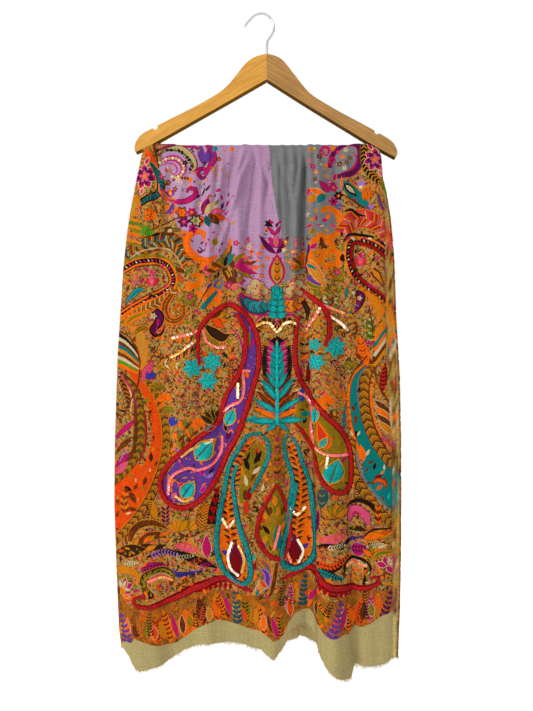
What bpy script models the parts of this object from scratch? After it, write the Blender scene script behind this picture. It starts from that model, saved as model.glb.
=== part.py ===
# A long printed shawl hung over the trouser bar of a wooden hanger.
# Sizes are in millimetres in the tables and are turned to metres when a mesh is made.
# The origin is the inner top of the hook, Z is up and the front faces minus Y.
import math

import bmesh
import bpy
import numpy as np
from mathutils import Matrix, Vector

MM = 0.001
SEED = 7

# Driving sizes
BAR_Z = -227.5
BAR_RADIUS = 4.5
BAR_LEFT_X = -206.0
BAR_RIGHT_X = 210.0
HANGER_THICK = 14.0
HANGER_EDGE = 1.3
SEAM_GAP = 0.3
HOOK_WIRE_RADIUS = 1.75
SHANK_RADIUS = 2.15
CLOTH_WALL = 1.2
CLOTH_GAP = 0.3
FALL_SPREAD = 25.5
FALL_LENGTH = 120.0
LEAVE_ANGLE = math.radians(78.0)
BACK_SEAM_PATH = -5.2
STRIP_HEIGHT = 4.0
FRONT_STRANDS = 66
BACK_STRANDS = 44

MID_RADIUS = BAR_RADIUS + CLOTH_GAP + CLOTH_WALL / 2.0
ARC_PATH = MID_RADIUS * LEAVE_ANGLE

# Side edges of the cloth. Columns are the path from the bar's top, positive down the front
# and negative down the back, then the left edge and the right edge.
EDGE_TABLE = [
    (-905.0, -214.0, 239.5),
    (-850.0, -221.0, 240.8),
    (-800.0, -225.0, 243.0),
    (-700.0, -228.0, 244.7),
    (-600.0, -230.0, 245.0),
    (-500.0, -230.0, 244.7),
    (-400.0, -228.0, 242.4),
    (-350.0, -226.0, 239.8),
    (-300.0, -224.0, 236.3),
    (-250.0, -221.0, 234.3),
    (-200.0, -218.0, 232.3),
    (-160.0, -215.0, 229.0),
    (-120.0, -211.0, 224.4),
    (-80.0, -206.0, 217.1),
    (-50.0, -202.5, 209.1),
    (-27.0, -199.5, 203.2),
    (-13.0, -197.0, 199.0),
    (-10.0, -192.0, 195.5),
    (-7.4, -186.5, 191.0),
    (-3.6, -176.5, 183.0),
    (0.0, -172.5, 178.0),
    (3.6, -176.5, 183.0),
    (7.4, -186.5, 191.0),
    (10.0, -192.5, 195.5),
    (13.0, -197.8, 199.5),
    (27.0, -200.3, 203.0),
    (57.0, -206.8, 204.8),
    (87.0, -211.7, 206.8),
    (127.0, -218.6, 207.3),
    (167.0, -223.0, 207.5),
    (207.0, -226.8, 207.3),
    (257.0, -229.8, 207.2),
    (307.0, -232.8, 207.2),
    (357.0, -236.0, 207.8),
    (407.0, -237.4, 210.6),
    (507.0, -240.7, 216.4),
    (607.0, -241.2, 217.6),
    (707.0, -237.8, 217.8),
    (807.0, -233.3, 218.3),
    (857.0, -226.5, 219.2),
    (905.0, -222.0, 219.2),
]

# Drop of the hem below the bar. Columns are X and the drop.
FRONT_HEM = [
    (-240.0, 812.0), (-231.0, 822.0), (-224.0, 833.0), (-214.0, 847.0), (-206.0, 867.0),
    (-199.0, 873.0), (-185.0, 870.0), (-165.0, 866.0), (-145.0, 856.0), (-125.0, 843.0),
    (-106.0, 836.0), (-86.0, 830.0), (-60.0, 830.0), (-27.0, 832.0), (-14.0, 838.0),
    (3.0, 839.0), (12.0, 847.0), (22.0, 855.0), (32.0, 844.0), (42.0, 834.0),
    (50.0, 816.0), (57.0, 806.0), (71.0, 801.0), (88.0, 806.0), (97.0, 846.0),
    (104.0, 861.0), (111.0, 870.0), (121.0, 878.0), (131.0, 883.0), (141.0, 887.0),
    (149.0, 888.0), (155.0, 869.0), (163.0, 867.0), (180.0, 866.0), (200.0, 864.0),
    (212.0, 858.0), (220.0, 848.0),
]
BACK_HEM = [
    (-232.0, 838.0), (-200.0, 849.0), (-150.0, 846.0), (-90.0, 836.0), (-30.0, 842.0),
    (30.0, 851.0), (70.0, 850.0), (110.0, 868.0), (150.0, 884.0), (190.0, 892.0),
    (225.0, 893.0), (245.0, 876.0),
]

# Small gathers along the bar. Columns are X, height, half width, reach down the front,
# reach down the back and sideways drift for each millimetre down.
GATHERS = [
    (-186.0, 1.6, 5.0, 90.0, 70.0, -0.05),
    (-172.0, 2.4, 4.0, 110.0, 60.0, 0.06),
    (-139.0, 1.2, 6.0, 45.0, 70.0, -0.06),
    (-112.0, 1.5, 5.0, 60.0, 45.0, 0.02),
    (-89.0, 2.2, 4.5, 115.0, 90.0, 0.00),
    (-66.0, 1.4, 5.0, 55.0, 60.0, -0.05),
    (-50.0, 1.8, 4.0, 70.0, 50.0, -0.08),
    (-27.0, 3.0, 5.0, 130.0, 90.0, -0.14),
    (-5.0, 2.4, 5.0, 95.0, 60.0, 0.12),
    (14.0, 1.8, 4.0, 60.0, 80.0, 0.04),
    (37.0, 2.6, 4.5, 120.0, 80.0, 0.03),
    (54.0, 2.2, 4.0, 95.0, 60.0, 0.02),
    (67.0, 2.4, 4.0, 85.0, 95.0, 0.00),
    (84.0, 3.2, 4.0, 70.0, 60.0, 0.00),
    (97.0, 2.6, 3.6, 75.0, 70.0, 0.02),
    (117.0, 2.2, 4.5, 70.0, 60.0, 0.05),
    (141.0, 1.8, 5.0, 60.0, 90.0, 0.05),
    (163.0, 1.6, 5.0, 55.0, 60.0, 0.08),
]

# Long folds. Columns are a name, the crest line as drop and X pairs, the height as drop and
# millimetre pairs, the half width to the left, the half width to the right and the lean.
FRONT_FOLDS = [
    ("left_bunch", [(0, -184), (90, -181), (200, -196), (300, -212)],
     [(0, 1.5), (20, 4.5), (90, 4.5), (200, 2.5), (300, 0.0)], 12.0, 6.0, 0.15),
    ("left_roll", [(0, -205), (250, -212), (880, -212)],
     [(0, 0.0), (180, 0.0), (400, 2.5), (860, 6.0)], 14.0, 24.0, 0.0),
    ("left_hem_lobe", [(0, -170), (500, -168), (880, -186)],
     [(0, 0.0), (480, 0.0), (760, 5.0), (880, 8.0)], 20.0, 26.0, 0.0),
    ("left_wave", [(0, -125), (300, -128), (880, -112)],
     [(0, 0.0), (120, 2.0), (420, 4.0), (880, -4.0)], 24.0, 30.0, 0.0),
    ("left_edge", [(0, -89), (110, -90), (260, -92)],
     [(0, 0.0), (25, 2.6), (90, 2.2), (200, 0.0)], 4.0, 14.0, 0.3),
    ("shade_valley", [(0, -36), (30, -42), (60, -52), (90, -57), (150, -58), (260, -56), (420, -60)],
     [(0, 0.0), (20, -2.5), (100, -4.0), (240, -2.5), (420, 0.0)], 10.0, 5.0, 0.0),
    ("shade_ridge", [(0, -26), (30, -31), (60, -41), (90, -46), (150, -48), (260, -46), (460, -52)],
     [(0, 1.0), (20, 3.6), (100, 4.6), (240, 3.0), (460, 0.0)], 5.0, 16.0, 0.4),
    ("pinch", [(0, -13), (22, -8), (50, 0), (92, 6), (160, 12)],
     [(0, 0.0), (15, -2.2), (60, -2.6), (130, 0.0)], 4.0, 4.0, 0.0),
    ("middle_wave", [(0, -8), (300, -14), (600, -22), (880, -30)],
     [(0, 0.0), (200, 1.5), (500, 4.0), (700, 5.0), (880, -5.0)], 26.0, 24.0, 0.0),
    ("grey_one", [(0, 37), (60, 38), (150, 42), (260, 44)],
     [(0, 0.0), (20, 2.5), (110, 3.0), (230, 0.0)], 5.0, 6.0, 0.2),
    ("grey_two", [(0, 54), (60, 55), (160, 57), (260, 58)],
     [(0, 0.0), (20, 2.5), (100, 2.5), (200, 0.0)], 5.0, 5.0, 0.2),
    ("axis_ridge", [(0, 28), (300, 30), (600, 28), (880, 20)],
     [(0, 0.0), (240, 0.0), (420, 3.5), (700, 5.0), (880, 9.0)], 14.0, 13.0, 0.0),
    ("deep_valley", [(0, 73), (260, 70), (423, 75), (554, 80), (770, 79), (880, 76)],
     [(0, 0.0), (20, -2.0), (90, -4.0), (400, -6.0), (700, -8.5), (880, -13.0)], 14.0, 6.0, 0.0),
    ("overlap", [(0, 83), (260, 83), (423, 91), (554, 97), (770, 100), (880, 104)],
     [(0, 1.0), (20, 4.0), (90, 6.5), (260, 7.5), (560, 9.0), (880, 13.0)], 4.0, 30.0, 0.55),
    ("nub", [(0, 97), (50, 98), (120, 102)],
     [(0, 0.0), (14, 2.2), (60, 1.6), (120, 0.0)], 4.0, 5.0, 0.0),
    ("lobe", [(0, 120), (560, 124), (760, 126), (880, 134)],
     [(0, 0.0), (560, 0.0), (740, 5.0), (880, 10.0)], 18.0, 16.0, 0.0),
    ("break_valley", [(0, 122), (60, 130), (260, 136), (560, 144), (880, 158)],
     [(0, 0.0), (40, -1.6), (120, -3.2), (560, -3.8), (780, -6.0), (880, -9.0)], 8.0, 6.0, 0.0),
    ("break_ridge", [(0, 132), (60, 140), (260, 147), (560, 156), (880, 172)],
     [(0, 0.0), (40, 2.2), (120, 3.6), (560, 4.2), (880, 4.0)], 5.0, 18.0, 0.35),
    ("right_roll", [(0, 190), (260, 194), (560, 202), (880, 204)],
     [(0, 0.0), (60, 2.0), (260, 3.0), (880, 4.5)], 16.0, 12.0, 0.0),
]
BACK_FOLDS = [
    ("b_left_roll", [(0, -196), (300, -208), (880, -206)],
     [(0, 0.0), (60, 2.0), (400, 4.0), (880, 7.0)], 14.0, 20.0, 0.0),
    ("b_left_wave", [(0, -150), (300, -156), (880, -148)],
     [(0, 0.0), (60, -1.5), (400, -4.0), (880, -7.0)], 16.0, 18.0, 0.0),
    ("b_ridge_one", [(0, -112), (200, -114), (500, -106), (880, -98)],
     [(0, 0.0), (30, 3.0), (300, 5.0), (880, 9.0)], 8.0, 22.0, 0.3),
    ("b_valley_one", [(0, -60), (300, -52), (880, -46)],
     [(0, 0.0), (60, -1.5), (400, -3.5), (880, -8.0)], 18.0, 16.0, 0.0),
    ("b_middle", [(0, -8), (200, -4), (500, 6), (880, 2)],
     [(0, 0.0), (30, 2.5), (300, 4.0), (880, 8.0)], 20.0, 14.0, 0.0),
    ("b_valley_two", [(0, 40), (300, 46), (880, 50)],
     [(0, 0.0), (60, -2.0), (400, -5.0), (880, -9.0)], 14.0, 8.0, 0.0),
    ("b_ridge_two", [(0, 58), (300, 66), (880, 72)],
     [(0, 0.0), (30, 3.0), (300, 6.0), (880, 10.0)], 6.0, 26.0, 0.45),
    ("b_valley_three", [(0, 118), (300, 128), (880, 134)],
     [(0, 0.0), (60, -1.0), (400, -3.0), (880, -7.0)], 18.0, 14.0, 0.0),
    ("b_ridge_three", [(0, 152), (300, 166), (880, 170)],
     [(0, 0.0), (40, 2.5), (300, 4.0), (880, 7.0)], 14.0, 20.0, 0.0),
    ("b_right_roll", [(0, 190), (300, 220), (880, 226)],
     [(0, 0.0), (100, 1.5), (880, 3.5)], 14.0, 12.0, 0.0),
]

# Turned back edges. Columns are the path, the roll radius, the left turn back and the right one.
ROLL_TABLE = [
    (-905.0, 4.0, 62.0, 74.0),
    (-400.0, 4.0, 52.0, 66.0),
    (-120.0, 3.6, 38.0, 44.0),
    (-60.0, 2.6, 28.0, 30.0),
    (-18.0, 1.1, 20.0, 20.0),
    (0.0, 1.05, 16.0, 16.0),
    (18.0, 1.1, 20.0, 20.0),
    (60.0, 2.6, 30.0, 30.0),
    (120.0, 3.6, 40.0, 46.0),
    (400.0, 4.0, 56.0, 72.0),
    (905.0, 4.0, 66.0, 84.0),
]

# Hook wire, centre line. Columns are X, Z and the share of the wire radius.
HOOK_LINE = [
    (-27.1, -20.0, 1.0), (-20.0, -11.2, 1.0), (-12.6, -3.5, 1.0), (-6.8, 0.2, 1.0),
    (0.0, 1.75, 1.0), (6.0, 1.2, 1.0), (11.4, -1.2, 1.0), (16.0, -5.2, 1.0),
    (19.9, -10.4, 1.0), (22.2, -16.4, 1.0), (22.9, -22.4, 1.0), (21.9, -28.6, 1.0),
    (19.2, -34.2, 1.0), (15.6, -39.4, 1.0), (12.4, -44.2, 1.0), (11.0, -49.0, 1.06),
    (10.6, -54.0, 1.22), (10.5, -60.0, 1.22), (10.5, -84.0, 1.22),
]

# Arms, from the middle to the tip. Columns are X and Z of the upper edge, then of the lower one.
LEFT_TOP = [
    (10.15, -69.4), (-5.1, -73.6), (-15.0, -78.2), (-24.0, -85.0), (-34.6, -97.3),
    (-49.7, -116.7), (-59.8, -127.1), (-73.3, -137.4), (-108.7, -157.9), (-149.0, -178.1),
    (-192.0, -200.3), (-201.2, -206.7), (-208.0, -214.8), (-211.7, -223.5), (-212.3, -231.3),
]
LEFT_UNDER = [(10.15, -112.6), (-48.1, -146.2), (-168.4, -214.3), (-188.1, -225.4), (-210.4, -235.4)]
RIGHT_TOP = [
    (10.45, -69.4), (24.6, -73.0), (35.2, -78.8), (42.8, -86.6), (59.6, -107.9),
    (74.8, -127.3), (84.9, -137.4), (100.0, -147.8), (133.7, -167.6), (172.4, -188.2),
    (205.0, -206.4), (220.0, -216.0), (226.2, -223.5), (230.1, -232.8), (230.3, -239.5),
]
RIGHT_UNDER = [(10.45, -112.6), (78.2, -155.8), (143.8, -195.8), (187.0, -222.2), (227.4, -244.6)]
NOTCHES = [("notch_left", -177.8, -193.2, 4.6), ("notch_right", 196.4, -200.6, 4.6)]


def clear_scene():
    for item in list(bpy.data.objects):
        bpy.data.objects.remove(item, do_unlink=True)
    for item in list(bpy.data.collections):
        bpy.data.collections.remove(item)


def new_collection(name):
    item = bpy.data.collections.new(name)
    bpy.context.scene.collection.children.link(item)
    return item


def new_material(name, colour, roughness, metallic):
    item = bpy.data.materials.new(name)
    item.use_nodes = True
    shader = item.node_tree.nodes["Principled BSDF"]
    shader.inputs["Base Color"].default_value = (colour[0], colour[1], colour[2], 1.0)
    shader.inputs["Roughness"].default_value = roughness
    shader.inputs["Metallic"].default_value = metallic
    return item


def table_value(table, column, at):
    xs = [row[0] for row in table]
    ys = [row[column] for row in table]
    return np.interp(at, xs, ys)


def smooth(value):
    part = np.clip(value, 0.0, 1.0)
    return part * part * (3.0 - 2.0 * part)


def drop_of(path):
    """The drop below the point where the cloth leaves the bar, never under zero."""
    return np.maximum(np.abs(path) - ARC_PATH, 0.0)


def base_path(path):
    """Y, Z and outward normal of the plain fall, before folds."""
    side = np.where(path >= 0.0, -1.0, 1.0)
    along = np.minimum(np.abs(path), ARC_PATH)
    angle = along / MID_RADIUS
    drop = drop_of(path)
    spread = FALL_SPREAD * (1.0 - np.exp(-drop / FALL_LENGTH))
    y = side * (MID_RADIUS * np.sin(angle) + spread)
    z = BAR_Z + MID_RADIUS * np.cos(angle) - drop
    slope = FALL_SPREAD / FALL_LENGTH * np.exp(-drop / FALL_LENGTH)
    lean = np.where(drop > 0.0, np.pi / 2.0 - np.arctan(slope), angle)
    return y, z, side * np.sin(lean), np.cos(lean)


def fold_height(x, path):
    """Height of all folds above the plain fall, and the sideways lean that goes with them."""
    drop = drop_of(path)
    height = np.zeros_like(x)
    shift = np.zeros_like(x)
    front = path >= 0.0
    for at, high, half, reach_front, reach_back, drift in GATHERS:
        reach = np.where(front, reach_front, reach_back)
        fade = np.exp(-(drop / reach) ** 2)
        away = (x - at - drift * drop) / half
        height = height + high * fade * np.exp(-away * away)
    for folds, sided in ((FRONT_FOLDS, front), (BACK_FOLDS, ~front)):
        for name, line, tall, left, right, lean in folds:
            crest = np.interp(drop, [row[0] for row in line], [row[1] for row in line])
            high = np.interp(drop, [row[0] for row in tall], [row[1] for row in tall])
            away = x - crest
            half = np.where(away < 0.0, left, right)
            bump = high * np.exp(-(away / half) ** 2)
            bump = np.where(sided, bump, 0.0)
            height = height + bump
            shift = shift - lean * bump
    return height, shift


def edge_lift(x, path, left, right):
    """The face is lifted where a turned back edge lies under it on the bar."""
    drop = drop_of(path)
    near = 1.0 - smooth((drop - 15.0) / 45.0)
    away = np.minimum(x - left, right - x)
    return 2.4 * near * (1.0 - smooth((away - 24.0) / 12.0))


def face_height(x, path, left, right):
    height, shift = fold_height(x, path)
    drop = drop_of(path)
    floor = 0.15 - 40.0 * smooth((drop - 4.0) / 60.0)
    height = height + edge_lift(x, path, left, right)
    tame = smooth(np.minimum(x - left, right - x) / 10.0)
    return np.maximum(height, floor), shift * tame


def cloth_point(q, path):
    """Middle of the wall. q runs 0 to 1 over the face, -1 to 0 and 1 to 2 over turned back edges."""
    q = np.asarray(q, dtype=float)
    path = np.asarray(path, dtype=float)
    half_wall = CLOTH_WALL / 2.0
    edge_left = table_value(EDGE_TABLE, 1, path) + half_wall
    edge_right = table_value(EDGE_TABLE, 2, path) - half_wall
    roll = table_value(ROLL_TABLE, 1, path)
    left = edge_left + roll
    right = edge_right - roll
    turn_left = table_value(ROLL_TABLE, 2, path)
    turn_right = table_value(ROLL_TABLE, 3, path)
    arc_share = 0.5
    face = np.clip(q, 0.0, 1.0)
    x_face = left + (right - left) * face
    over_left = np.clip(-q, 0.0, 1.0)
    over_right = np.clip(q - 1.0, 0.0, 1.0)
    over = np.maximum(over_left, over_right)
    turned = over > 0.0
    angle = np.pi * np.clip(over / arc_share, 0.0, 1.0)
    run = np.clip((over - arc_share) / (1.0 - arc_share), 0.0, 1.0)
    length = np.where(over_left > 0.0, turn_left, turn_right)
    inward = np.where(over_left > 0.0, 1.0, -1.0)
    x_start = np.where(over_left > 0.0, left, right)
    x_turn = x_start + inward * (run * length - roll * np.sin(angle))
    x_base = np.where(turned, x_turn, x_face)
    x_look = np.where(turned, x_start + inward * run * length, x_face)
    height, shift = face_height(x_look, path, left, right)
    height = np.where(turned, height - roll * (1.0 - np.cos(angle)), height)
    y, z, ny, nz = base_path(path)
    return x_base + shift, y + ny * height, z + nz * height


def hem_drop(q, front):
    """Drop of the hem at q."""
    table = FRONT_HEM if front else BACK_HEM
    guess = 860.0 if front else -860.0
    x, y, z = cloth_point(np.asarray(q, dtype=float), np.full(len(q), guess))
    return np.interp(x, [row[0] for row in table], [row[1] for row in table])


def grid_mesh(points):
    """An open grid of quads laid over rows and columns of points."""
    rows = points.shape[0]
    cols = points.shape[1]
    mesh = bmesh.new()
    bmesh.ops.create_grid(mesh, x_segments=cols - 1, y_segments=rows - 1, size=1.0)
    mesh.verts.ensure_lookup_table()
    spots = points.reshape(-1, 3) * MM
    for index, vert in enumerate(mesh.verts):
        vert.co = spots[index]
    return mesh


def finish_mesh(name, mesh):
    data = bpy.data.meshes.new(name)
    mesh.to_mesh(data)
    mesh.free()
    return bpy.data.objects.new(name, data)


def face_columns(front):
    """q of the face's columns, closer together where a fold is steep."""
    if front:
        spans = [(0.00, 0.10, 7), (0.10, 0.36, 10), (0.36, 0.66, 17), (0.66, 0.76, 10),
                 (0.76, 0.90, 9), (0.90, 1.00, 5)]
    else:
        spans = [(0.00, 0.20, 5), (0.20, 0.36, 5), (0.36, 0.56, 5), (0.56, 0.68, 6),
                 (0.68, 0.88, 5), (0.88, 1.00, 4)]
    made = []
    for start, stop, count in spans:
        for k in range(count):
            made.append(start + (stop - start) * k / count)
    made.append(1.0)
    return made


def all_columns(front):
    roll = [0.125, 0.25, 0.375, 0.5]
    run = [0.67, 0.84, 1.0]
    left = [-value for value in reversed(roll + run)]
    right = [1.0 + value for value in roll + run]
    return left + face_columns(front) + right


def fall_rows(front):
    """Rows as path on the bar and as shares of the drop below it."""
    if front:
        arc = [BACK_SEAM_PATH, -2.8, 0.0, 2.8, 5.4, ARC_PATH]
        drops = [2.6, 5.6, 12, 21, 34, 52, 75, 102, 132, 166, 206, 252, 305, 365, 430, 498, 566,
                 632, 692, 744, 786, 818]
    else:
        arc = [BACK_SEAM_PATH - 3.0 * CLOTH_GAP, -ARC_PATH]
        drops = [2.6, 5.6, 16, 34, 62, 100, 150, 215, 295, 390, 495, 600, 695, 770, 818]
    return arc, drops


def cloth_end(q, front):
    """Drop where the wall stops and the frayed strip begins, with a wider gap where the hem is steep."""
    hem = hem_drop(q, front)
    guess = 860.0 if front else -860.0
    x, y, z = cloth_point(q, np.full(len(q), guess))
    slope = np.gradient(hem) / np.where(np.abs(np.gradient(x)) < 0.5, 0.5, np.gradient(x))
    gap = np.minimum(1.5 * CLOTH_GAP * np.sqrt(1.0 + slope * slope), 3.0)
    return hem, hem - STRIP_HEIGHT - gap


def fall_points(front, q_list):
    """Grid of middle points for one fall."""
    q = np.array(q_list)
    hem, end = cloth_end(q, front)
    arc, drops = fall_rows(front)
    sign = 1.0 if front else -1.0
    rows = []
    for value in arc:
        rows.append(np.full(len(q), value))
    for value in drops:
        share = value / 850.0
        rows.append(sign * (ARC_PATH + share * end))
    rows.append(sign * (ARC_PATH + end))
    made = []
    for path in rows:
        x, y, z = cloth_point(q, path)
        made.append(np.stack([x, y, z], axis=1))
    return np.array(made)


def add_triangles(item):
    """Splits the bent quads so that every face is flat."""
    item.modifiers.new("flat_faces", "TRIANGULATE")


def build_fall(name, front):
    item = finish_mesh(name, grid_mesh(fall_points(front, all_columns(front))))
    wall = item.modifiers.new("wall", "SOLIDIFY")
    wall.thickness = CLOTH_WALL * MM
    wall.offset = 0.0
    add_triangles(item)
    return item


def strip_columns(front, count, rng):
    """q of the strip's columns, and which of them carry a strand."""
    face = np.array(face_columns(front))
    columns = set(face.tolist())
    starts = []
    for k in range(count):
        centre = (k + 0.5 + rng.uniform(-0.22, 0.22)) / count
        near = face[np.argmin(np.abs(face - centre))]
        if abs(near - centre) < 0.0028:
            centre = near + (0.003 if near < 0.5 else -0.003)
        starts.append(centre - 0.0012)
        columns.add(centre - 0.0012)
        columns.add(centre + 0.0012)
    q = np.array(sorted(columns))
    roots = [int(np.argmin(np.abs(q - value))) for value in starts]
    return face, q, roots


def grow_strand(mesh, root, rng):
    """Draws one tapering strand of four sides out of a small face."""
    long = rng.uniform(6.0, 15.0) * MM
    lean = rng.uniform(-0.28, 0.28)
    out = rng.uniform(-0.15, 0.15)
    face = root
    for share, size in ((0.5, 0.7), (0.5, 0.45)):
        grown = bmesh.ops.extrude_discrete_faces(mesh, faces=[face])["faces"][0]
        centre = grown.calc_center_median()
        for vert in grown.verts:
            away = vert.co - centre
            vert.co.x = centre.x + away.x * size + lean * long * share
            vert.co.y = centre.y + away.y * size + out * long * share
            vert.co.z = centre.z + away.z * 0.2 - long * share
        face = grown


def build_fringe(name, front, count, rng):
    """A narrow strip along the hem with thin strands that grow from its lower edge."""
    sign = 1.0 if front else -1.0
    face, q, roots = strip_columns(front, count, rng)
    hem = hem_drop(face, front)
    rows = []
    for up in (STRIP_HEIGHT, 0.0):
        x, y, z = cloth_point(face, sign * (ARC_PATH + hem - up))
        rows.append(np.stack([np.interp(q, face, part) for part in (x, y, z)], axis=1))
    points = np.array(rows)
    mesh = grid_mesh(points)
    bmesh.ops.recalc_face_normals(mesh, faces=mesh.faces[:])
    mesh.normal_update()
    spread = [vert.normal.copy() for vert in mesh.verts]
    half = CLOTH_WALL * MM / 2.0
    for vert, normal in zip(mesh.verts, spread):
        vert.co += normal * half
    bmesh.ops.solidify(mesh, geom=mesh.faces[:], thickness=CLOTH_WALL * MM)
    bmesh.ops.recalc_face_normals(mesh, faces=mesh.faces[:])
    mesh.faces.ensure_lookup_table()
    wanted = []
    for column in roots:
        middle = (points[1][column] + points[1][column + 1]) / 2.0 * MM
        best = None
        for item in mesh.faces:
            away = (item.calc_center_median() - Vector(middle)).length
            if best is None or away < best[0]:
                best = (away, item)
        wanted.append(best[1])
    for item in wanted:
        grow_strand(mesh, item, rng)
    bmesh.ops.triangulate(mesh, faces=mesh.faces[:])
    return finish_mesh(name, mesh)


def curve_to_object(name, curve):
    """The evaluated mesh of a curve as an object of its own, with its caps welded."""
    holder = bpy.data.objects.new(name + "_curve", curve)
    bpy.context.scene.collection.objects.link(holder)
    bpy.context.view_layer.update()
    ready = holder.evaluated_get(bpy.context.evaluated_depsgraph_get())
    data = bpy.data.meshes.new_from_object(ready)
    data.name = name
    mesh = bmesh.new()
    mesh.from_mesh(data)
    bmesh.ops.remove_doubles(mesh, verts=mesh.verts[:], dist=0.00002)
    bmesh.ops.recalc_face_normals(mesh, faces=mesh.faces[:])
    mesh.to_mesh(data)
    mesh.free()
    item = bpy.data.objects.new(name, data)
    item.matrix_world = holder.matrix_world.copy()
    bpy.data.objects.remove(holder, do_unlink=True)
    return item


def build_arm(name, top, under):
    """A hanger arm cut from board, with its long edges eased."""
    outline = list(top) + list(reversed(under))
    curve = bpy.data.curves.new(name + "_outline", "CURVE")
    curve.dimensions = "2D"
    curve.fill_mode = "BOTH"
    curve.extrude = HANGER_THICK * MM / 2.0
    line = curve.splines.new("POLY")
    line.points.add(len(outline) - 1)
    for point, spot in zip(line.points, outline):
        point.co = (spot[0] * MM, spot[1] * MM, 0.0, 1.0)
    line.use_cyclic_u = True
    item = curve_to_object(name, curve)
    item.data.transform(Matrix.Rotation(math.pi / 2.0, 4, "X"))
    ease = item.modifiers.new("eased_edges", "BEVEL")
    ease.width = HANGER_EDGE * MM
    ease.segments = 1
    ease.limit_method = "ANGLE"
    ease.angle_limit = math.radians(50.0)
    return item


def build_hook(name):
    """The bent wire with a thicker shank."""
    curve = bpy.data.curves.new(name + "_line", "CURVE")
    curve.dimensions = "3D"
    curve.bevel_depth = HOOK_WIRE_RADIUS * MM
    curve.bevel_resolution = 2
    curve.use_fill_caps = True
    line = curve.splines.new("POLY")
    line.points.add(len(HOOK_LINE) - 1)
    for point, row in zip(line.points, HOOK_LINE):
        point.co = (row[0] * MM, 0.0, row[1] * MM, 1.0)
        point.radius = row[2]
    return curve_to_object(name, curve)


def rod(name, x_start, x_stop, z, radius, sides):
    """A plain round rod along X."""
    bpy.ops.mesh.primitive_cylinder_add(
        vertices=sides, radius=radius * MM, depth=(x_stop - x_start) * MM,
        location=((x_start + x_stop) / 2.0 * MM, 0.0, z * MM), rotation=(0.0, math.pi / 2.0, 0.0))
    item = bpy.context.object
    item.name = name
    item.data.name = name
    return item


def drill(name, x, y, z, radius, depth, turn):
    """A round cutter centred on a point, upright or turned to lie along Y."""
    bpy.ops.mesh.primitive_cylinder_add(
        vertices=16, radius=radius * MM, depth=depth * MM,
        location=(x * MM, y * MM, z * MM), rotation=(turn, 0.0, 0.0))
    item = bpy.context.object
    item.name = name
    return item


def move_to(item, home):
    for owner in list(item.users_collection):
        owner.objects.unlink(item)
    home.objects.link(item)


def cut(target, cutter):
    change = target.modifiers.new("cut_" + cutter.name, "BOOLEAN")
    change.operation = "DIFFERENCE"
    change.solver = "EXACT"
    change.object = cutter


def place(item, home, material):
    move_to(item, home)
    item.data.materials.append(material)


def main():
    clear_scene()
    rng = np.random.default_rng(SEED)
    home = new_collection("hung_shawl")
    tools = new_collection("hung_shawl_cutters")
    cloth = new_material("printed_cloth", (0.52, 0.36, 0.16), 0.85, 0.0)
    cloth_rear = new_material("printed_cloth_rear", (0.50, 0.35, 0.17), 0.85, 0.0)
    thread_front = new_material("frayed_yarn_front", (0.60, 0.50, 0.30), 0.9, 0.0)
    thread_rear = new_material("frayed_yarn_rear", (0.58, 0.48, 0.29), 0.9, 0.0)
    honey = new_material("honey_wood", (0.60, 0.33, 0.10), 0.45, 0.0)
    tan = new_material("tan_wood", (0.46, 0.27, 0.10), 0.45, 0.0)
    rod_wood = new_material("bar_wood", (0.58, 0.36, 0.14), 0.5, 0.0)
    wire = new_material("plated_wire", (0.70, 0.70, 0.72), 0.25, 1.0)

    place(build_fall("shawl_front", True), home, cloth)
    place(build_fall("shawl_back", False), home, cloth_rear)
    place(build_fringe("fringe_front", True, FRONT_STRANDS, rng), home, thread_front)
    place(build_fringe("fringe_back", False, BACK_STRANDS, rng), home, thread_rear)
    left = build_arm("hanger_arm_left", LEFT_TOP, LEFT_UNDER)
    place(left, home, honey)
    right = build_arm("hanger_arm_right", RIGHT_TOP, RIGHT_UNDER)
    place(right, home, tan)
    place(rod("hanger_bar", BAR_LEFT_X, BAR_RIGHT_X, BAR_Z, BAR_RADIUS, 20), home, rod_wood)
    place(build_hook("hook"), home, wire)

    hole = BAR_RADIUS + SEAM_GAP
    bore_left = rod("bore_left", BAR_LEFT_X - SEAM_GAP, -150.0, BAR_Z, hole, 20)
    bore_right = rod("bore_right", 150.0, BAR_RIGHT_X + SEAM_GAP, BAR_Z, hole, 20)
    shank = drill("bore_shank", 10.5, 0.0, -67.4, SHANK_RADIUS + SEAM_GAP, 34.0, 0.0)
    cutters = [(left, bore_left), (left, shank), (right, bore_right), (right, shank)]
    for arm, row in zip((left, right), NOTCHES):
        name, x, z, radius = row
        cutters.append((arm, drill(name, x, 0.0, z, radius, 40.0, math.pi / 2.0)))
    for arm, tool in cutters:
        move_to(tool, tools)
        tool.hide_render = True
        tool.display_type = "WIRE"
        cut(arm, tool)


main()
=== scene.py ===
# A long printed and embroidered shawl hung over the bar of a wooden hanger: looks and studio.
# Lengths in the tables are millimetres. Drawings of the print are in units of 1.695 mm, X to the right
# and Y down, and every motif in them was placed one by one.
import math

import bmesh
import bpy
import numpy as np
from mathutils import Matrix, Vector
from mathutils.geometry import delaunay_2d_cdt
from mathutils.kdtree import KDTree


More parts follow.
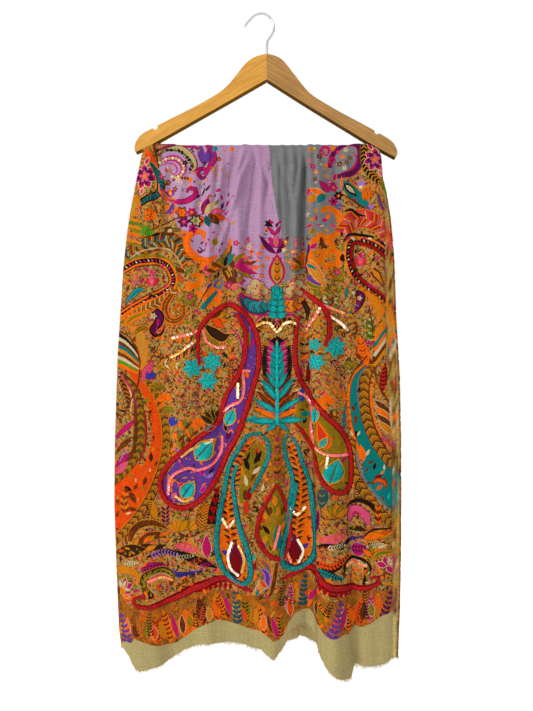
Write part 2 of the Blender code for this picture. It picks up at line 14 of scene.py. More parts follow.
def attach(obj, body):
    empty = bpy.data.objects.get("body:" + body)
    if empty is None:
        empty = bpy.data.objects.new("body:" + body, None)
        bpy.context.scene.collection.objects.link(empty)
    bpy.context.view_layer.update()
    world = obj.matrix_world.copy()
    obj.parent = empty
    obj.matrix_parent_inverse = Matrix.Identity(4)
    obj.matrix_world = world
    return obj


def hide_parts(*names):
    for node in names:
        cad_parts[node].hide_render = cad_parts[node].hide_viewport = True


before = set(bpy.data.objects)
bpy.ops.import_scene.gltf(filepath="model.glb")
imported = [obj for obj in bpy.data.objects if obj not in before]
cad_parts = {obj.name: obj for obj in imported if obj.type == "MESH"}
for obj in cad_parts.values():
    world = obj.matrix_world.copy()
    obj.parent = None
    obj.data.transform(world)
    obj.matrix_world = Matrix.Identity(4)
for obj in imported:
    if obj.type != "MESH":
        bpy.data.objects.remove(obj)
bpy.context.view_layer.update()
MM = 0.001
RNG = np.random.default_rng(11)

BAR_Z = -227.5
BAR_RADIUS = 4.5
CLOTH_WALL = 1.2
CLOTH_GAP = 0.3
FALL_SPREAD = 25.5
FALL_LENGTH = 120.0
LEAVE_ANGLE = math.radians(78.0)
HANGER_THICK = 14.0
HOOK_WIRE_RADIUS = 1.75
SKIN = 0.45
INNER = -0.75
MID_RADIUS = BAR_RADIUS + CLOTH_GAP + CLOTH_WALL / 2.0
ARC_PATH = MID_RADIUS * LEAVE_ANGLE

# Side edges of the cloth. Columns are the path from the bar's top, positive down the front
# and negative down the back, then the left edge and the right edge.
EDGE_TABLE = [
    (-905, -214, 239.5), (-850, -221, 240.8), (-800, -225, 243), (-700, -228, 244.7), (-600, -230, 245),
    (-500, -230, 244.7), (-400, -228, 242.4), (-350, -226, 239.8), (-300, -224, 236.3), (-250, -221, 234.3),
    (-200, -218, 232.3), (-160, -215, 229), (-120, -211, 224.4), (-80, -206, 217.1), (-50, -202.5, 209.1),
    (-27, -199.5, 203.2), (-13, -197, 199), (-10, -192, 195.5), (-7.4, -186.5, 191), (-3.6, -176.5, 183),
    (0, -172.5, 178), (3.6, -176.5, 183), (7.4, -186.5, 191), (10, -192.5, 195.5), (13, -197.8, 199.5),
    (27, -200.3, 203), (57, -206.8, 204.8), (87, -211.7, 206.8), (127, -218.6, 207.3), (167, -223, 207.5),
    (207, -226.8, 207.3), (257, -229.8, 207.2), (307, -232.8, 207.2), (357, -236, 207.8),
    (407, -237.4, 210.6), (507, -240.7, 216.4), (607, -241.2, 217.6), (707, -237.8, 217.8),
    (807, -233.3, 218.3), (857, -226.5, 219.2), (905, -222, 219.2),
]

# Drop of the hem below the bar. Columns are X and the drop.
FRONT_HEM = [
    (-240, 812), (-231, 822), (-224, 833), (-214, 847), (-206, 867), (-199, 873), (-185, 870), (-165, 866),
    (-145, 856), (-125, 843), (-106, 836), (-86, 830), (-60, 830), (-27, 832), (-14, 838), (3, 839),
    (12, 847), (22, 855), (32, 844), (42, 834), (50, 816), (57, 806), (71, 801), (88, 806), (97, 846),
    (104, 861), (111, 870), (121, 878), (131, 883), (141, 887), (149, 888), (155, 869), (163, 867),
    (180, 866), (200, 864), (212, 858), (220, 848),
]
BACK_HEM = [
    (-232, 838), (-200, 849), (-150, 846), (-90, 836), (-30, 842), (30, 851), (70, 850), (110, 868),
    (150, 884), (190, 892), (225, 893), (245, 876),
]

# Small gathers along the bar. Columns are X, height, half width, reach down the front,
# reach down the back and sideways drift for each millimetre down.
GATHERS = [
    (-186, 1.6, 5, 90, 70, -0.05), (-172, 2.4, 4, 110, 60, 0.06), (-139, 1.2, 6, 45, 70, -0.06),
    (-112, 1.5, 5, 60, 45, 0.02), (-89, 2.2, 4.5, 115, 90, 0.00), (-66, 1.4, 5, 55, 60, -0.05),
    (-50, 1.8, 4, 70, 50, -0.08), (-27, 3, 5, 130, 90, -0.14), (-5, 2.4, 5, 95, 60, 0.12),
    (14, 1.8, 4, 60, 80, 0.04), (37, 2.6, 4.5, 120, 80, 0.03), (54, 2.2, 4, 95, 60, 0.02),
    (67, 2.4, 4, 85, 95, 0.00), (84, 3.2, 4, 70, 60, 0.00), (97, 2.6, 3.6, 75, 70, 0.02),
    (117, 2.2, 4.5, 70, 60, 0.05), (141, 1.8, 5, 60, 90, 0.05), (163, 1.6, 5, 55, 60, 0.08),
]

# Long folds. Columns are a name, the crest line as drop and X pairs, the height as drop and
# millimetre pairs, the half width to the left, the half width to the right and the lean.
FRONT_FOLDS = [
    ("left_bunch", [(0, -184), (90, -181), (200, -196), (300, -212)],
     [(0, 1.5), (20, 4.5), (90, 4.5), (200, 2.5), (300, 0)], 12, 6, 0.15),
    ("left_roll", [(0, -205), (250, -212), (880, -212)],
     [(0, 0), (180, 0), (400, 2.5), (860, 6)], 14, 24, 0),
    ("left_hem_lobe", [(0, -170), (500, -168), (880, -186)],
     [(0, 0), (480, 0), (760, 5), (880, 8)], 20, 26, 0),
    ("left_wave", [(0, -125), (300, -128), (880, -112)],
     [(0, 0), (120, 2), (420, 4), (880, -4)], 24, 30, 0),
    ("left_edge", [(0, -89), (110, -90), (260, -92)],
     [(0, 0), (25, 2.6), (90, 2.2), (200, 0)], 4, 14, 0.3),
    ("shade_valley", [(0, -36), (30, -42), (60, -52), (90, -57), (150, -58), (260, -56), (420, -60)],
     [(0, 0), (20, -2.5), (100, -4), (240, -2.5), (420, 0)], 10, 5, 0),
    ("shade_ridge", [(0, -26), (30, -31), (60, -41), (90, -46), (150, -48), (260, -46), (460, -52)],
     [(0, 1), (20, 3.6), (100, 4.6), (240, 3), (460, 0)], 5, 16, 0.4),
    ("pinch", [(0, -13), (22, -8), (50, 0), (92, 6), (160, 12)],
     [(0, 0), (15, -2.2), (60, -2.6), (130, 0)], 4, 4, 0),
    ("middle_wave", [(0, -8), (300, -14), (600, -22), (880, -30)],
     [(0, 0), (200, 1.5), (500, 4), (700, 5), (880, -5)], 26, 24, 0),
    ("grey_one", [(0, 37), (60, 38), (150, 42), (260, 44)],
     [(0, 0), (20, 2.5), (110, 3), (230, 0)], 5, 6, 0.2),
    ("grey_two", [(0, 54), (60, 55), (160, 57), (260, 58)],
     [(0, 0), (20, 2.5), (100, 2.5), (200, 0)], 5, 5, 0.2),
    ("axis_ridge", [(0, 28), (300, 30), (600, 28), (880, 20)],
     [(0, 0), (240, 0), (420, 3.5), (700, 5), (880, 9)], 14, 13, 0),
    ("deep_valley", [(0, 73), (260, 70), (423, 75), (554, 80), (770, 79), (880, 76)],
     [(0, 0), (20, -2), (90, -4), (400, -6), (700, -8.5), (880, -13)], 14, 6, 0),
    ("overlap", [(0, 83), (260, 83), (423, 91), (554, 97), (770, 100), (880, 104)],
     [(0, 1), (20, 4), (90, 6.5), (260, 7.5), (560, 9), (880, 13)], 4, 30, 0.55),
    ("nub", [(0, 97), (50, 98), (120, 102)],
     [(0, 0), (14, 2.2), (60, 1.6), (120, 0)], 4, 5, 0),
    ("lobe", [(0, 120), (560, 124), (760, 126), (880, 134)],
     [(0, 0), (560, 0), (740, 5), (880, 10)], 18, 16, 0),
    ("break_valley", [(0, 122), (60, 130), (260, 136), (560, 144), (880, 158)],
     [(0, 0), (40, -1.6), (120, -3.2), (560, -3.8), (780, -6), (880, -9)], 8, 6, 0),
    ("break_ridge", [(0, 132), (60, 140), (260, 147), (560, 156), (880, 172)],
     [(0, 0), (40, 2.2), (120, 3.6), (560, 4.2), (880, 4)], 5, 18, 0.35),
    ("right_roll", [(0, 190), (260, 194), (560, 202), (880, 204)],
     [(0, 0), (60, 2), (260, 3), (880, 4.5)], 16, 12, 0),
]
BACK_FOLDS = [
    ("b_left_roll", [(0, -196), (300, -208), (880, -206)],
     [(0, 0), (60, 2), (400, 4), (880, 7)], 14, 20, 0),
    ("b_left_wave", [(0, -150), (300, -156), (880, -148)],
     [(0, 0), (60, -1.5), (400, -4), (880, -7)], 16, 18, 0),
    ("b_ridge_one", [(0, -112), (200, -114), (500, -106), (880, -98)],
     [(0, 0), (30, 3), (300, 5), (880, 9)], 8, 22, 0.3),
    ("b_valley_one", [(0, -60), (300, -52), (880, -46)],
     [(0, 0), (60, -1.5), (400, -3.5), (880, -8)], 18, 16, 0),
    ("b_middle", [(0, -8), (200, -4), (500, 6), (880, 2)],
     [(0, 0), (30, 2.5), (300, 4), (880, 8)], 20, 14, 0),
    ("b_valley_two", [(0, 40), (300, 46), (880, 50)],
     [(0, 0), (60, -2), (400, -5), (880, -9)], 14, 8, 0),
    ("b_ridge_two", [(0, 58), (300, 66), (880, 72)],
     [(0, 0), (30, 3), (300, 6), (880, 10)], 6, 26, 0.45),
    ("b_valley_three", [(0, 118), (300, 128), (880, 134)],
     [(0, 0), (60, -1), (400, -3), (880, -7)], 18, 14, 0),
    ("b_ridge_three", [(0, 152), (300, 166), (880, 170)],
     [(0, 0), (40, 2.5), (300, 4), (880, 7)], 14, 20, 0),
    ("b_right_roll", [(0, 190), (300, 220), (880, 226)],
     [(0, 0), (100, 1.5), (880, 3.5)], 14, 12, 0),
]

# Turned back edges. Columns are the path, the roll radius, the left turn back and the right one.
ROLL_TABLE = [
    (-905, 4, 62, 74), (-400, 4, 52, 66), (-120, 3.6, 38, 44), (-60, 2.6, 28, 30), (-18, 1.1, 20, 20),
    (0, 1.05, 16, 16), (18, 1.1, 20, 20), (60, 2.6, 30, 30), (120, 3.6, 40, 46), (400, 4, 56, 72),
    (905, 4, 66, 84),
]

# Hook wire, centre line. Columns are X, Z and the share of the wire radius.
HOOK_LINE = [
    (-27.1, -20, 1), (-20, -11.2, 1), (-12.6, -3.5, 1), (-6.8, 0.2, 1), (0, 1.75, 1), (6, 1.2, 1),
    (11.4, -1.2, 1), (16, -5.2, 1), (19.9, -10.4, 1), (22.2, -16.4, 1), (22.9, -22.4, 1), (21.9, -28.6, 1),
    (19.2, -34.2, 1), (15.6, -39.4, 1), (12.4, -44.2, 1), (11, -49, 1.06), (10.6, -54, 1.22),
    (10.5, -60, 1.22), (10.5, -84, 1.22),
]

# Arms, from the middle to the tip. Columns are X and Z of the upper edge, then of the lower one.
LEFT_TOP = [
    (10.15, -69.4), (-5.1, -73.6), (-15, -78.2), (-24, -85), (-34.6, -97.3), (-49.7, -116.7), (-59.8, -127.1),
    (-73.3, -137.4), (-108.7, -157.9), (-149, -178.1), (-192, -200.3), (-201.2, -206.7), (-208, -214.8),
    (-211.7, -223.5), (-212.3, -231.3),
]
LEFT_UNDER = [(10.15, -112.6), (-48.1, -146.2), (-168.4, -214.3), (-188.1, -225.4), (-210.4, -235.4)]
RIGHT_TOP = [
    (10.45, -69.4), (24.6, -73), (35.2, -78.8), (42.8, -86.6), (59.6, -107.9), (74.8, -127.3), (84.9, -137.4),
    (100, -147.8), (133.7, -167.6), (172.4, -188.2), (205, -206.4), (220, -216), (226.2, -223.5),
    (230.1, -232.8), (230.3, -239.5),
]
RIGHT_UNDER = [(10.45, -112.6), (78.2, -155.8), (143.8, -195.8), (187.0, -222.2), (227.4, -244.6)]
NOTCHES = [("notch_left", -177.8, -193.2, 4.6), ("notch_right", 196.4, -200.6, 4.6)]


def table_value(table, column, at):
    """A value between the rows of a table, whose first column is the place."""
    xs = [row[0] for row in table]
    ys = [row[column] for row in table]
    return np.interp(at, xs, ys)


def smooth(value):
    """A soft step from 0 to 1."""
    part = np.clip(value, 0.0, 1.0)
    return part * part * (3.0 - 2.0 * part)


def drop_of(path):
    """The drop below the point where the cloth leaves the bar, never under zero."""
    return np.maximum(np.abs(path) - ARC_PATH, 0.0)


def base_path(path):
    """Y, Z and outward normal of the plain fall, before folds."""
    side = np.where(path >= 0.0, -1.0, 1.0)
    along = np.minimum(np.abs(path), ARC_PATH)
    angle = along / MID_RADIUS
    drop = drop_of(path)
    spread = FALL_SPREAD * (1.0 - np.exp(-drop / FALL_LENGTH))
    y = side * (MID_RADIUS * np.sin(angle) + spread)
    z = BAR_Z + MID_RADIUS * np.cos(angle) - drop
    slope = FALL_SPREAD / FALL_LENGTH * np.exp(-drop / FALL_LENGTH)
    lean = np.where(drop > 0.0, np.pi / 2.0 - np.arctan(slope), angle)
    return y, z, side * np.sin(lean), np.cos(lean)


def fold_height(x, path):
    """Height of all folds above the plain fall, and the sideways lean that goes with them."""
    drop = drop_of(path)
    height = np.zeros_like(x)
    shift = np.zeros_like(x)
    front = path >= 0.0
    for at, high, half, reach_front, reach_back, drift in GATHERS:
        reach = np.where(front, reach_front, reach_back)
        fade = np.exp(-(drop / reach) ** 2)
        away = (x - at - drift * drop) / half
        height = height + high * fade * np.exp(-away * away) * (0.4 + 0.6 * smooth(drop / 26.0))
    for folds, sided in ((FRONT_FOLDS, front), (BACK_FOLDS, ~front)):
        for _, line, tall, left, right, lean in folds:
            crest = np.interp(drop, [row[0] for row in line], [row[1] for row in line])
            high = np.interp(drop, [row[0] for row in tall], [row[1] for row in tall])
            away = x - crest
            half = np.where(away < 0.0, left, right)
            bump = high * np.exp(-(away / half) ** 2)
            bump = np.where(sided, bump, 0.0)
            height = height + bump
            shift = shift - lean * bump
    return height, shift


def edge_lift(x, path, left, right):
    """The face is lifted where a turned back edge lies under it on the bar."""
    drop = drop_of(path)
    near = 1.0 - smooth((drop - 15.0) / 45.0)
    away = np.minimum(x - left, right - x)
    return 2.4 * near * (1.0 - smooth((away - 24.0) / 12.0))


def face_height(x, path, left, right):
    """Height of the face with folds and turned edges below it, and its sideways shift."""
    height, shift = fold_height(x, path)
    drop = drop_of(path)
    floor = 0.15 - 40.0 * smooth((drop - 4.0) / 60.0)
    height = height + edge_lift(x, path, left, right)
    tame = smooth(np.minimum(x - left, right - x) / 10.0)
    return np.maximum(height, floor), shift * tame


def cloth_point(q, path):
    """Middle of the wall. q runs 0 to 1 over the face, -1 to 0 and 1 to 2 over turned back edges."""
    q = np.asarray(q, dtype=float)
    path = np.asarray(path, dtype=float)
    half_wall = CLOTH_WALL / 2.0
    edge_left = table_value(EDGE_TABLE, 1, path) + half_wall
    edge_right = table_value(EDGE_TABLE, 2, path) - half_wall
    roll = table_value(ROLL_TABLE, 1, path)
    left = edge_left + roll
    right = edge_right - roll
    turn_left = table_value(ROLL_TABLE, 2, path)
    turn_right = table_value(ROLL_TABLE, 3, path)
    arc_share = 0.5
    face = np.clip(q, 0.0, 1.0)
    x_face = left + (right - left) * face
    over_left = np.clip(-q, 0.0, 1.0)
    over_right = np.clip(q - 1.0, 0.0, 1.0)
    over = np.maximum(over_left, over_right)
    turned = over > 0.0
    angle = np.pi * np.clip(over / arc_share, 0.0, 1.0)
    run = np.clip((over - arc_share) / (1.0 - arc_share), 0.0, 1.0)
    length = np.where(over_left > 0.0, turn_left, turn_right)
    inward = np.where(over_left > 0.0, 1.0, -1.0)
    x_start = np.where(over_left > 0.0, left, right)
    x_turn = x_start + inward * (run * length - roll * np.sin(angle))
    x_base = np.where(turned, x_turn, x_face)
    x_look = np.where(turned, x_start + inward * run * length, x_face)
    height, shift = face_height(x_look, path, left, right)
    height = np.where(turned, height - roll * (1.0 - np.cos(angle)), height)
    y, z, ny, nz = base_path(path)
    return x_base + shift, y + ny * height, z + nz * height


def hem_drop(q, front):
    """Drop of the hem at q."""
    table = FRONT_HEM if front else BACK_HEM
    guess = 860.0 if front else -860.0
    x = cloth_point(np.asarray(q, dtype=float), np.full(len(q), guess))[0]
    return np.interp(x, [row[0] for row in table], [row[1] for row in table])


# The cloth's own coordinates

# Fine creases of the front and the rear fall: place across, lean, top and end along the
# drawing, half width and height.
CREASES = (
    (
        (46, 0.02, 8, 210, 7, 1.5), (58, 0.01, 30, 330, 9, -1.4), (84, -0.04, 6, 160, 6, 1.3),
        (101, 0.05, 20, 420, 10, 1.4), (118, -0.02, 4, 120, 5, -1.3), (131, 0.06, 10, 190, 6, 1.9),
        (143, 0.00, 6, 150, 4, -1.6), (152, -0.05, 8, 250, 7, 2.2), (178, 0.08, 12, 300, 8, 1.8),
        (212, -0.06, 8, 110, 4, -1.5), (222, 0.03, 5, 260, 7, 1.9), (247, 0.07, 6, 150, 5, 2),
        (284, 0.05, 9, 210, 6, 1.6), (300, -0.05, 6, 150, 6, -1.3), (199, -0.28, 0, 90, 4, -1.5),
        (206, -0.26, 0, 150, 5, 1.6), (213, 0.24, 2, 40, 4, -1.3), (219, -0.10, 26, 150, 4, -1.2),
        (216, 0.33, 14, 80, 4, -1.4), (223, 0.30, 12, 120, 5, 1.3), (243, -0.12, 4, 60, 4, -1.2),
        (240, 0.10, 60, 190, 6, 1.2), (187, -0.16, 90, 230, 6, -1.3), (252, 0.16, 6, 80, 4, -1.2),
        (262, 0.24, 40, 120, 4, -1.4), (269, 0.16, 30, 170, 5, 1.3), (291, -0.10, 4, 60, 4, -1.3),
        (296, -0.04, 2, 230, 5, 1.7), (306, -0.04, 0, 300, 4, -2), (165, 0.10, 40, 150, 4, -1.1),
        (316, 0.03, 12, 280, 8, 1.5), (335, -0.02, 8, 170, 6, 1.2), (352, 0.04, 18, 380, 9, -1.3),
        (377, -0.03, 10, 210, 8, 1.3), (396, 0.01, 24, 300, 8, -1.1), (72, 0.05, 250, 560, 13, -1.7),
        (112, -0.06, 330, 700, 15, 1.8), (160, 0.04, 290, 620, 14, -1.6), (206, -0.05, 400, 800, 16, 1.7),
        (243, 0.03, 300, 640, 12, 1.5), (268, 0.05, 480, 900, 15, -2.1), (300, 0.06, 420, 900, 14, 2.1),
        (326, -0.02, 520, 900, 15, -1.9), (352, 0.05, 300, 720, 14, 1.7), (386, -0.04, 420, 900, 14, -1.5),
        (48, 0.03, 520, 900, 14, 1.6), (84, -0.03, 600, 900, 13, -1.8), (128, 0.05, 640, 900, 12, 1.6),
        (184, -0.03, 560, 900, 14, -1.8), (226, 0.02, 660, 900, 11, 1.9), (404, 0.02, 600, 900, 12, 1.5),
        (318, 0.02, 190, 900, 11, -2.6), (338, 0.02, 200, 900, 13, 2.2), (178, 0.02, 110, 380, 8, -2),
        (191, 0.01, 130, 420, 9, 1.7), (286, 0.03, 150, 520, 9, 1.6), (150, -0.02, 420, 900, 15, 1.5),
    ),
    (
        (52, 0.03, 30, 240, 8, 1.4), (79, -0.03, 10, 180, 7, -1.3), (104, 0.04, 16, 390, 9, 1.6),
        (127, -0.02, 8, 150, 6, -1.5), (149, 0.05, 12, 220, 7, 2), (168, -0.05, 8, 300, 7, 1.8),
        (187, 0.02, 14, 140, 5, -1.6), (209, 0.04, 8, 260, 7, 2.1), (231, -0.04, 10, 170, 6, -1.7),
        (252, 0.03, 8, 330, 8, 1.9), (275, 0.00, 16, 200, 6, 1.6), (297, 0.05, 8, 160, 6, -1.4),
        (322, -0.04, 12, 300, 8, 1.6), (349, 0.02, 20, 240, 8, -1.2), (378, 0.03, 10, 330, 9, 1.4),
        (66, 0.04, 300, 640, 14, 1.8), (120, -0.04, 380, 900, 15, -1.8), (170, 0.05, 330, 700, 13, 1.6),
        (214, -0.02, 460, 900, 15, 2), (262, 0.04, 360, 900, 14, -1.9), (312, -0.04, 440, 900, 15, 1.8),
        (360, 0.03, 330, 760, 14, -1.5), (398, 0.01, 520, 900, 12, 1.4), (142, 0.02, 640, 900, 12, 1.5),
        (240, 0.02, 640, 900, 12, -1.6), (338, 0.02, 680, 900, 12, 1.6),
    ),
)
WIDE = 440.0
LONG = 860.0
UNIT = 1.695
EYE = (10.0, -1000.0, -577.8)
MID_PX = (266.5, 355.5)
ROLL_LONG = 12.6
TURN_BACK = 70.0


def to_path(q, b, front):
    """Path on the cloth for a length b along the drawing, which always ends at the hem."""
    hem = hem_drop(np.clip(q, 0.0, 1.0), front) + ARC_PATH
    path = np.where(b > 0.0, b * (1.0 + (hem / (LONG + ARC_PATH) - 1.0) * smooth(b / 500.0)), b)
    return path if front else -path


CREASE_DEPTH = 2.2


def crease(a, b, front):
    """Soft folds listed one by one: how far the cloth stands out towards the viewer."""
    out = np.zeros(np.broadcast(a, b).shape)
    for at, lean, top, end, wide, high in CREASES[0 if front else 1]:
        line = at + lean * (b - top)
        shape = np.exp(-((a - line) / wide) ** 2)
        fade = smooth((b - top) / 46.0) * (1.0 - smooth((b - end) / 90.0))
        out = out + high * CREASE_DEPTH * shape * fade
    inner = smooth((a - 6.0) / 34.0) * smooth((WIDE - 6.0 - a) / 34.0)
    return out * inner * smooth((b - 9.0) / 40.0)


def to_q(a):
    """Share across the face for a length a across the drawing; beyond it, round the rolled sides."""
    q = np.clip(a / WIDE, 0.0, 1.0)
    q = np.where(a < 0.0, 0.5 * a / ROLL_LONG, q)
    return np.where(a > WIDE, 1.0 + 0.5 * (a - WIDE) / ROLL_LONG, q)


def sheet_points(a, b, front, lift):
    """Points on the cloth's outer side, and their outward normals."""
    a, b = np.asarray(a, dtype=float), np.asarray(b, dtype=float)
    q = to_q(a)
    path = to_path(q, b, front)
    step = 0.6
    spots = []
    for da, db in ((step, 0.0), (-step, 0.0), (0.0, step), (0.0, -step), (0.0, 0.0)):
        spot = np.stack(cloth_point(q + da / WIDE, path + db), axis=-1)
        spot[..., 1] -= crease(a + da, b + (db if front else -db), front) * (1.0 if front else -1.0)
        spots.append(spot)
    across = spots[0] - spots[1]
    along = spots[2] - spots[3]
    normal = np.cross(along, across)
    normal = normal / np.maximum(np.linalg.norm(normal, axis=-1, keepdims=True), 1e-9)
    return spots[4] + normal * np.asarray(lift)[..., None], normal


def drawing_to_sheet(points):
    """Drawing units, as seen from the front, to a and b on the cloth."""
    pts = np.asarray(points, dtype=float)
    depth = np.full(len(pts), -25.0)
    for _ in range(5):
        scale = (1000.0 + depth) / 1000.0
        z = EYE[2] - (pts[:, 1] - MID_PX[1]) * UNIT * scale
        drop = BAR_Z + MID_RADIUS * math.cos(LEAVE_ANGLE) - z
        safe = np.maximum(drop, 0.0)
        depth = -(MID_RADIUS + FALL_SPREAD * (1.0 - np.exp(-safe / FALL_LENGTH))) - 2.0
    x = EYE[0] + (pts[:, 0] - MID_PX[0]) * UNIT * scale
    path = ARC_PATH + np.where(drop > 0.0, drop, drop * 1.4)
    roll = table_value(ROLL_TABLE, 1, path)
    left = table_value(EDGE_TABLE, 1, path) + CLOTH_WALL / 2.0 + roll
    right = table_value(EDGE_TABLE, 2, path) - CLOTH_WALL / 2.0 - roll
    q = (x - left) / (right - left)
    a = q * WIDE
    hem = hem_drop(np.clip(q, 0.0, 1.0), True) + ARC_PATH
    b = path
    for _ in range(4):
        b = path / (1.0 + (hem / (LONG + ARC_PATH) - 1.0) * smooth(b / 500.0))
    return np.stack([a, b], axis=1)


# Drawing tools

# The print's colours, each by two letters, such as kh for khaki, lk for light khaki,
# og for ochre gold, dp for dark plum and tq for turquoise.
PAINT = {
    "kh": (170, 140, 72), "be": (180, 163, 108), "lk": (206, 186, 138), "li": (179, 139, 172),
    "gy": (123, 122, 122), "bk": (28, 14, 10), "br": (92, 42, 8), "db": (56, 28, 8), "tn": (160, 96, 24),
    "or": (244, 106, 0), "do": (232, 70, 0), "og": (206, 122, 4), "go": (196, 134, 40), "ol": (134, 116, 10),
    "gr": (92, 112, 20), "te": (0, 116, 112), "dt": (14, 76, 84), "tq": (0, 164, 158), "ma": (184, 16, 92),
    "pk": (214, 78, 112), "sa": (216, 92, 78), "pu": (96, 52, 136), "dp": (84, 14, 66), "bl": (52, 54, 154),
    "rd": (158, 0, 6), "dr": (116, 0, 4), "cr": (222, 204, 152), "ws": (224, 204, 172), "gb": (98, 110, 120),
    "rs": (208, 46, 22), "lp": (160, 110, 182), "gn": (80, 140, 24),
}

# How little of the fine printed filigree shows on a colour; 1 for none.
FILIGREE = {"kh": 0.0, "tn": 0.4, "ol": 0.7, "or": 0.85, "do": 0.8, "br": 0.8}


def linear(rgb):
    """Linear colour from sRGB numbers of 0 to 255."""
    part = np.asarray(rgb, dtype=float) / 255.0
    return np.where(part <= 0.04045, part / 12.92, ((part + 0.055) / 1.055) ** 2.4)


def spline(points, count):
    """A smooth line through the points."""
    pts = np.asarray(points, dtype=float)
    if len(pts) < 3:
        return np.stack([np.linspace(pts[0][k], pts[-1][k], count) for k in (0, 1)], axis=1)
    ext = np.vstack([2 * pts[0] - pts[1], pts, 2 * pts[-1] - pts[-2]])
    at = np.linspace(0, len(pts) - 1 - 1e-6, count)
    seg = at.astype(int)
    t = (at - seg)[:, None]
    p0, p1, p2, p3 = (ext[seg + k] for k in range(4))
    return 0.5 * (2 * p1 + (p2 - p0) * t + (2 * p0 - 5 * p1 + 4 * p2 - p3) * t ** 2
                  + (3 * p1 - p0 - 3 * p2 + p3) * t ** 3)


def even(points, gap):
    """The same line with points a fixed distance apart."""
    step = np.linalg.norm(np.diff(points, axis=0), axis=1)
    run = np.concatenate([[0.0], np.cumsum(step)])
    count = max(2, int(round(run[-1] / gap)) + 1)
    at = np.linspace(0, run[-1], count)
    return np.stack([np.interp(at, run, points[:, k]) for k in (0, 1)], axis=1)


def sides(line):
    """Unit directions along a line and to its side."""
    way = np.gradient(line, axis=0)
    way = way / np.maximum(np.linalg.norm(way, axis=1, keepdims=True), 1e-9)
    return way, np.stack([-way[:, 1], way[:, 0]], axis=1)


SPARSE = 0.35
MAP_LEFT = 105
MAP_TOP = 135
MAP_SIZE = (560, 320)
SMALL_MOTIF = 30


def plain(outline, slack=0.2):
    """The outline without points that lie on the line between their neighbours."""
    for _ in range(3):
        if len(outline) < 7:
            break
        before, after = np.roll(outline, 1, axis=0), np.roll(outline, -1, axis=0)
        way = after - before
        off = np.abs(way[:, 0] * (outline[:, 1] - before[:, 1]) - way[:, 1] * (outline[:, 0] - before[:, 0]))
        off = off / np.maximum(np.hypot(way[:, 0], way[:, 1]), 1e-6)
        outline = outline[~((off < slack) & (np.arange(len(outline)) % 2 == 1))]
    return outline


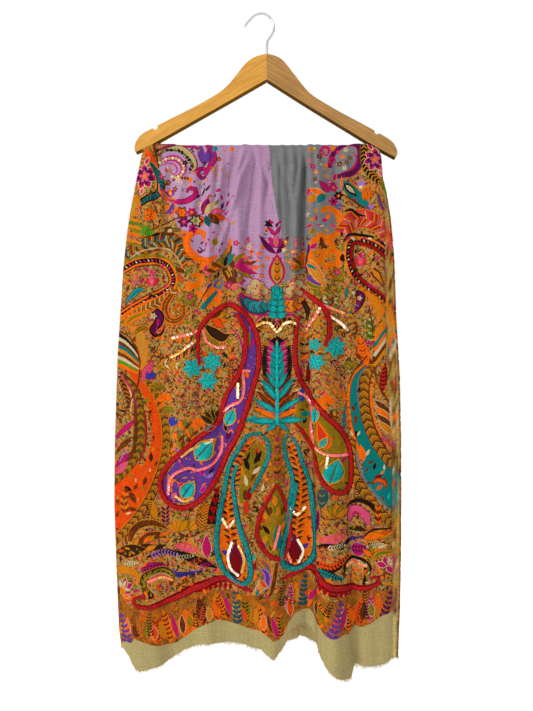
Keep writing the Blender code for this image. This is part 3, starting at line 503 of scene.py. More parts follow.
class Drawing:
    """Filled outlines in painter's order, with a map of what is already covered."""

    def __init__(self):
        self.shapes = []
        self.taken = np.zeros(MAP_SIZE, dtype=bool)
        self.turn = None

    def add(self, outline, colour, wobble=0.05, note=True):
        pts = np.asarray(outline, dtype=float)
        shade = linear(PAINT[colour]) * (1.0 + RNG.uniform(-wobble, wobble, 3))
        tint = np.append(shade, FILIGREE.get(colour, 1.0))
        self.shapes.append((pts, tint, self.turn is not None))
        if note:
            low = np.floor(pts.min(axis=0)).astype(int)
            high = np.ceil(pts.max(axis=0)).astype(int)
            if (high - low).max() < SMALL_MOTIF:
                rows = slice(max(low[1] - MAP_TOP, 0), high[1] - MAP_TOP + 1)
                cols = slice(max(low[0] - MAP_LEFT, 0), high[0] - MAP_LEFT + 1)
                self.taken[rows, cols] = True

    def finish(self):
        """All outlines in the cloth's own lengths."""
        drawn = [pts for pts, _, turned in self.shapes if turned]
        placed = drawing_to_sheet(np.vstack(drawn))
        cuts = np.cumsum([len(pts) for pts in drawn])[:-1]
        ready = iter(np.split(placed, cuts))
        return [(plain(next(ready)) if turned else pts, tint) for pts, tint, turned in self.shapes]

    def band(self, line, wide, colour, wobble=0.05, note=True):
        """A band of changing width; wide is a number or widths along the line."""
        out = sides(line)[1]
        half = np.interp(np.linspace(0, 1, len(line)), np.linspace(0, 1, len(np.atleast_1d(wide))),
                         np.atleast_1d(wide)) / 2.0
        left = line + out * half[:, None]
        right = line - out * half[:, None]
        self.add(np.vstack([left, right[::-1]]), colour, wobble, False)
        if note:
            for x, y in line:
                size = int(max(half.max(), 1))
                row = int(y) - MAP_TOP
                col = int(x) - MAP_LEFT
                self.taken[max(row - size, 0):row + size + 1, max(col - size, 0):col + size + 1] = True

    def stroke(self, points, wide, colour, gap=1.6, edge=None, edge_wide=0.7):
        line = even(spline(points, 60), gap)
        if edge:
            self.band(line, np.atleast_1d(wide) + 2 * edge_wide, edge)
        self.band(line, wide, colour)
        return line

    def leaf(self, x, y, angle, long, wide, colour, edge=None, vein=None, bend=0.0, n=5):
        """A pointed leaf from its foot at x, y; the angle is in degrees, 0 to the right, 90 up."""
        t = np.linspace(0, 1, n + 2)
        turn = math.radians(angle)
        for grow, paint in ((0.55, edge), (0.0, colour)):
            if paint is None:
                continue
            reach = long + 2 * grow
            along = t * reach - grow
            body = np.sin(np.pi * t ** 0.85) * (wide / 2.0 + grow)
            arch = bend * long * (t - t * t) * 2
            over, under = np.stack([along, arch + body], 1), np.stack([along, arch - body], 1)
            pts = np.vstack([over, under[::-1][1:-1]])
            self.add(self.spin(pts, x, y, turn), paint)
        if vein:
            run = np.stack([t * long * 0.85 + long * 0.08, bend * long * (t - t * t) * 2], 1)
            self.band(self.spin(run, x, y, turn), 0.5, vein, note=False)

    @staticmethod
    def spin(pts, x, y, turn):
        c, s = math.cos(turn), math.sin(turn)
        return np.stack([x + pts[:, 0] * c + pts[:, 1] * s, y - pts[:, 0] * s + pts[:, 1] * c], 1)

    def disc(self, x, y, r, colour, n=9, squash=1.0, note=True):
        t = np.linspace(0, 2 * np.pi, n, endpoint=False)
        self.add(np.stack([x + r * np.cos(t), y + r * squash * np.sin(t)], 1), colour, note=note)

    def flower(self, x, y, r, petal, heart, count=6, edge=None, start=0.0):
        for k in range(count):
            self.leaf(x, y, start + 360.0 * k / count, r, r * 0.62, petal, edge)
        self.disc(x, y, r * 0.28, heart, 7)

    def fan(self, x, y, angle, spread, count, long, colours, wide=0.3, edge=None):
        for k in range(count):
            turn = angle + spread * (k / max(count - 1, 1) - 0.5)
            size = long * (1.0 - 0.25 * abs(k / max(count - 1, 1) - 0.5) * 2)
            self.leaf(x, y, turn, size, size * wide, colours[k % len(colours)], edge)

    def sprig(self, points, colour, long, wide, gap, stem=None, tip=True, both=True, lean=48.0):
        """A stem with pairs of leaves."""
        line = even(spline(points, 40), gap)
        if stem:
            self.band(line, 0.6, stem)
        way = sides(line)[0]
        for k in range(len(line)):
            share = k / max(len(line) - 1, 1)
            size = long * (1.0 - 0.45 * share)
            angle = math.degrees(math.atan2(-way[k][1], way[k][0]))
            turns = (lean, -lean) if both else ((lean,) if k % 2 else (-lean,))
            paint = colour[k % len(colour)] if isinstance(colour, (list, tuple)) else colour
            for turn in turns:
                self.leaf(line[k][0], line[k][1], angle + turn, size, size * wide, paint, n=3)
        if tip:
            paint = colour[0] if isinstance(colour, (list, tuple)) else colour
            angle = math.degrees(math.atan2(-way[-1][1], way[-1][0]))
            self.leaf(line[-1][0], line[-1][1], angle, long * 0.7, long * 0.3, paint, n=3)

    def feather(self, points, half, colours, gap, edge=None, ground=None, slope=0.75, taper=True):
        """Slanted barbs to both sides of a line, as in a feather or a herring-bone band."""
        line = even(spline(points, 60), gap)
        count = len(line)
        wide = np.ones(count)
        if taper:
            wide = np.sin(np.pi * np.linspace(0.06, 0.97, count) ** 0.8) ** 0.55
        if edge:
            self.band(line, (half + 0.6) * 2 * wide, edge)
        if ground:
            self.band(line, half * 2 * wide, ground)
        way, out = sides(line)
        for k in range(count - 1):
            paint = colours[k % len(colours)]
            if paint is None:
                continue
            for sign in (1.0, -1.0):
                foot = line[k]
                nxt = line[k] * 0.35 + line[k + 1] * 0.65
                reach = half * wide[k] * 0.95
                push = way[k] * reach * slope
                tip_a = foot + out[k] * sign * reach + push
                tip_b = nxt + out[k] * sign * reach + push
                self.add(np.array([foot, nxt, tip_b, tip_a]), paint, note=False)

    def beads(self, points, r, gap, colours):
        line = even(spline(points, 60), gap)
        for k, (x, y) in enumerate(line):
            self.disc(x, y, r, colours[k % len(colours)], 6, note=False)

    def comma(self, points, wide, rings):
        """A comma shape: a body of changing width on a bent line, with rings inside it."""
        line = even(spline(points, 60), 1.6)
        base = np.asarray(wide, dtype=float)
        for inset, paint in rings:
            width = np.maximum(base - 2 * inset, 0.0)
            keep = np.interp(np.linspace(0, 1, len(line)), np.linspace(0, 1, len(width)), width) > 0.2
            if keep.sum() < 3:
                continue
            self.band(line[keep], np.interp(np.linspace(0, 1, len(line)), np.linspace(0, 1, len(width)),
                                            width)[keep], paint)

    def scatter(self, box, count, kinds, colours, size):
        """Small leaves, dots and sprigs in what is still bare."""
        x0, y0, x1, y1 = box
        for _ in range(count):
            x = RNG.uniform(x0, x1)
            y = RNG.uniform(y0, y1)
            row = int(y) - MAP_TOP
            col = int(x) - MAP_LEFT
            if RNG.random() < SPARSE or self.taken[max(row - 1, 0):row + 2, max(col - 1, 0):col + 2].any():
                continue
            kind = kinds[RNG.integers(len(kinds))]
            paint = colours[RNG.integers(len(colours))]
            angle = RNG.uniform(0, 360)
            long = size * RNG.uniform(0.7, 1.3)
            if kind == "leaf":
                self.leaf(x, y, angle, long, long * 0.36, paint, n=2)
            elif kind == "pair":
                self.leaf(x, y, angle, long, long * 0.32, paint, n=2)
                self.leaf(x, y, angle + 62, long * 0.8, long * 0.3, paint, n=2)
            elif kind == "dot":
                self.disc(x, y, long * 0.2, paint, 5)
            elif kind == "three":
                for turn in (-50, 0, 50):
                    self.leaf(x, y, angle + turn, long * 0.8, long * 0.28, paint, n=2)
            elif kind == "bloom":
                self.flower(x, y, long * 0.62, paint, "go", 5)


# The print

def each(draw, rows, **same):
    """One motif for each row of places, sizes and colours, in their order."""
    for row in rows:
        draw(*row, **same)


def draw_ground(d):
    """Plain grounds: khaki all over, then lilac and grey from the bar down."""
    d.turn = None
    d.add([(-60, -20), (500, -20), (500, 880), (-60, 880)], "kh", 0.0, False)
    d.turn = drawing_to_sheet
    lilac = [(160, 120), (160, 165), (156, 180), (162, 192), (166, 202), (176, 206), (174, 216), (178, 228),
        (192, 234), (190, 250), (200, 262), (214, 262), (222, 254), (232, 262), (240, 286), (252, 292),
        (262, 286), (272, 288), (284, 262), (281, 230), (276, 209), (273, 190), (269, 145), (269, 120)]
    d.add(lilac, "li", 0.0, False)
    grey = [(268, 120), (269, 145), (273, 190), (276, 209), (281, 230), (284, 262), (284, 284), (296, 276),
        (306, 270), (310, 246), (322, 240), (334, 238), (342, 228), (342, 214), (332, 207), (343, 204),
        (342, 182), (348, 175), (359, 166), (362, 150), (362, 120)]
    d.add(grey, "gy", 0.0, False)
    for x0, y0, x1, y1 in ((196, 150, 222, 200), (309, 146, 334, 215)):
        for _ in range(16):
            d.disc(RNG.uniform(x0, x1), RNG.uniform(y0, y1), 1.2, ("or", "og", "lk", "pk")[RNG.integers(4)],
                5)


def draw_edge_stripes(d, x, y, colours, reach, turn, step):
    """Bands one above the other that run in from the cloth's side."""
    for k, paint in enumerate(colours):
        d.stroke([(x, y + k * step), (x + reach * 0.5, y + k * step + turn * 0.35),
            (x + reach, y + k * step + turn)], (step * 0.95, step * 0.8, step * 0.5), paint)


def draw_rose(d, x, y, r, dark, mid, light, heart):
    """A full blown rose of curled petals."""
    for ring, paint in ((1.0, dark), (0.78, mid), (0.52, light)):
        count = 7 if ring > 0.6 else 5
        for k in range(count):
            turn = 360.0 * k / count + ring * 40
            t = math.radians(turn)
            d.leaf(x + math.cos(t) * r * ring * 0.25, y - math.sin(t) * r * ring * 0.25, turn, r * ring * 0.8,
                r * ring * 0.62, paint, "cr" if ring > 0.9 else None)
    d.disc(x, y, r * 0.2, heart, 7)


def draw_tulip(d, x, y, angle, long, outer, inner, edge, heart="cr"):
    """A tulip of three petals on its foot."""
    for turn, size, paint in ((34, 0.85, outer), (-34, 0.85, outer), (0, 1.0, inner)):
        d.leaf(x, y, angle + turn, long * size, long * 0.42, paint, edge)
    t = math.radians(angle)
    d.disc(x + math.cos(t) * long * 0.35, y - math.sin(t) * long * 0.35, long * 0.12, heart, 6)


def draw_scroll(d, points, wide, colour, edge=None, petals=None, petal_long=6.0):
    """A curling band, with petals along its outer side."""
    line = d.stroke(points, wide, colour, edge=edge)
    if petals:
        way, out = sides(line)
        for k in range(1, len(line) - 1, 3):
            angle = math.degrees(math.atan2(-way[k][1], way[k][0]))
            d.leaf(line[k][0] + out[k][0], line[k][1] + out[k][1], angle - 55, petal_long, petal_long * 0.4,
                petals[k % len(petals)], n=3)


def draw_leaves(d, table):
    """Rows of x, y, angle, length, width, colour, outline."""
    for x, y, angle, long, wide, colour, edge in table:
        d.leaf(x, y, angle, long, wide, colour, edge, vein=None)


def draw_top_left(d):
    """Rose, flowered arcs, lily, leaf and pear at the top left."""
    d.stroke([(144, 140), (149, 154), (157, 170)], (6, 7, 3), "do", edge="br")
    each(d.stroke, (([(149, 146), (152, 154)], (3, 2), "ol"), ([(153, 140), (156, 154), (159, 168)],
        (4, 3, 1), "br"), ([(137, 170), (144, 152), (148, 144)], (5, 5, 3), "kh")))
    draw_rose(d, 145, 177, 12, "ma", "dp", "pk", "og")
    d.leaf(146, 166, 60, 8, 4, "ma", "cr")
    d.leaf(143, 188, 250, 7, 4, "pk", "cr")
    d.stroke([(151, 164), (158, 174), (161, 186), (157, 195), (148, 199), (138, 204)], (2, 6, 8, 8, 8, 8),
        "bk", edge="og")
    d.feather([(151, 164), (158, 174), (161, 186), (157, 195), (148, 199), (138, 205)], 3.2, ["te", "dt"],
        1.8)
    d.disc(133, 205, 8, "og", 12, 1.4)
    d.disc(132, 206, 4.5, "go", 10, 1.5)
    # the flowered arcs on lilac
    arc = [(158, 153), (168, 149), (180, 148), (188, 153), (194, 161), (195, 168), (189, 174)]
    d.stroke([(159, 151), (168, 147), (181, 146), (194, 147), (201, 151), (204, 157)],
        (2.4, 2, 1.6, 1.6, 2, 1), "ma", edge="dp", edge_wide=0.4)
    each(d.stroke, ((arc, (3, 4, 6, 7, 7, 5, 1), "dp"), (arc, (2, 3, 5, 6, 5.4, 3.4, 0.4), "tn"),
        (arc, (1.2, 2, 3.6, 4.4, 4, 2.2, 0.3), "be")))
    for k, (x, y) in enumerate(even(spline(arc, 60), 4.6)[:-1]):
        d.leaf(x - 1.5, y + 0.6, 60 - 26 * k, 5.0, 3.0, ("bk", "gr", "db")[k % 3], n=4)
    inner = [(160, 163), (166, 159), (174, 158), (181, 162), (184, 169), (180, 176), (173, 177), (170, 173)]
    d.stroke(inner, (3, 5, 6, 6, 6, 5, 4, 1.5), "ma", edge="lp")
    d.beads(inner, 1.7, 3.4, ["cr", "be"])
    d.stroke([(161, 166), (168, 163), (175, 165), (177, 171), (173, 174), (170, 171), (173, 169)],
        (0.8, 1, 1.2, 1.4, 1.2, 1, 0.6), "ma")
    for turn, long in ((150, 5), (120, 6), (95, 7), (70, 6)):
        d.leaf(168, 172, turn, long, 1.6, ("ma", "or", "lk")[turn % 3], n=3)
    d.fan(160, 179, 40, 80, 4, 7, ["ma", "dp", "pk"], 0.26)
    d.stroke([(200, 146), (202, 156), (206, 160), (210, 152), (209, 145)], (3, 7, 8, 6, 3), "pu", edge="ma")
    d.stroke([(206, 144), (212, 150), (214, 159), (210, 168), (206, 177)], (3, 5, 5, 4, 1.2), "ma", edge="dp")
    d.stroke([(209, 146), (213, 154), (211, 164)], (1.2, 2, 1), "pu")
    d.stroke([(207, 178), (200, 177), (198, 171), (203, 168), (206, 172), (203, 174)], (1, 2.6, 3, 3, 2.4, 1),
        "ma", edge="dp")
    for x, y, r, petal, heart in ((168, 182, 3.6, "br", "og"), (175, 189, 3.4, "br", "og"),
            (185, 163, 3.6, "bk", "br"), (205, 164, 3.0, "bk", "br"), (178, 180, 3.4, "lk", "og"),
            (190, 180, 3.6, "or", "og"), (196, 172, 2.8, "ma", "og"), (201, 182, 2.6, "lk", "ol"),
            (191, 187, 2.8, "or", "do"), (219, 159, 3.0, "br", "og"), (214, 170, 3.2, "og", "lk"),
            (232, 149, 3.0, "or", "do")):
        d.flower(x, y, r, petal, heart, 5)
    for k in range(3):
        d.leaf(182 + 2.6 * k, 180, 75, 3.4, 1.8, "bk", "og", n=3)
    for x, y, turn, long, paint in ((172, 181, 40, 4, "bk"), (164, 185, 20, 5, "br"), (181, 185, 60, 4, "lk"),
            (184, 188, 100, 3.4, "lk"), (188, 184, 30, 3.4, "og"), (194, 184, 70, 4, "br"),
            (197, 187, 250, 5, "br"), (186, 194, 80, 3, "og"), (182, 192, 60, 4, "ol"),
            (203, 179, 40, 4, "bk"), (207, 183, 60, 4, "or"), (198, 152, 60, 4, "ol"),
            (194, 153, 120, 4, "bk"), (190, 150, 30, 4, "bk"), (205, 186, 100, 4, "bk"),
            (217, 166, 30, 4, "or"), (221, 172, 60, 4, "og"), (216, 176, 40, 3.4, "or"),
            (224, 152, 50, 4, "or"), (221, 155, 120, 3, "gn"), (227, 145, 30, 4, "or"),
            (174, 167, 60, 2.6, "or"), (209, 188, 60, 3, "ma"), (193, 176, 60, 4, "og")):
        d.leaf(x, y, turn, long, long * 0.45, paint, n=3)
    d.fan(216, 146, 250, 70, 4, 7, ["te", "tq", "te"], 0.34)
    draw_scroll(d, [(160, 190), (166, 197), (176, 202), (187, 201), (195, 196), (195, 190), (189, 189),
        (187, 193)], (4, 5, 4, 4, 5, 4, 3, 1.5), "ma", "dp")
    d.stroke([(162, 191), (168, 197), (177, 200)], (1, 2, 0.8), "og")
    draw_tulip(d, 171, 196, 105, 9, "pu", "or", "ma")
    d.stroke([(159, 184), (160, 192), (167, 200), (177, 205)], (1, 1.8, 1.6, 1), "or")
    draw_leaves(d, [(203, 214, 68, 17, 9, "dp", "ma"), (205, 214, 44, 17, 7, "be", "or"),
        (211, 214, 20, 14, 6, "pk", "dp"), (213, 216, 352, 13, 6, "do", "br"),
        (209, 215, 318, 14, 7, "br", "bk"), (206, 216, 288, 12, 6, "dt", "gr"),
        (202, 216, 262, 10, 6, "do", "br"), (215, 206, 60, 8, 3, "gr", None),
        (221, 209, 74, 8, 3, "dp", None), (226, 205, 60, 7, 2.6, "ma", None),
        (224, 214, 40, 7, 3, "ma", None), (227, 222, 70, 6, 2.4, "pk", None),
        (222, 200, 100, 6, 2.6, "ma", None), (216, 192, 30, 6, 3.5, "ma", None),
        (211, 196, 250, 5, 2, "ol", None), (214, 198, 60, 5, 2, "br", None), (228, 196, 80, 5, 2, "br", None),
        (202, 196, 65, 10, 2.4, "bk", None), (206, 192, 50, 8, 2.4, "bk", None),
        (196, 198, 40, 6, 2, "bk", None)])
    for k in range(5):
        d.stroke([(201.5 + k * 0.7, 212 - k * 2.4), (204.5 + k * 0.9, 209.5 - k * 2.4)], (0.8, 0.8), "ma")
    each(d.flower, ((182, 213, 7.5, "br", "do", 6), (182, 213, 5.0, "or", "do", 6),
        (192, 213, 6.0, "ma", "og", 6), (184, 222, 7.0, "dp", "bk", 6)))
    d.flower(184, 222, 3.6, "ma", "og", 5, start=30)
    each(d.flower, ((196, 221, 8.0, "bk", "be", 6), (196, 221, 5.4, "be", "ol", 6),
        (193, 229, 5.5, "ma", "dp", 5), (199, 204, 3.2, "lk", "og", 5)))
    d.stroke([(127, 251), (140, 238), (154, 229), (168, 222), (184, 217), (205, 214)],
        (1.2, 1.6, 1.6, 1.6, 1.2, 1), "br")
    # lily, leaf and pear
    d.stroke([(154, 231), (153, 222), (150, 214)], (1.4, 1.6, 2), "br")
    for turn, long in ((118, 14), (88, 15), (60, 13), (145, 8)):
        d.leaf(151, 221, turn, long, 5, "or", "br", vein="br")
    for turn in (60, 95, 130, 165, 25):
        d.leaf(145, 235, turn, 11, 4.5, "gn", "gr")
    d.stroke([(152, 204), (160, 206), (163, 214), (160, 226), (154, 234)], (0.8, 1.2, 1.2, 1.2, 0.8), "og")
    draw_tulip(d, 170, 215, 75, 14, "or", "pu", "og", "og")
    d.leaf(165, 214, 40, 11, 4, "pu", None)
    each(d.disc, ((169, 231, 5.6, "bk", 10, 0.82), (169, 231, 4.6, "br", 10, 0.8),
        (170, 230.6, 2.8, "be", 8, 0.7)))
    each(d.leaf, ((173, 231, 20, 8, 2.4, "ol", "bk"), (160, 233, 200, 10, 3.4, "bk", None),
        (152, 190, 255, 9, 3, "br", None), (158, 215, 110, 12, 3, "br", None)))
    d.sprig([(136, 208), (139, 213)], "ma", 2.6, 0.5, 2.5)
    for x, y in ((153, 205), (140, 209), (176, 214), (160, 240), (184, 237)):
        d.leaf(x, y, 80, 4, 2.2, "ma", None)
    draw_edge_stripes(d, 126, 218, ["og", "gr", "og", "ol", "or", "kh", "og", "ol"], 16, 4, 3.6)


def draw_arch_left(d):
    """An arch of barbs over the left paisley."""
    arch = [(124, 258), (138, 250), (153, 243), (166, 240), (176, 244), (183, 254), (187, 266)]
    d.stroke(arch, (17, 17, 17, 17, 17, 15, 9), "br", edge="og")
    way = even(spline(arch, 60), 2.0)
    run, out = sides(way)
    paints = ["ol", "db", "te", "og", "br", "dt", "be", "ol", "br", "or"]
    for k in range(len(way) - 2):
        for side, lean, shift in ((1, 1, 0), (-1, 1, 4)):
            foot = way[k]
            tip = way[k] + out[k] * side * 7.2 + run[k] * 3.6 * lean
            d.add(np.array([foot, foot + run[k] * 1.5, tip + run[k] * 1.3, tip]), paints[(k + shift) % 10],
                note=False)
    for k in range(4):
        d.stroke([(134 + k * 12, 247 - k * 2.5), (141 + k * 12, 241 - k * 1.2)], (1.6, 1.2), "te")
    d.stroke([(124, 262), (140, 252), (156, 248), (168, 249), (176, 256), (182, 266)],
        (1, 1.4, 1.4, 1.4, 1.2, 0.8), "be")


def draw_boteh(d, outer, bands, inside, ground):
    """A large paisley: bands of colour from the outside in, round a flowered ground."""
    line = even(spline(outer, 90), 2.2)
    out = sides(line)[1]
    centre = np.asarray(inside)
    sign = np.sign(np.sum((centre - line) * out, axis=1))
    sign[sign == 0] = 1
    out = out * np.median(sign)
    d.add(line, ground, 0.0, False)
    for start, stop, paint, dots in bands:
        mid = line + out * (start + stop) / 2.0
        d.band(mid, stop - start, paint)
        if dots:
            for k in range(0, len(mid) - 1, 2):
                spot = mid[k]
                step = (mid[k + 1] - mid[k]) * 0.9
                lean = out[k] * (stop - start) * 0.32
                d.add(np.array([spot - lean, spot + step * 0.8 - lean * 0.4, spot + step * 1.2 + lean,
                    spot + step * 0.3 + lean * 0.6]), dots[k // 2 % len(dots)], note=False)


def draw_left_boteh(d):
    """The large paisley on the left, and the scroll, leaf fan and vase on lilac beside it."""
    outer = [(118, 264), (132, 257), (148, 254), (162, 255), (172, 261), (178, 271), (180, 281), (176, 291),
        (166, 298), (150, 306), (136, 314), (120, 324)]
    draw_boteh(d, outer, ((0.0, 2.2, "ol", None), (2.2, 4.2, "or", None),
        (4.2, 8.6, "bk", ["ma", "cr", "pk"]), (8.6, 10.4, "or", None), (10.4, 11.8, "br", None)), (146, 281),
        "kh")
    d.stroke([(118, 266), (133, 259), (148, 256), (163, 257), (174, 265), (179, 279)],
        (1.4, 2, 2.4, 2.4, 2, 1), "ol")
    low = [(126, 321), (140, 312), (154, 304), (168, 296), (174, 289)]
    d.feather(low, 4.2, ["br", "be", "bk"], 1.7, edge="or", ground="og", taper=False)
    d.stroke([(120, 318), (130, 311), (146, 302), (160, 296)], (2.4, 2.6, 2.4, 1.5), "or")
    draw_tulip(d, 152, 286, 92, 12, "rs", "pk", "ma", "or")
    d.fan(152, 275, 90, 90, 5, 7, ["ma", "pk", "rs"], 0.34)
    d.comma([(126, 302), (132, 296), (139, 290), (144, 290)], (3, 6, 7, 3),
        ((0, "br"), (1.0, "tq"), (2.0, "te")))
    for x, y, turn, long in ((141, 283, 60, 7), (140, 272, 100, 5), (160, 268, 45, 6), (162, 280, 70, 7),
            (164, 288, 50, 6), (133, 286, 60, 8), (126, 292, 70, 8), (130, 305, 60, 5), (148, 297, 30, 6),
            (136, 279, 80, 5)):
        d.leaf(x, y, turn, long, long * 0.4, ("ma", "bk", "br", "pk")[(x + y) % 4], n=3)
    tail = [(172, 294), (166, 302), (164, 311), (168, 319), (176, 321), (183, 316), (184, 308), (179, 305),
        (175, 309), (178, 313)]
    d.stroke(tail, (6, 8, 9, 9, 8, 7, 5, 4, 3, 1.5), "or", edge="br", edge_wide=0.5)
    d.stroke(tail, (4, 5.4, 6, 6, 5, 4.4, 3, 2, 1.4, 0.6), "br")
    d.stroke(tail, (1.2, 1.8, 2, 2, 1.6, 1.2, 0.8, 0.5, 0.4, 0.3), "tn")
    each(d.leaf, ((176, 268, 330, 9, 4, "br", "bk"), (178, 276, 310, 9, 4, "do", "br"),
        (178, 286, 290, 9, 4, "og", "br"), (176, 296, 300, 10, 4, "ol", "og")))
    # the scroll on lilac
    draw_scroll(d, [(205, 236), (202, 232), (193, 233), (187, 240), (188, 249), (194, 256), (202, 260),
        (211, 260), (217, 255)], (3, 4, 5, 6, 6, 6, 5, 4, 1), "or", "do")
    d.disc(204, 237, 2.4, "or", 8)
    draw_leaves(d, [(201, 259, 300, 12, 6, "or", "do"), (205, 260, 250, 15, 6, "or", "br"),
        (209, 262, 320, 12, 6, "or", None), (206, 266, 285, 12, 4.4, "pk", "or"),
        (203, 266, 250, 12, 3.4, "br", None), (216, 262, 15, 12, 5, "ol", "bk"),
        (222, 262, 35, 14, 6, "te", "bk"), (227, 256, 60, 12, 5, "dt", "br"),
        (214, 246, 75, 9, 5.5, "ol", "og"), (230, 252, 88, 16, 3, "or", "br"),
        (222, 256, 50, 14, 3.4, "og", "br"), (213, 264, 5, 16, 2.4, "og", None)])
    for x, y, turn, long, paint in ((200, 244, 30, 5, "br"), (206, 247, 80, 5, "ma"),
            (210, 242, 120, 4, "ma"), (203, 251, 200, 6, "dp"), (211, 251, 60, 4, "or"),
            (197, 249, 300, 5, "br"), (207, 240, 200, 4, "or"), (216, 236, 40, 4, "pk"),
            (221, 245, 60, 4, "br"), (219, 252, 80, 4, "ma"), (212, 234, 40, 4, "ma"),
            (222, 232, 80, 3, "og")):
        d.leaf(x, y, turn, long, long * 0.45, paint, n=3)
    d.stroke([(199, 247), (204, 251), (206, 248)], (0.8, 1.4, 0.7), "dp")
    draw_scroll(d, [(187, 282), (192, 286), (199, 284), (201, 278), (196, 275), (192, 277)],
        (3, 5, 5, 5, 4, 2), "or", "og")
    draw_leaves(d, [(184, 290, 15, 12, 5, "or", None), (196, 290, 310, 12, 5, "or", "og"),
        (191, 268, 240, 9, 4, "gr", None), (188, 266, 60, 6, 3, "or", None), (198, 270, 20, 9, 3, "og", None),
        (204, 272, 60, 8, 4, "ma", "or"), (205, 270, 350, 12, 4, "br", None),
        (212, 262, 300, 7, 3, "bk", None)])
    each(d.flower, ((189, 299, 9.5, "br", "bk", 6), (189, 299, 8.2, "ol", "gr", 6),
        (190, 297, 4.0, "ma", "or", 5)))
    d.add([(205, 288), (214, 280), (222, 284), (221, 302), (210, 309), (203, 306)], "or", 0.0)
    d.add([(209, 286), (216, 279), (223, 279), (222, 290)], "gb", 0.0)
    for k, paint in enumerate(("bl", "go", "pu", "og")):
        d.leaf(207 + k * 3, 289 - k, 50, 8, 3, paint, None)
    d.stroke([(202, 309), (210, 299), (217, 291)], (2.6, 3.2, 1.2), "te", edge="dt")
    d.stroke([(198, 306), (206, 292), (212, 284)], (1, 1.4, 1), "br")
    d.leaf(210, 303, 350, 12, 5, "og", "do")


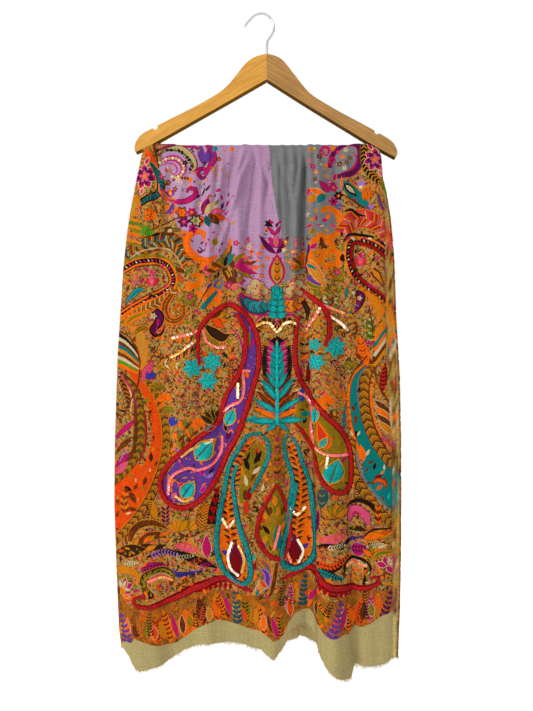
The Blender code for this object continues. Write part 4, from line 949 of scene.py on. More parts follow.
def draw_centre(d):
    """The grey side, scalloped paisleys and the turquoise ear on black."""
    # brown leaf fan and vase on the lilac's lower edge
    for turn, long, paint in ((82, 14, "og"), (56, 18, "ol"), (34, 22, "pk"), (16, 24, "br"), (2, 26, "pk"),
            (346, 25, "ma"), (330, 22, "ol"), (108, 10, "br")):
        d.leaf(234, 268, turn, long, 5.4, paint, "br")
    for turn in (48, 24, 8, 352, 336):
        d.leaf(236, 268, turn, 15, 2.6, ("og", "ma")[turn % 2 == 0], None)
    draw_leaves(d, [(224, 266, 72, 12, 5, "bk", "ol"), (227, 264, 48, 13, 5, "te", "br"),
        (222, 268, 150, 12, 4, "br", "og"), (222, 264, 100, 10, 4, "ol", None),
        (229, 252, 92, 10, 4, "or", "br"), (232, 246, 100, 10, 3, "or", None)])
    d.stroke([(224, 267), (228, 276), (232, 282), (236, 277), (234, 270)], (4, 5, 6, 4, 3), "br", edge="bk")
    d.stroke([(226, 270), (230, 277)], (2, 2.4), "og")
    d.flower(229, 285, 5.0, "ma", "og", 6)
    d.flower(241, 281, 5.5, "ma", "ol", 5)
    d.disc(240, 280, 3.0, "ol", 8)
    for x, y, r, petal, heart in ((237, 244, 3.6, "ma", "og"), (248, 240, 3.0, "ma", "or"),
            (236, 288, 3.4, "pk", "or"), (249, 247, 3.2, "lk", "og"), (244, 256, 3.2, "or", "lk"),
            (251, 252, 3.0, "or", "do"), (263, 247, 3.0, "or", "og"), (259, 254, 3.0, "or", "do"),
            (268, 258, 3.0, "or", "og"), (256, 268, 3.4, "or", "do"), (263, 266, 3.2, "og", "do"),
            (262, 276, 3.0, "do", "lk"), (270, 239, 3.0, "ma", "og"), (267, 230, 2.8, "or", "do")):
        d.flower(x, y, r, petal, heart, 5)
    for points, paint in (([(243, 250), (248, 238)], ["ma", "or"]), ([(250, 262), (254, 246)], ["or", "br"]),
            ([(258, 262), (262, 250)], ["or", "ma"]), ([(254, 280), (250, 270)], ["ma", "br"]),
            ([(246, 262), (241, 250)], ["ol", "or"]), ([(258, 284), (262, 272)], ["or", "ma"]),
            ([(263, 242), (266, 232)], ["bk", "br"])):
        d.sprig(points, paint, 3.6, 0.42, 3.0)
    for turn in (20, 80, 140, 200, 260, 320):
        d.leaf(269, 224, turn, 5.4, 2.8, "bk", None)
    draw_leaves(d, [(275, 236, 125, 12, 3, "ma", "dp"), (275, 236, 60, 12, 3, "ma", "dp"),
        (276, 228, 70, 6, 3, "dp", None), (273, 224, 130, 5, 3, "ma", None),
        (278, 224, 40, 5, 3, "ma", None)])
    d.leaf(276, 254, 132, 25, 5.5, "dp", "ma", bend=-0.10)
    d.leaf(276, 254, 55, 22, 5.5, "dp", "ma", bend=0.10)
    draw_tulip(d, 276, 248, 90, 14, "ma", "pk", "dp", "ol")
    d.leaf(277, 286, 90, 32, 17, "ma", "pk", n=7)
    for k in range(4):
        for turn in (128, 52):
            d.leaf(277, 281 - k * 6.0, turn, 10.5 - k, 4.4, "ma", None)
    d.leaf(277, 284, 90, 27, 12, "go", "br", n=7)
    for k in range(6):
        for turn in (122, 58):
            d.leaf(277, 281 - k * 3.8, turn, 6.6 - 0.5 * k, 1.8, ("br", "do")[k % 2], None, n=3)
    # grey side
    for x, y, paint in ((296, 243, "ma"), (303, 244, "ma"), (293, 252, "or"), (300, 254, "og"),
            (304, 250, "ma"), (286, 242, "og"), (284, 250, "lk"), (290, 262, "or"), (297, 262, "br"),
            (292, 268, "ma")):
        d.flower(x, y, 3.0, paint, "cr", 5)
    for points, paint in (([(295, 262), (296, 240)], ["ma", "or"]), ([(303, 262), (303, 238)], ["ma", "og"]),
            ([(288, 262), (286, 246)], ["or", "ol"])):
        d.sprig(points, paint, 4.0, 0.45, 3.0)
    d.fan(302, 268, 120, 150, 8, 15, ["br", "og", "do", "ol"], 0.26, "br")
    d.fan(303, 258, 95, 110, 5, 8, ["do", "og"], 0.34)
    d.leaf(306, 270, 75, 22, 5, "ma", "pk")
    d.leaf(308, 274, 84, 30, 6, "dp", "bk")
    # scalloped paisleys
    for sign, middle in ((-1, 277), (1, 277)):
        x = lambda off: middle + sign * off
        lobes = ((12, 291, 3.6), (16, 286, 4.0), (22, 284, 4.6), (27, 288, 3.4), (22, 291, 4.4),
            (29, 292, 2.2))
        for grow, paint in ((0.8, "ma"), (0.0, "be")):
            for off, y, r in lobes:
                d.disc(x(off), y, r + grow, paint, 12)
        for _ in range(26):
            d.disc(x(RNG.uniform(10, 26)), RNG.uniform(284, 295), 0.8, ("or", "bk", "og")[RNG.integers(3)], 5)
        for off, y, turn in ((17, 290, 60), (20, 288, 90), (23, 290, 120)):
            d.leaf(x(off), y, turn, 4.4, 1.9, ("ma", "or", "gn")[turn % 7 % 3], n=3)
    d.comma([(240, 294), (244, 300), (252, 306), (262, 308), (271, 306)], (3, 13, 17, 16, 8),
        ((0, "ma"), (1.5, "bk"), (2.2, "dt")))
    d.feather([(244, 300), (254, 306), (270, 305)], 6.0, ["tq", "gb", "te"], 2.2)
    d.leaf(243, 300, 95, 9, 3, "ma", None)
    d.comma([(283, 305), (292, 306), (300, 303), (304, 296)], (14, 14, 11, 4),
        ((0, "ma"), (1.4, "og"), (2.4, "or")))
    d.feather([(284, 306), (294, 305), (302, 299)], 5.6, ["og", "br", "go"], 2.0)
    # turquoise ear on black
    for k in range(5):
        y = 316 - 5.6 * k
        for turn in (150 - 5 * k, 30 + 5 * k):
            d.leaf(277, y, turn, 9.4, 6.6, "bk", None)
    for k in range(5):
        y = 316 - 5.6 * k
        for turn in (148 - 5 * k, 32 + 5 * k):
            d.leaf(277, y, turn, 8, 5.4, "tq", "te")
    d.leaf(277, 292, 90, 8, 5, "tq", "bk")
    d.stroke([(255, 322), (263, 315), (272, 317), (277, 324), (283, 317), (292, 315), (301, 320)],
        (1.4, 2.2, 2, 2, 2, 2.2, 1.4), "ma")
    for sign in (-1, 1):
        curl = [(277 + sign * 2, 332), (277 + sign * 5, 323), (277 + sign * 11, 321), (277 + sign * 17, 325),
            (277 + sign * 18, 332)]
        d.stroke(curl, (4, 6, 7, 6, 2), "bk")
        d.feather(curl, 3.2, ["br", "og", "db"], 1.4, taper=False)


def draw_spine(d):
    """The tall dark leaf shape on the middle line with its turquoise plant."""
    side = [(277, 336), (268, 342), (263, 352), (262, 366), (264, 378), (270, 386), (277, 390)]
    outline = side + [(554 - x, y) for x, y in side[::-1][1:]]
    d.add(even(spline(outline, 90), 2.0), "bk", 0.0)
    for y in np.arange(340, 388, 2.4):
        reach = float(np.interp(y, [336, 345, 366, 388], [8, 13, 15.5, 8]))
        for sign in (-1, 1):
            d.leaf(277 + sign * (reach - 4), y, 90 - sign * 72, 6, 1.9, ("db", "bk")[int(y) % 2], None, n=3)
    for y in np.arange(346, 386, 3.0):
        for sign in (-1, 1):
            d.leaf(277 + sign * 2, y, 90 - sign * 58, 10.5, 3.2, ("ma", "pk")[int(y) % 2], None, n=3)
    for x in (269, 285):
        d.leaf(x, 345, 90 + (277 - x) * 8, 7, 3.2, "ol", "og")
    for base, long in ((386, 22), (398, 24), (408, 26)):
        for sign in (-1, 1):
            d.leaf(277, base + 4, 90 - sign * 44, long, 6, "br", "bk")
            d.leaf(277, base + 8, 90 - sign * 56, long, 5, ("do", "pk")[base % 3 == 0], "bk")
            for k in range(5):
                spot = base + 6 - k * 3.2
                d.leaf(277 + sign * (4 + k * 3.6), spot, 90 - sign * 62, 7, 1.6, ("lk", "bk")[k % 2], None,
                    n=3)
    for sign in (-1, 1):
        d.leaf(277, 418, 90 - sign * 66, 27, 5, "or", "bk")
    for y, reach in ((354, 8), (364, 9), (374, 9)):
        for sign in (-1, 1):
            d.leaf(277, y + 3, 90 - sign * 52, reach, 5, "tq", "te")
    d.stroke([(277, 344), (277, 420)], (1.6, 3), "tq", edge="te", edge_wide=0.4)
    for x, y, tip_x, tip_y, wide in ((277, 399, 262, 379, 5.6), (278, 398, 295, 377, 5.2),
            (276, 412, 254, 399, 5.0), (278, 412, 300, 398, 5.0), (276, 421, 250, 422, 5.4),
            (278, 421, 304, 418, 5.4), (276, 421, 269, 431, 4.6), (279, 421, 287, 431, 4.6)):
        angle = math.degrees(math.atan2(y - tip_y, tip_x - x))
        d.leaf(x, y, angle, math.hypot(tip_x - x, tip_y - y), wide, "tq", "te")
    d.stroke([(247, 420), (256, 417)], (3, 4), "tq", edge="te", edge_wide=0.4)


def draw_top_right(d):
    """Arch of barbs and red edged paisley at the top right."""
    ring = [(330, 168), (332, 157), (338, 149), (348, 144), (358, 146), (361, 155), (358, 166), (350, 174),
        (341, 176), (334, 174)]
    d.stroke([(362, 143), (362, 156), (358, 168), (349, 176), (340, 177)], (2, 2.4, 2.4, 2, 1), "te",
        edge="or", edge_wide=0.5)
    d.stroke(ring, (3, 4, 4, 3, 4, 6, 7, 6, 5, 1.5), "dp", edge="ma")
    d.stroke([(353, 152), (357, 158), (354, 167), (347, 173)], (0.8, 2.2, 2.2, 0.8), "ma")
    d.stroke([(332, 166), (330, 160), (334, 158), (336, 163)], (2, 3, 3, 1), "ma")
    for x, y, r, petal, heart in ((340, 164, 3.4, "br", "og"), (347, 163, 3.0, "br", "og"),
            (343, 157, 2.8, "or", "og"), (350, 158, 2.8, "br", "og"), (345, 169, 2.6, "lk", "og"),
            (338, 152, 2.8, "ma", "or"), (312, 150, 3.6, "og", "or"), (322, 153, 3.6, "ma", "og"),
            (333, 148, 3.4, "or", "og"), (314, 168, 3.6, "ma", "pk"), (320, 158, 3.2, "dp", "og"),
            (326, 166, 3.0, "or", "og"), (317, 174, 2.8, "or", "lk"), (330, 182, 3.0, "ma", "lk"),
            (346, 150, 3.0, "lk", "or")):
        d.flower(x, y, r, petal, heart, 5)
    d.stroke([(320, 152), (324, 147), (329, 149), (328, 155), (323, 155)], (2, 3, 3, 2, 1), "ma")
    chevron = [(364, 146), (364, 158), (367, 169), (373, 177), (381, 183)]
    d.stroke(chevron, (7, 7, 7, 6.4, 5), "bk", edge="ol", edge_wide=0.5)
    d.feather(chevron, 3.2, ["og", "bk"], 2.0, taper=False)
    draw_rose(d, 375, 160, 11, "ma", "dp", "pk", "og")
    d.leaf(372, 150, 120, 9, 4, "ma", "cr")
    d.leaf(379, 170, 300, 8, 4, "pk", "cr")
    d.disc(385, 186, 6, "ol", 10, 2.0)
    d.disc(386, 187, 3.2, "gr", 10, 2.0)
    d.add([(342, 184), (348, 180), (366, 178), (388, 190), (388, 232), (344, 214)], "kh", 0.0, False)
    draw_tulip(d, 361, 192, 88, 15, "pu", "lp", "og", "cr")
    d.leaf(361, 192, 130, 12, 4, "og", None)
    d.leaf(361, 192, 46, 12, 4, "og", None)
    d.leaf(342, 181, 317, 40, 12, "te", "br", bend=0.05, n=7)
    d.leaf(344, 184, 318, 18, 8, "bk", None)
    d.leaf(346, 186, 322, 12, 4.6, "lk", None)
    d.flower(355, 200, 3.0, "ma", "dp", 5)
    for turn, long in ((40, 13), (62, 15), (82, 12)):
        d.leaf(364, 200, turn, long, 5, "or", "br", vein="br")
    d.leaf(378, 206, 66, 12, 5, "og", "br")
    d.comma([(378, 194), (380, 202), (384, 210)], (2, 4, 2), ((0, "br"), (0.7, "pu")))
    for k in range(4):
        for turn in (60, 120, 90):
            d.leaf(369 + k * 2, 210 + k * 4 - (k % 2) * 5, turn, 5, 2.6, ("pu", "lp")[k % 2], None, n=3)
    d.leaf(376, 214, 300, 16, 6, "do", "ol")
    d.leaf(383, 222, 280, 14, 6, "ol", "og")
    d.stroke([(344, 196), (352, 200), (362, 206), (372, 216), (386, 230)], (1.2, 2, 2.2, 2, 1.6), "br")
    draw_leaves(d, [(330, 192, 135, 14, 7, "ma", "dp"), (326, 196, 160, 17, 6, "or", "lk"),
        (328, 196, 195, 10, 4, "gr", None), (324, 195, 245, 10, 6, "te", "dt"),
        (318, 197, 215, 11, 6, "og", "or"), (311, 190, 250, 7, 4, "ma", "or"),
        (330, 190, 60, 10, 4, "bk", None), (334, 180, 70, 8, 4, "ma", "og")])
    each(d.flower, ((334, 187, 5.5, "ma", "og", 6), (339, 195, 5.5, "bk", "or", 6),
        (334, 201, 5.5, "ma", "bk", 6), (340, 206, 4.0, "pu", "og", 5)))
    d.leaf(342, 190, 90, 14, 3, "or", None)
    d.stroke([(332, 206), (338, 206), (343, 204)], (1, 1.4, 1), "te")
    draw_scroll(d, [(324, 214), (324, 210), (331, 208), (338, 212), (341, 220), (340, 230), (334, 236),
        (326, 238), (318, 234)], (2, 3, 4, 4.6, 4.6, 4.6, 4, 3, 1), "or", "og", ["or", "og"], 5)
    draw_leaves(d, [(323, 222, 30, 8, 4, "ma", None), (327, 220, 60, 8, 4, "or", None),
        (330, 226, 10, 8, 4, "pk", None), (318, 222, 90, 6, 3, "ma", None), (316, 214, 60, 6, 3, "og", None),
        (314, 226, 200, 7, 3, "ma", "or"), (325, 229, 330, 6, 3, "og", None),
        (313, 236, 70, 8, 4, "ol", "og")])
    d.stroke([(312, 246), (318, 240), (327, 240), (333, 245), (330, 252), (325, 247)], (3, 5, 6, 5, 4, 2),
        "or", edge="og")
    d.comma([(322, 238), (324, 246), (328, 248)], (2, 4.6, 2), ((0, "bk"), (0.8, "br")))
    draw_scroll(d, [(314, 252), (313, 260), (318, 264), (324, 258), (322, 252), (317, 254)],
        (3, 5, 5, 5, 4, 2), "or", "og")
    draw_scroll(d, [(330, 268), (337, 264), (340, 256), (335, 250), (330, 254), (332, 258)],
        (3, 5, 6, 5, 4, 2), "or", "og")
    draw_leaves(d, [(312, 250, 40, 9, 4, "ma", "pk"), (311, 268, 60, 9, 4, "og", None),
        (323, 270, 40, 14, 5, "or", None), (330, 278, 45, 16, 6, "or", "do"),
        (322, 262, 330, 9, 4, "og", None), (318, 276, 345, 9, 4, "br", None),
        (326, 284, 300, 7, 5, "br", "og"), (337, 282, 20, 9, 3, "ol", None),
        (326, 262, 280, 9, 3, "or", None), (341, 250, 60, 8, 3.5, "ol", None),
        (335, 243, 60, 6, 2.4, "bk", None), (338, 246, 100, 7, 2.4, "br", None),
        (343, 236, 100, 8, 3, "bk", None), (345, 243, 80, 7, 3, "ol", None)])
    each(d.flower, ((339, 274, 9.5, "br", "bk", 6), (339, 274, 8.0, "ol", "gr", 6),
        (338, 272, 4.2, "ma", "or", 5)))
    d.leaf(344, 262, 100, 9, 6, "bk", None)
    d.comma([(309, 262), (316, 270), (322, 280), (326, 288)], (8, 10, 9, 3),
        ((0, "lk"), (0.6, "or"), (2.2, "go")))
    d.comma([(309, 276), (314, 282), (322, 286)], (4, 6, 2), ((0, "pu"),))
    d.leaf(308, 264, 330, 13, 3, "te", None)
    d.comma([(309, 282), (316, 287), (326, 289)], (4, 5, 2), ((0, "og"), (1, "gr")))
    d.sprig([(312, 300), (322, 292), (334, 290), (346, 292)], ["ol", "og", "gr"], 8, 0.34, 3.4, stem="br")
    d.sprig([(318, 304), (330, 300), (345, 302)], ["ol", "br", "lk"], 7, 0.32, 3.4, stem="br")
    # red and pink arch of barbs
    arch = [(343, 232), (352, 222), (362, 218), (374, 222), (384, 230), (392, 240)]
    d.stroke(arch, (14, 17, 18, 16, 14, 12), "rs", edge="og")
    way = even(spline(arch, 60), 2.0)
    run, out = sides(way)
    paints = ["pk", "be", "do", "ma", "br", "og", "rd", "ol"]
    for k in range(len(way) - 2):
        for side, shift in ((1, 0), (-1, 3)):
            foot = way[k]
            tip = way[k] + out[k] * side * 7.4 - run[k] * 3.4
            d.add(np.array([foot, foot + run[k] * 1.3, tip + run[k] * 1.2, tip]), paints[(k + shift) % 8],
                note=False)
    d.stroke([(345, 212), (352, 210), (358, 214), (366, 216)], (1.4, 3, 3, 1), "bk")
    d.stroke([(346, 208), (352, 207), (356, 210)], (1, 2, 1), "be")
    # paisley with the red edge
    outer = [(392, 254), (382, 245), (368, 238), (355, 236), (347, 242), (345, 256), (348, 270), (355, 282),
        (366, 292), (378, 301), (392, 312)]
    draw_boteh(d, outer[::-1], ((0.0, 1.6, "or", None), (1.6, 5.6, "bk", ["ma", "cr", "og"]),
        (5.6, 8.0, "rd", None), (8.0, 9.2, "br", None)), (380, 268), "kh")
    d.stroke([(344, 242), (350, 235), (362, 235), (376, 239), (392, 250)], (2, 3, 3, 3, 3), "bk")
    for k in range(9):
        d.leaf(346 + 5.4 * k, 238 + 0.06 * (k - 3) ** 2 + (k > 5) * (k - 5) * 1.8, 350, 5, 2.2,
            ("ma", "cr", "og")[k % 3], n=3)
    d.stroke([(347, 262), (350, 274), (358, 284), (370, 294), (386, 305)], (1.4, 2, 2.4, 2.4, 2), "or")
    d.feather([(350, 278), (360, 287), (372, 296), (388, 308)], 3.4, ["og", "br", "ol"], 1.8, taper=False)
    draw_tulip(d, 361, 266, 92, 12, "rs", "pk", "ma", "or")
    d.fan(361, 258, 88, 90, 5, 7, ["rd", "pk", "ma"], 0.34)
    d.comma([(372, 270), (376, 274), (380, 280), (384, 286)], (6, 9, 6, 2),
        ((0, "br"), (1.0, "bk"), (1.8, "og")))
    for x, y, turn, long in ((352, 262, 60, 5), (354, 272, 40, 6), (368, 284, 330, 8), (372, 262, 60, 6),
            (376, 266, 50, 5), (358, 276, 20, 6), (384, 272, 60, 6), (366, 274, 350, 5), (372, 255, 80, 6),
            (356, 254, 90, 5)):
        d.leaf(x, y, turn, long, long * 0.42, ("ma", "br", "bk", "or")[(x + y) % 4], n=3)
    d.leaf(348, 286, 262, 14, 4, "te", "rd")
    d.comma([(356, 292), (361, 296), (360, 304), (356, 311), (352, 316)], (8, 12, 9, 6, 2),
        ((0, "og"), (1.0, "bk"), (2.0, "dp")))
    d.flower(360, 298, 3.0, "lk", "og", 5)
    d.sprig([(359, 302), (355, 312)], ["ma", "lp"], 3.2, 0.5, 2.4)
    d.disc(354, 293, 2.0, "lk", 7)


def draw_middle_left(d):
    """Stripes at the side, a dark scroll and sprays at the middle left."""
    for k, paint in enumerate(("bk", "lk", "br", "te", "og", "br", "lk", "gn", "or")):
        d.stroke([(116, 334 + k * 3.8), (124, 338 + k * 3.6), (132, 346 + k * 3.1), (139, 356 + k * 2.2)],
            (3.4, 3.2, 2.6, 1.2), paint)
    d.stroke([(116, 330), (128, 336), (136, 348), (140, 364), (138, 384), (130, 402), (119, 424)],
        (1, 1.6, 1.8, 1.8, 1.8, 1.4, 1), "br")
    each(d.comma, (([(128, 326), (138, 332), (142, 344), (144, 360), (141, 370)], (3, 9, 10, 8, 3),
        ((0, "or"), (1, "go"))), ([(124, 326), (132, 318), (142, 314), (150, 310)], (4, 8, 7, 2),
        ((0, "or"), (1.2, "og"), (2.6, "ol"))), ([(134, 336), (138, 330), (145, 328), (150, 332)],
        (2, 6, 6, 2), ((0, "og"), (1, "br"), (2, "ol")))))
    body = [(154, 310), (159, 316), (157, 324), (152, 330), (156, 336), (162, 332), (164, 325)]
    d.stroke(body, (7, 10, 9, 7, 4, 2.4, 1), "bk", edge="or")
    d.stroke(body[:5], (4, 6, 6, 4, 1), "dp")
    d.flower(153, 316, 3.6, "lk", "og", 5)
    d.leaf(157, 326, 90, 8, 3, "ma", None)
    for k in range(4):
        d.leaf(154 + k, 334 - k * 4, 60, 4, 1.6, "ma", None, n=3)
    d.leaf(142, 382, 62, 25, 7.5, "pk", "rd", bend=-0.06)
    for k in range(6):
        d.leaf(144 + k * 1.4, 378 - k * 3, 110, 4, 1.3, "rs", None, n=3)
        d.leaf(144 + k * 1.4, 378 - k * 3, 20, 4, 1.3, "ma", None, n=3)
    for turn, x, y in ((70, 150, 379), (30, 149, 378), (105, 149, 380), (70, 171, 426), (35, 170, 426),
            (105, 172, 427)):
        d.leaf(x, y, turn, 8 if x < 160 else 11, 4.6, "bl", "dp" if x < 160 else None)
    for x, y in ((164, 400), (198, 425)):
        for turn in (20, 60, 100, 140, 180):
            d.leaf(x, y, turn, 8, 4, "or", "do")
        d.leaf(x, y, 250, 10, 4, "or", None)
    d.leaf(206, 424, 290, 20, 5, "br", "rs")
    for turn in (70, 95, 120, 145, 40):
        d.leaf(213, 424, turn, 16, 5, "db", "ol")
    d.stroke([(213, 424), (210, 410)], (1, 1), "ol")
    for turn in (30, 60, 100, 130, 170):
        d.leaf(168, 412, turn, 7, 3.4, "ol", "gr")
    for turn in (30, 70, 110, 150):
        d.leaf(157, 390, turn, 8, 4, "ol", "br")
    # sprays under the salmon and gold strings
    d.sprig([(156, 366), (166, 364), (180, 366)], ["ol", "og", "lk"], 8, 0.36, 4, stem=None)
    d.sprig([(196, 345), (186, 350), (176, 356), (164, 358), (154, 350)], ["br", "bk", "or"], 8, 0.28, 3.0,
        stem="br")
    d.sprig([(198, 332), (188, 337), (176, 340), (160, 338)], ["or", "ol", "br"], 7.5, 0.3, 3.0, stem="or")
    d.stroke([(154, 350), (154, 356), (160, 358), (168, 357)], (0.8, 1.2, 1.4, 1.4), "br")
    d.sprig([(226, 316), (212, 318), (200, 322), (188, 322)], ["ol", "og", "gr"], 8, 0.32, 3.4, stem="ol")
    d.sprig([(214, 346), (206, 338), (204, 330)], ["og", "ol"], 7, 0.3, 2.8)
    for turn, paint in ((350, "or"), (20, "og"), (50, "br"), (320, "do")):
        d.leaf(212, 318, turn, 16, 7, paint, "bk")
    d.comma([(206, 326), (213, 332), (222, 337), (231, 334)], (5, 11, 11, 2),
        ((0, "og"), (0.8, "bk"), (2.4, "db")))
    d.comma([(206, 334), (213, 342), (222, 347)], (2, 5, 2), ((0, "ol"),))
    for k in range(7):
        d.leaf(231 + 0.6 * k, 346 + 7 * k, 110, 8, 3, ("ol", "og", "or")[k % 3], "br")
        d.leaf(231 + 0.6 * k, 346 + 7 * k, 60, 8, 3, ("og", "br", "do")[k % 3], None)
    d.stroke([(233, 330), (240, 338), (243, 352), (240, 368), (234, 380)], (1, 2, 2, 2, 1), "ma")
    d.sprig([(224, 408), (230, 394), (236, 376), (236, 360)], ["ma", "dp"], 5.4, 0.42, 3.6)
    d.sprig([(232, 384), (231, 372), (232, 362)], ["rd", "br"], 6.5, 0.4, 3.0)
    for sign in (0, 1):
        d.sprig([(186 + sign * 12, 408), (184 + sign * 12, 396), (190 + sign * 10, 384)], ["br", "ma"], 4.6,
            0.34, 3.0, stem="br")
    for x, y in ((184, 424), (190, 432), (178, 436), (170, 446), (182, 444), (174, 456), (192, 440)):
        for turn in (80, 45, 115):
            d.leaf(x, y + 6, turn, 12, 3.2, ("ol", "br", "or")[(x + turn) % 3], "br" if turn == 80 else None)
    d.sprig([(168, 468), (172, 452), (176, 440)], ["or", "ol"], 5, 0.36, 3.0)


def draw_middle_right(d):
    """Sprays and stripes at the middle right."""
    d.leaf(368, 366, 104, 32, 10, "or", "rs", bend=-0.06, n=7)
    for k in range(7):
        for turn in (150, 60):
            d.leaf(366 - k * 0.8, 362 - k * 3.4, turn, 5, 1.6, ("do", "br")[k % 2], None, n=3)
    d.leaf(371, 344, 92, 30, 8, "gr", "bk", n=7)
    for k in range(7):
        for turn in (140, 45):
            d.leaf(371, 341 - k * 3.4, turn, 4.2, 1.2, ("lk", "bk")[k % 2], None, n=3)
    d.stroke([(369, 306), (372, 322), (374, 346), (374, 366), (378, 384), (386, 398), (394, 410)],
        (1.2, 1.8, 2, 2, 2, 2, 1.4), "br")
    for k, paint in enumerate(("og", "br", "lk", "or", "te", "or", "og")):
        d.stroke([(374, 366 - k * 5), (382, 354 - k * 5), (392, 344 - k * 5)], (3.4, 3.6, 3.2), paint)
    d.comma([(366, 292), (374, 300), (380, 312), (378, 322)], (3, 8, 8, 2), ((0, "or"), (1.2, "og")))
    d.leaf(382, 392, 84, 30, 7, "dr", "br", n=7)
    for k in range(6):
        for turn in (130, 50):
            d.leaf(383, 388 - k * 4, turn, 4, 1.4, "rs", None, n=3)
    d.sprig([(374, 396), (377, 386)], "ol", 4, 0.4, 2.6)
    for turn in (30, 70, 110, 150):
        d.leaf(352, 368, turn, 8, 4.4, "ol", "br")
    d.leaf(362, 360, 130, 10, 4.4, "br", "or")
    d.stroke([(350, 384), (354, 372), (362, 362), (368, 356)], (1, 1.4, 1.4, 1), "br")
    for x, y, tint in ((328, 402, "or"), (321, 408, "or"), (342, 396, "og")):
        for turn in (10, 60, 110, 160):
            d.leaf(x, y, turn, 9 if tint == "or" else 5, 4.4, tint, "do")
    for turn in (50, 80, 115, 140):
        d.leaf(330, 424, turn, 14, 5, "br", "dr")
    d.leaf(344, 434, 88, 30, 4.4, "te", "rs", n=7)
    each(d.sprig, (([(344, 432), (344, 410)], ["tq", "rd"], 4, 0.4, 4), ([(336, 428), (337, 410), (337, 396)],
        ["ol", "og"], 6, 0.34, 4), ([(350, 430), (350, 412), (348, 398)], ["br", "or"], 4, 0.4, 3.4),
        ([(333, 360), (338, 368), (344, 376)], ["bk", "ma", "br"], 5, 0.36, 2.6),
        ([(326, 386), (332, 378), (340, 382)], ["or", "ol", "ma"], 5, 0.36, 2.6),
        ([(352, 308), (350, 318), (356, 330), (358, 336)], ["og", "br"], 6, 0.3, 3)))
    d.sprig([(331, 318), (338, 328), (346, 334), (354, 336), (357, 328)], ["br", "bk", "og"], 7, 0.28, 3.0,
        stem="br")
    d.sprig([(326, 306), (336, 308), (348, 312)], ["te", "rd", "ol"], 7, 0.28, 3.0, stem="br")
    d.stroke([(352, 334), (357, 333), (357, 328), (353, 328)], (1.4, 2, 1.6, 0.8), "br")
    d.comma([(303, 300), (309, 310), (308, 320)], (5, 8, 4), ((0, "bk"), (1, "db")))
    for k in range(8):
        y = 318 + 9 * k
        for turn in (20, 160):
            d.leaf(305, y, turn, 6, 2.8, ("br", "ma", "or", "bk")[k % 4], None)
    each(d.leaf, ((301, 384, 90, 20, 4, "ma", "br"), (309, 384, 90, 22, 4, "dr", "bk"),
        (300, 360, 30, 12, 4, "or", "br"), (322, 338, 60, 12, 3.4, "ol", None),
        (316, 330, 70, 14, 3.4, "og", "ol")))


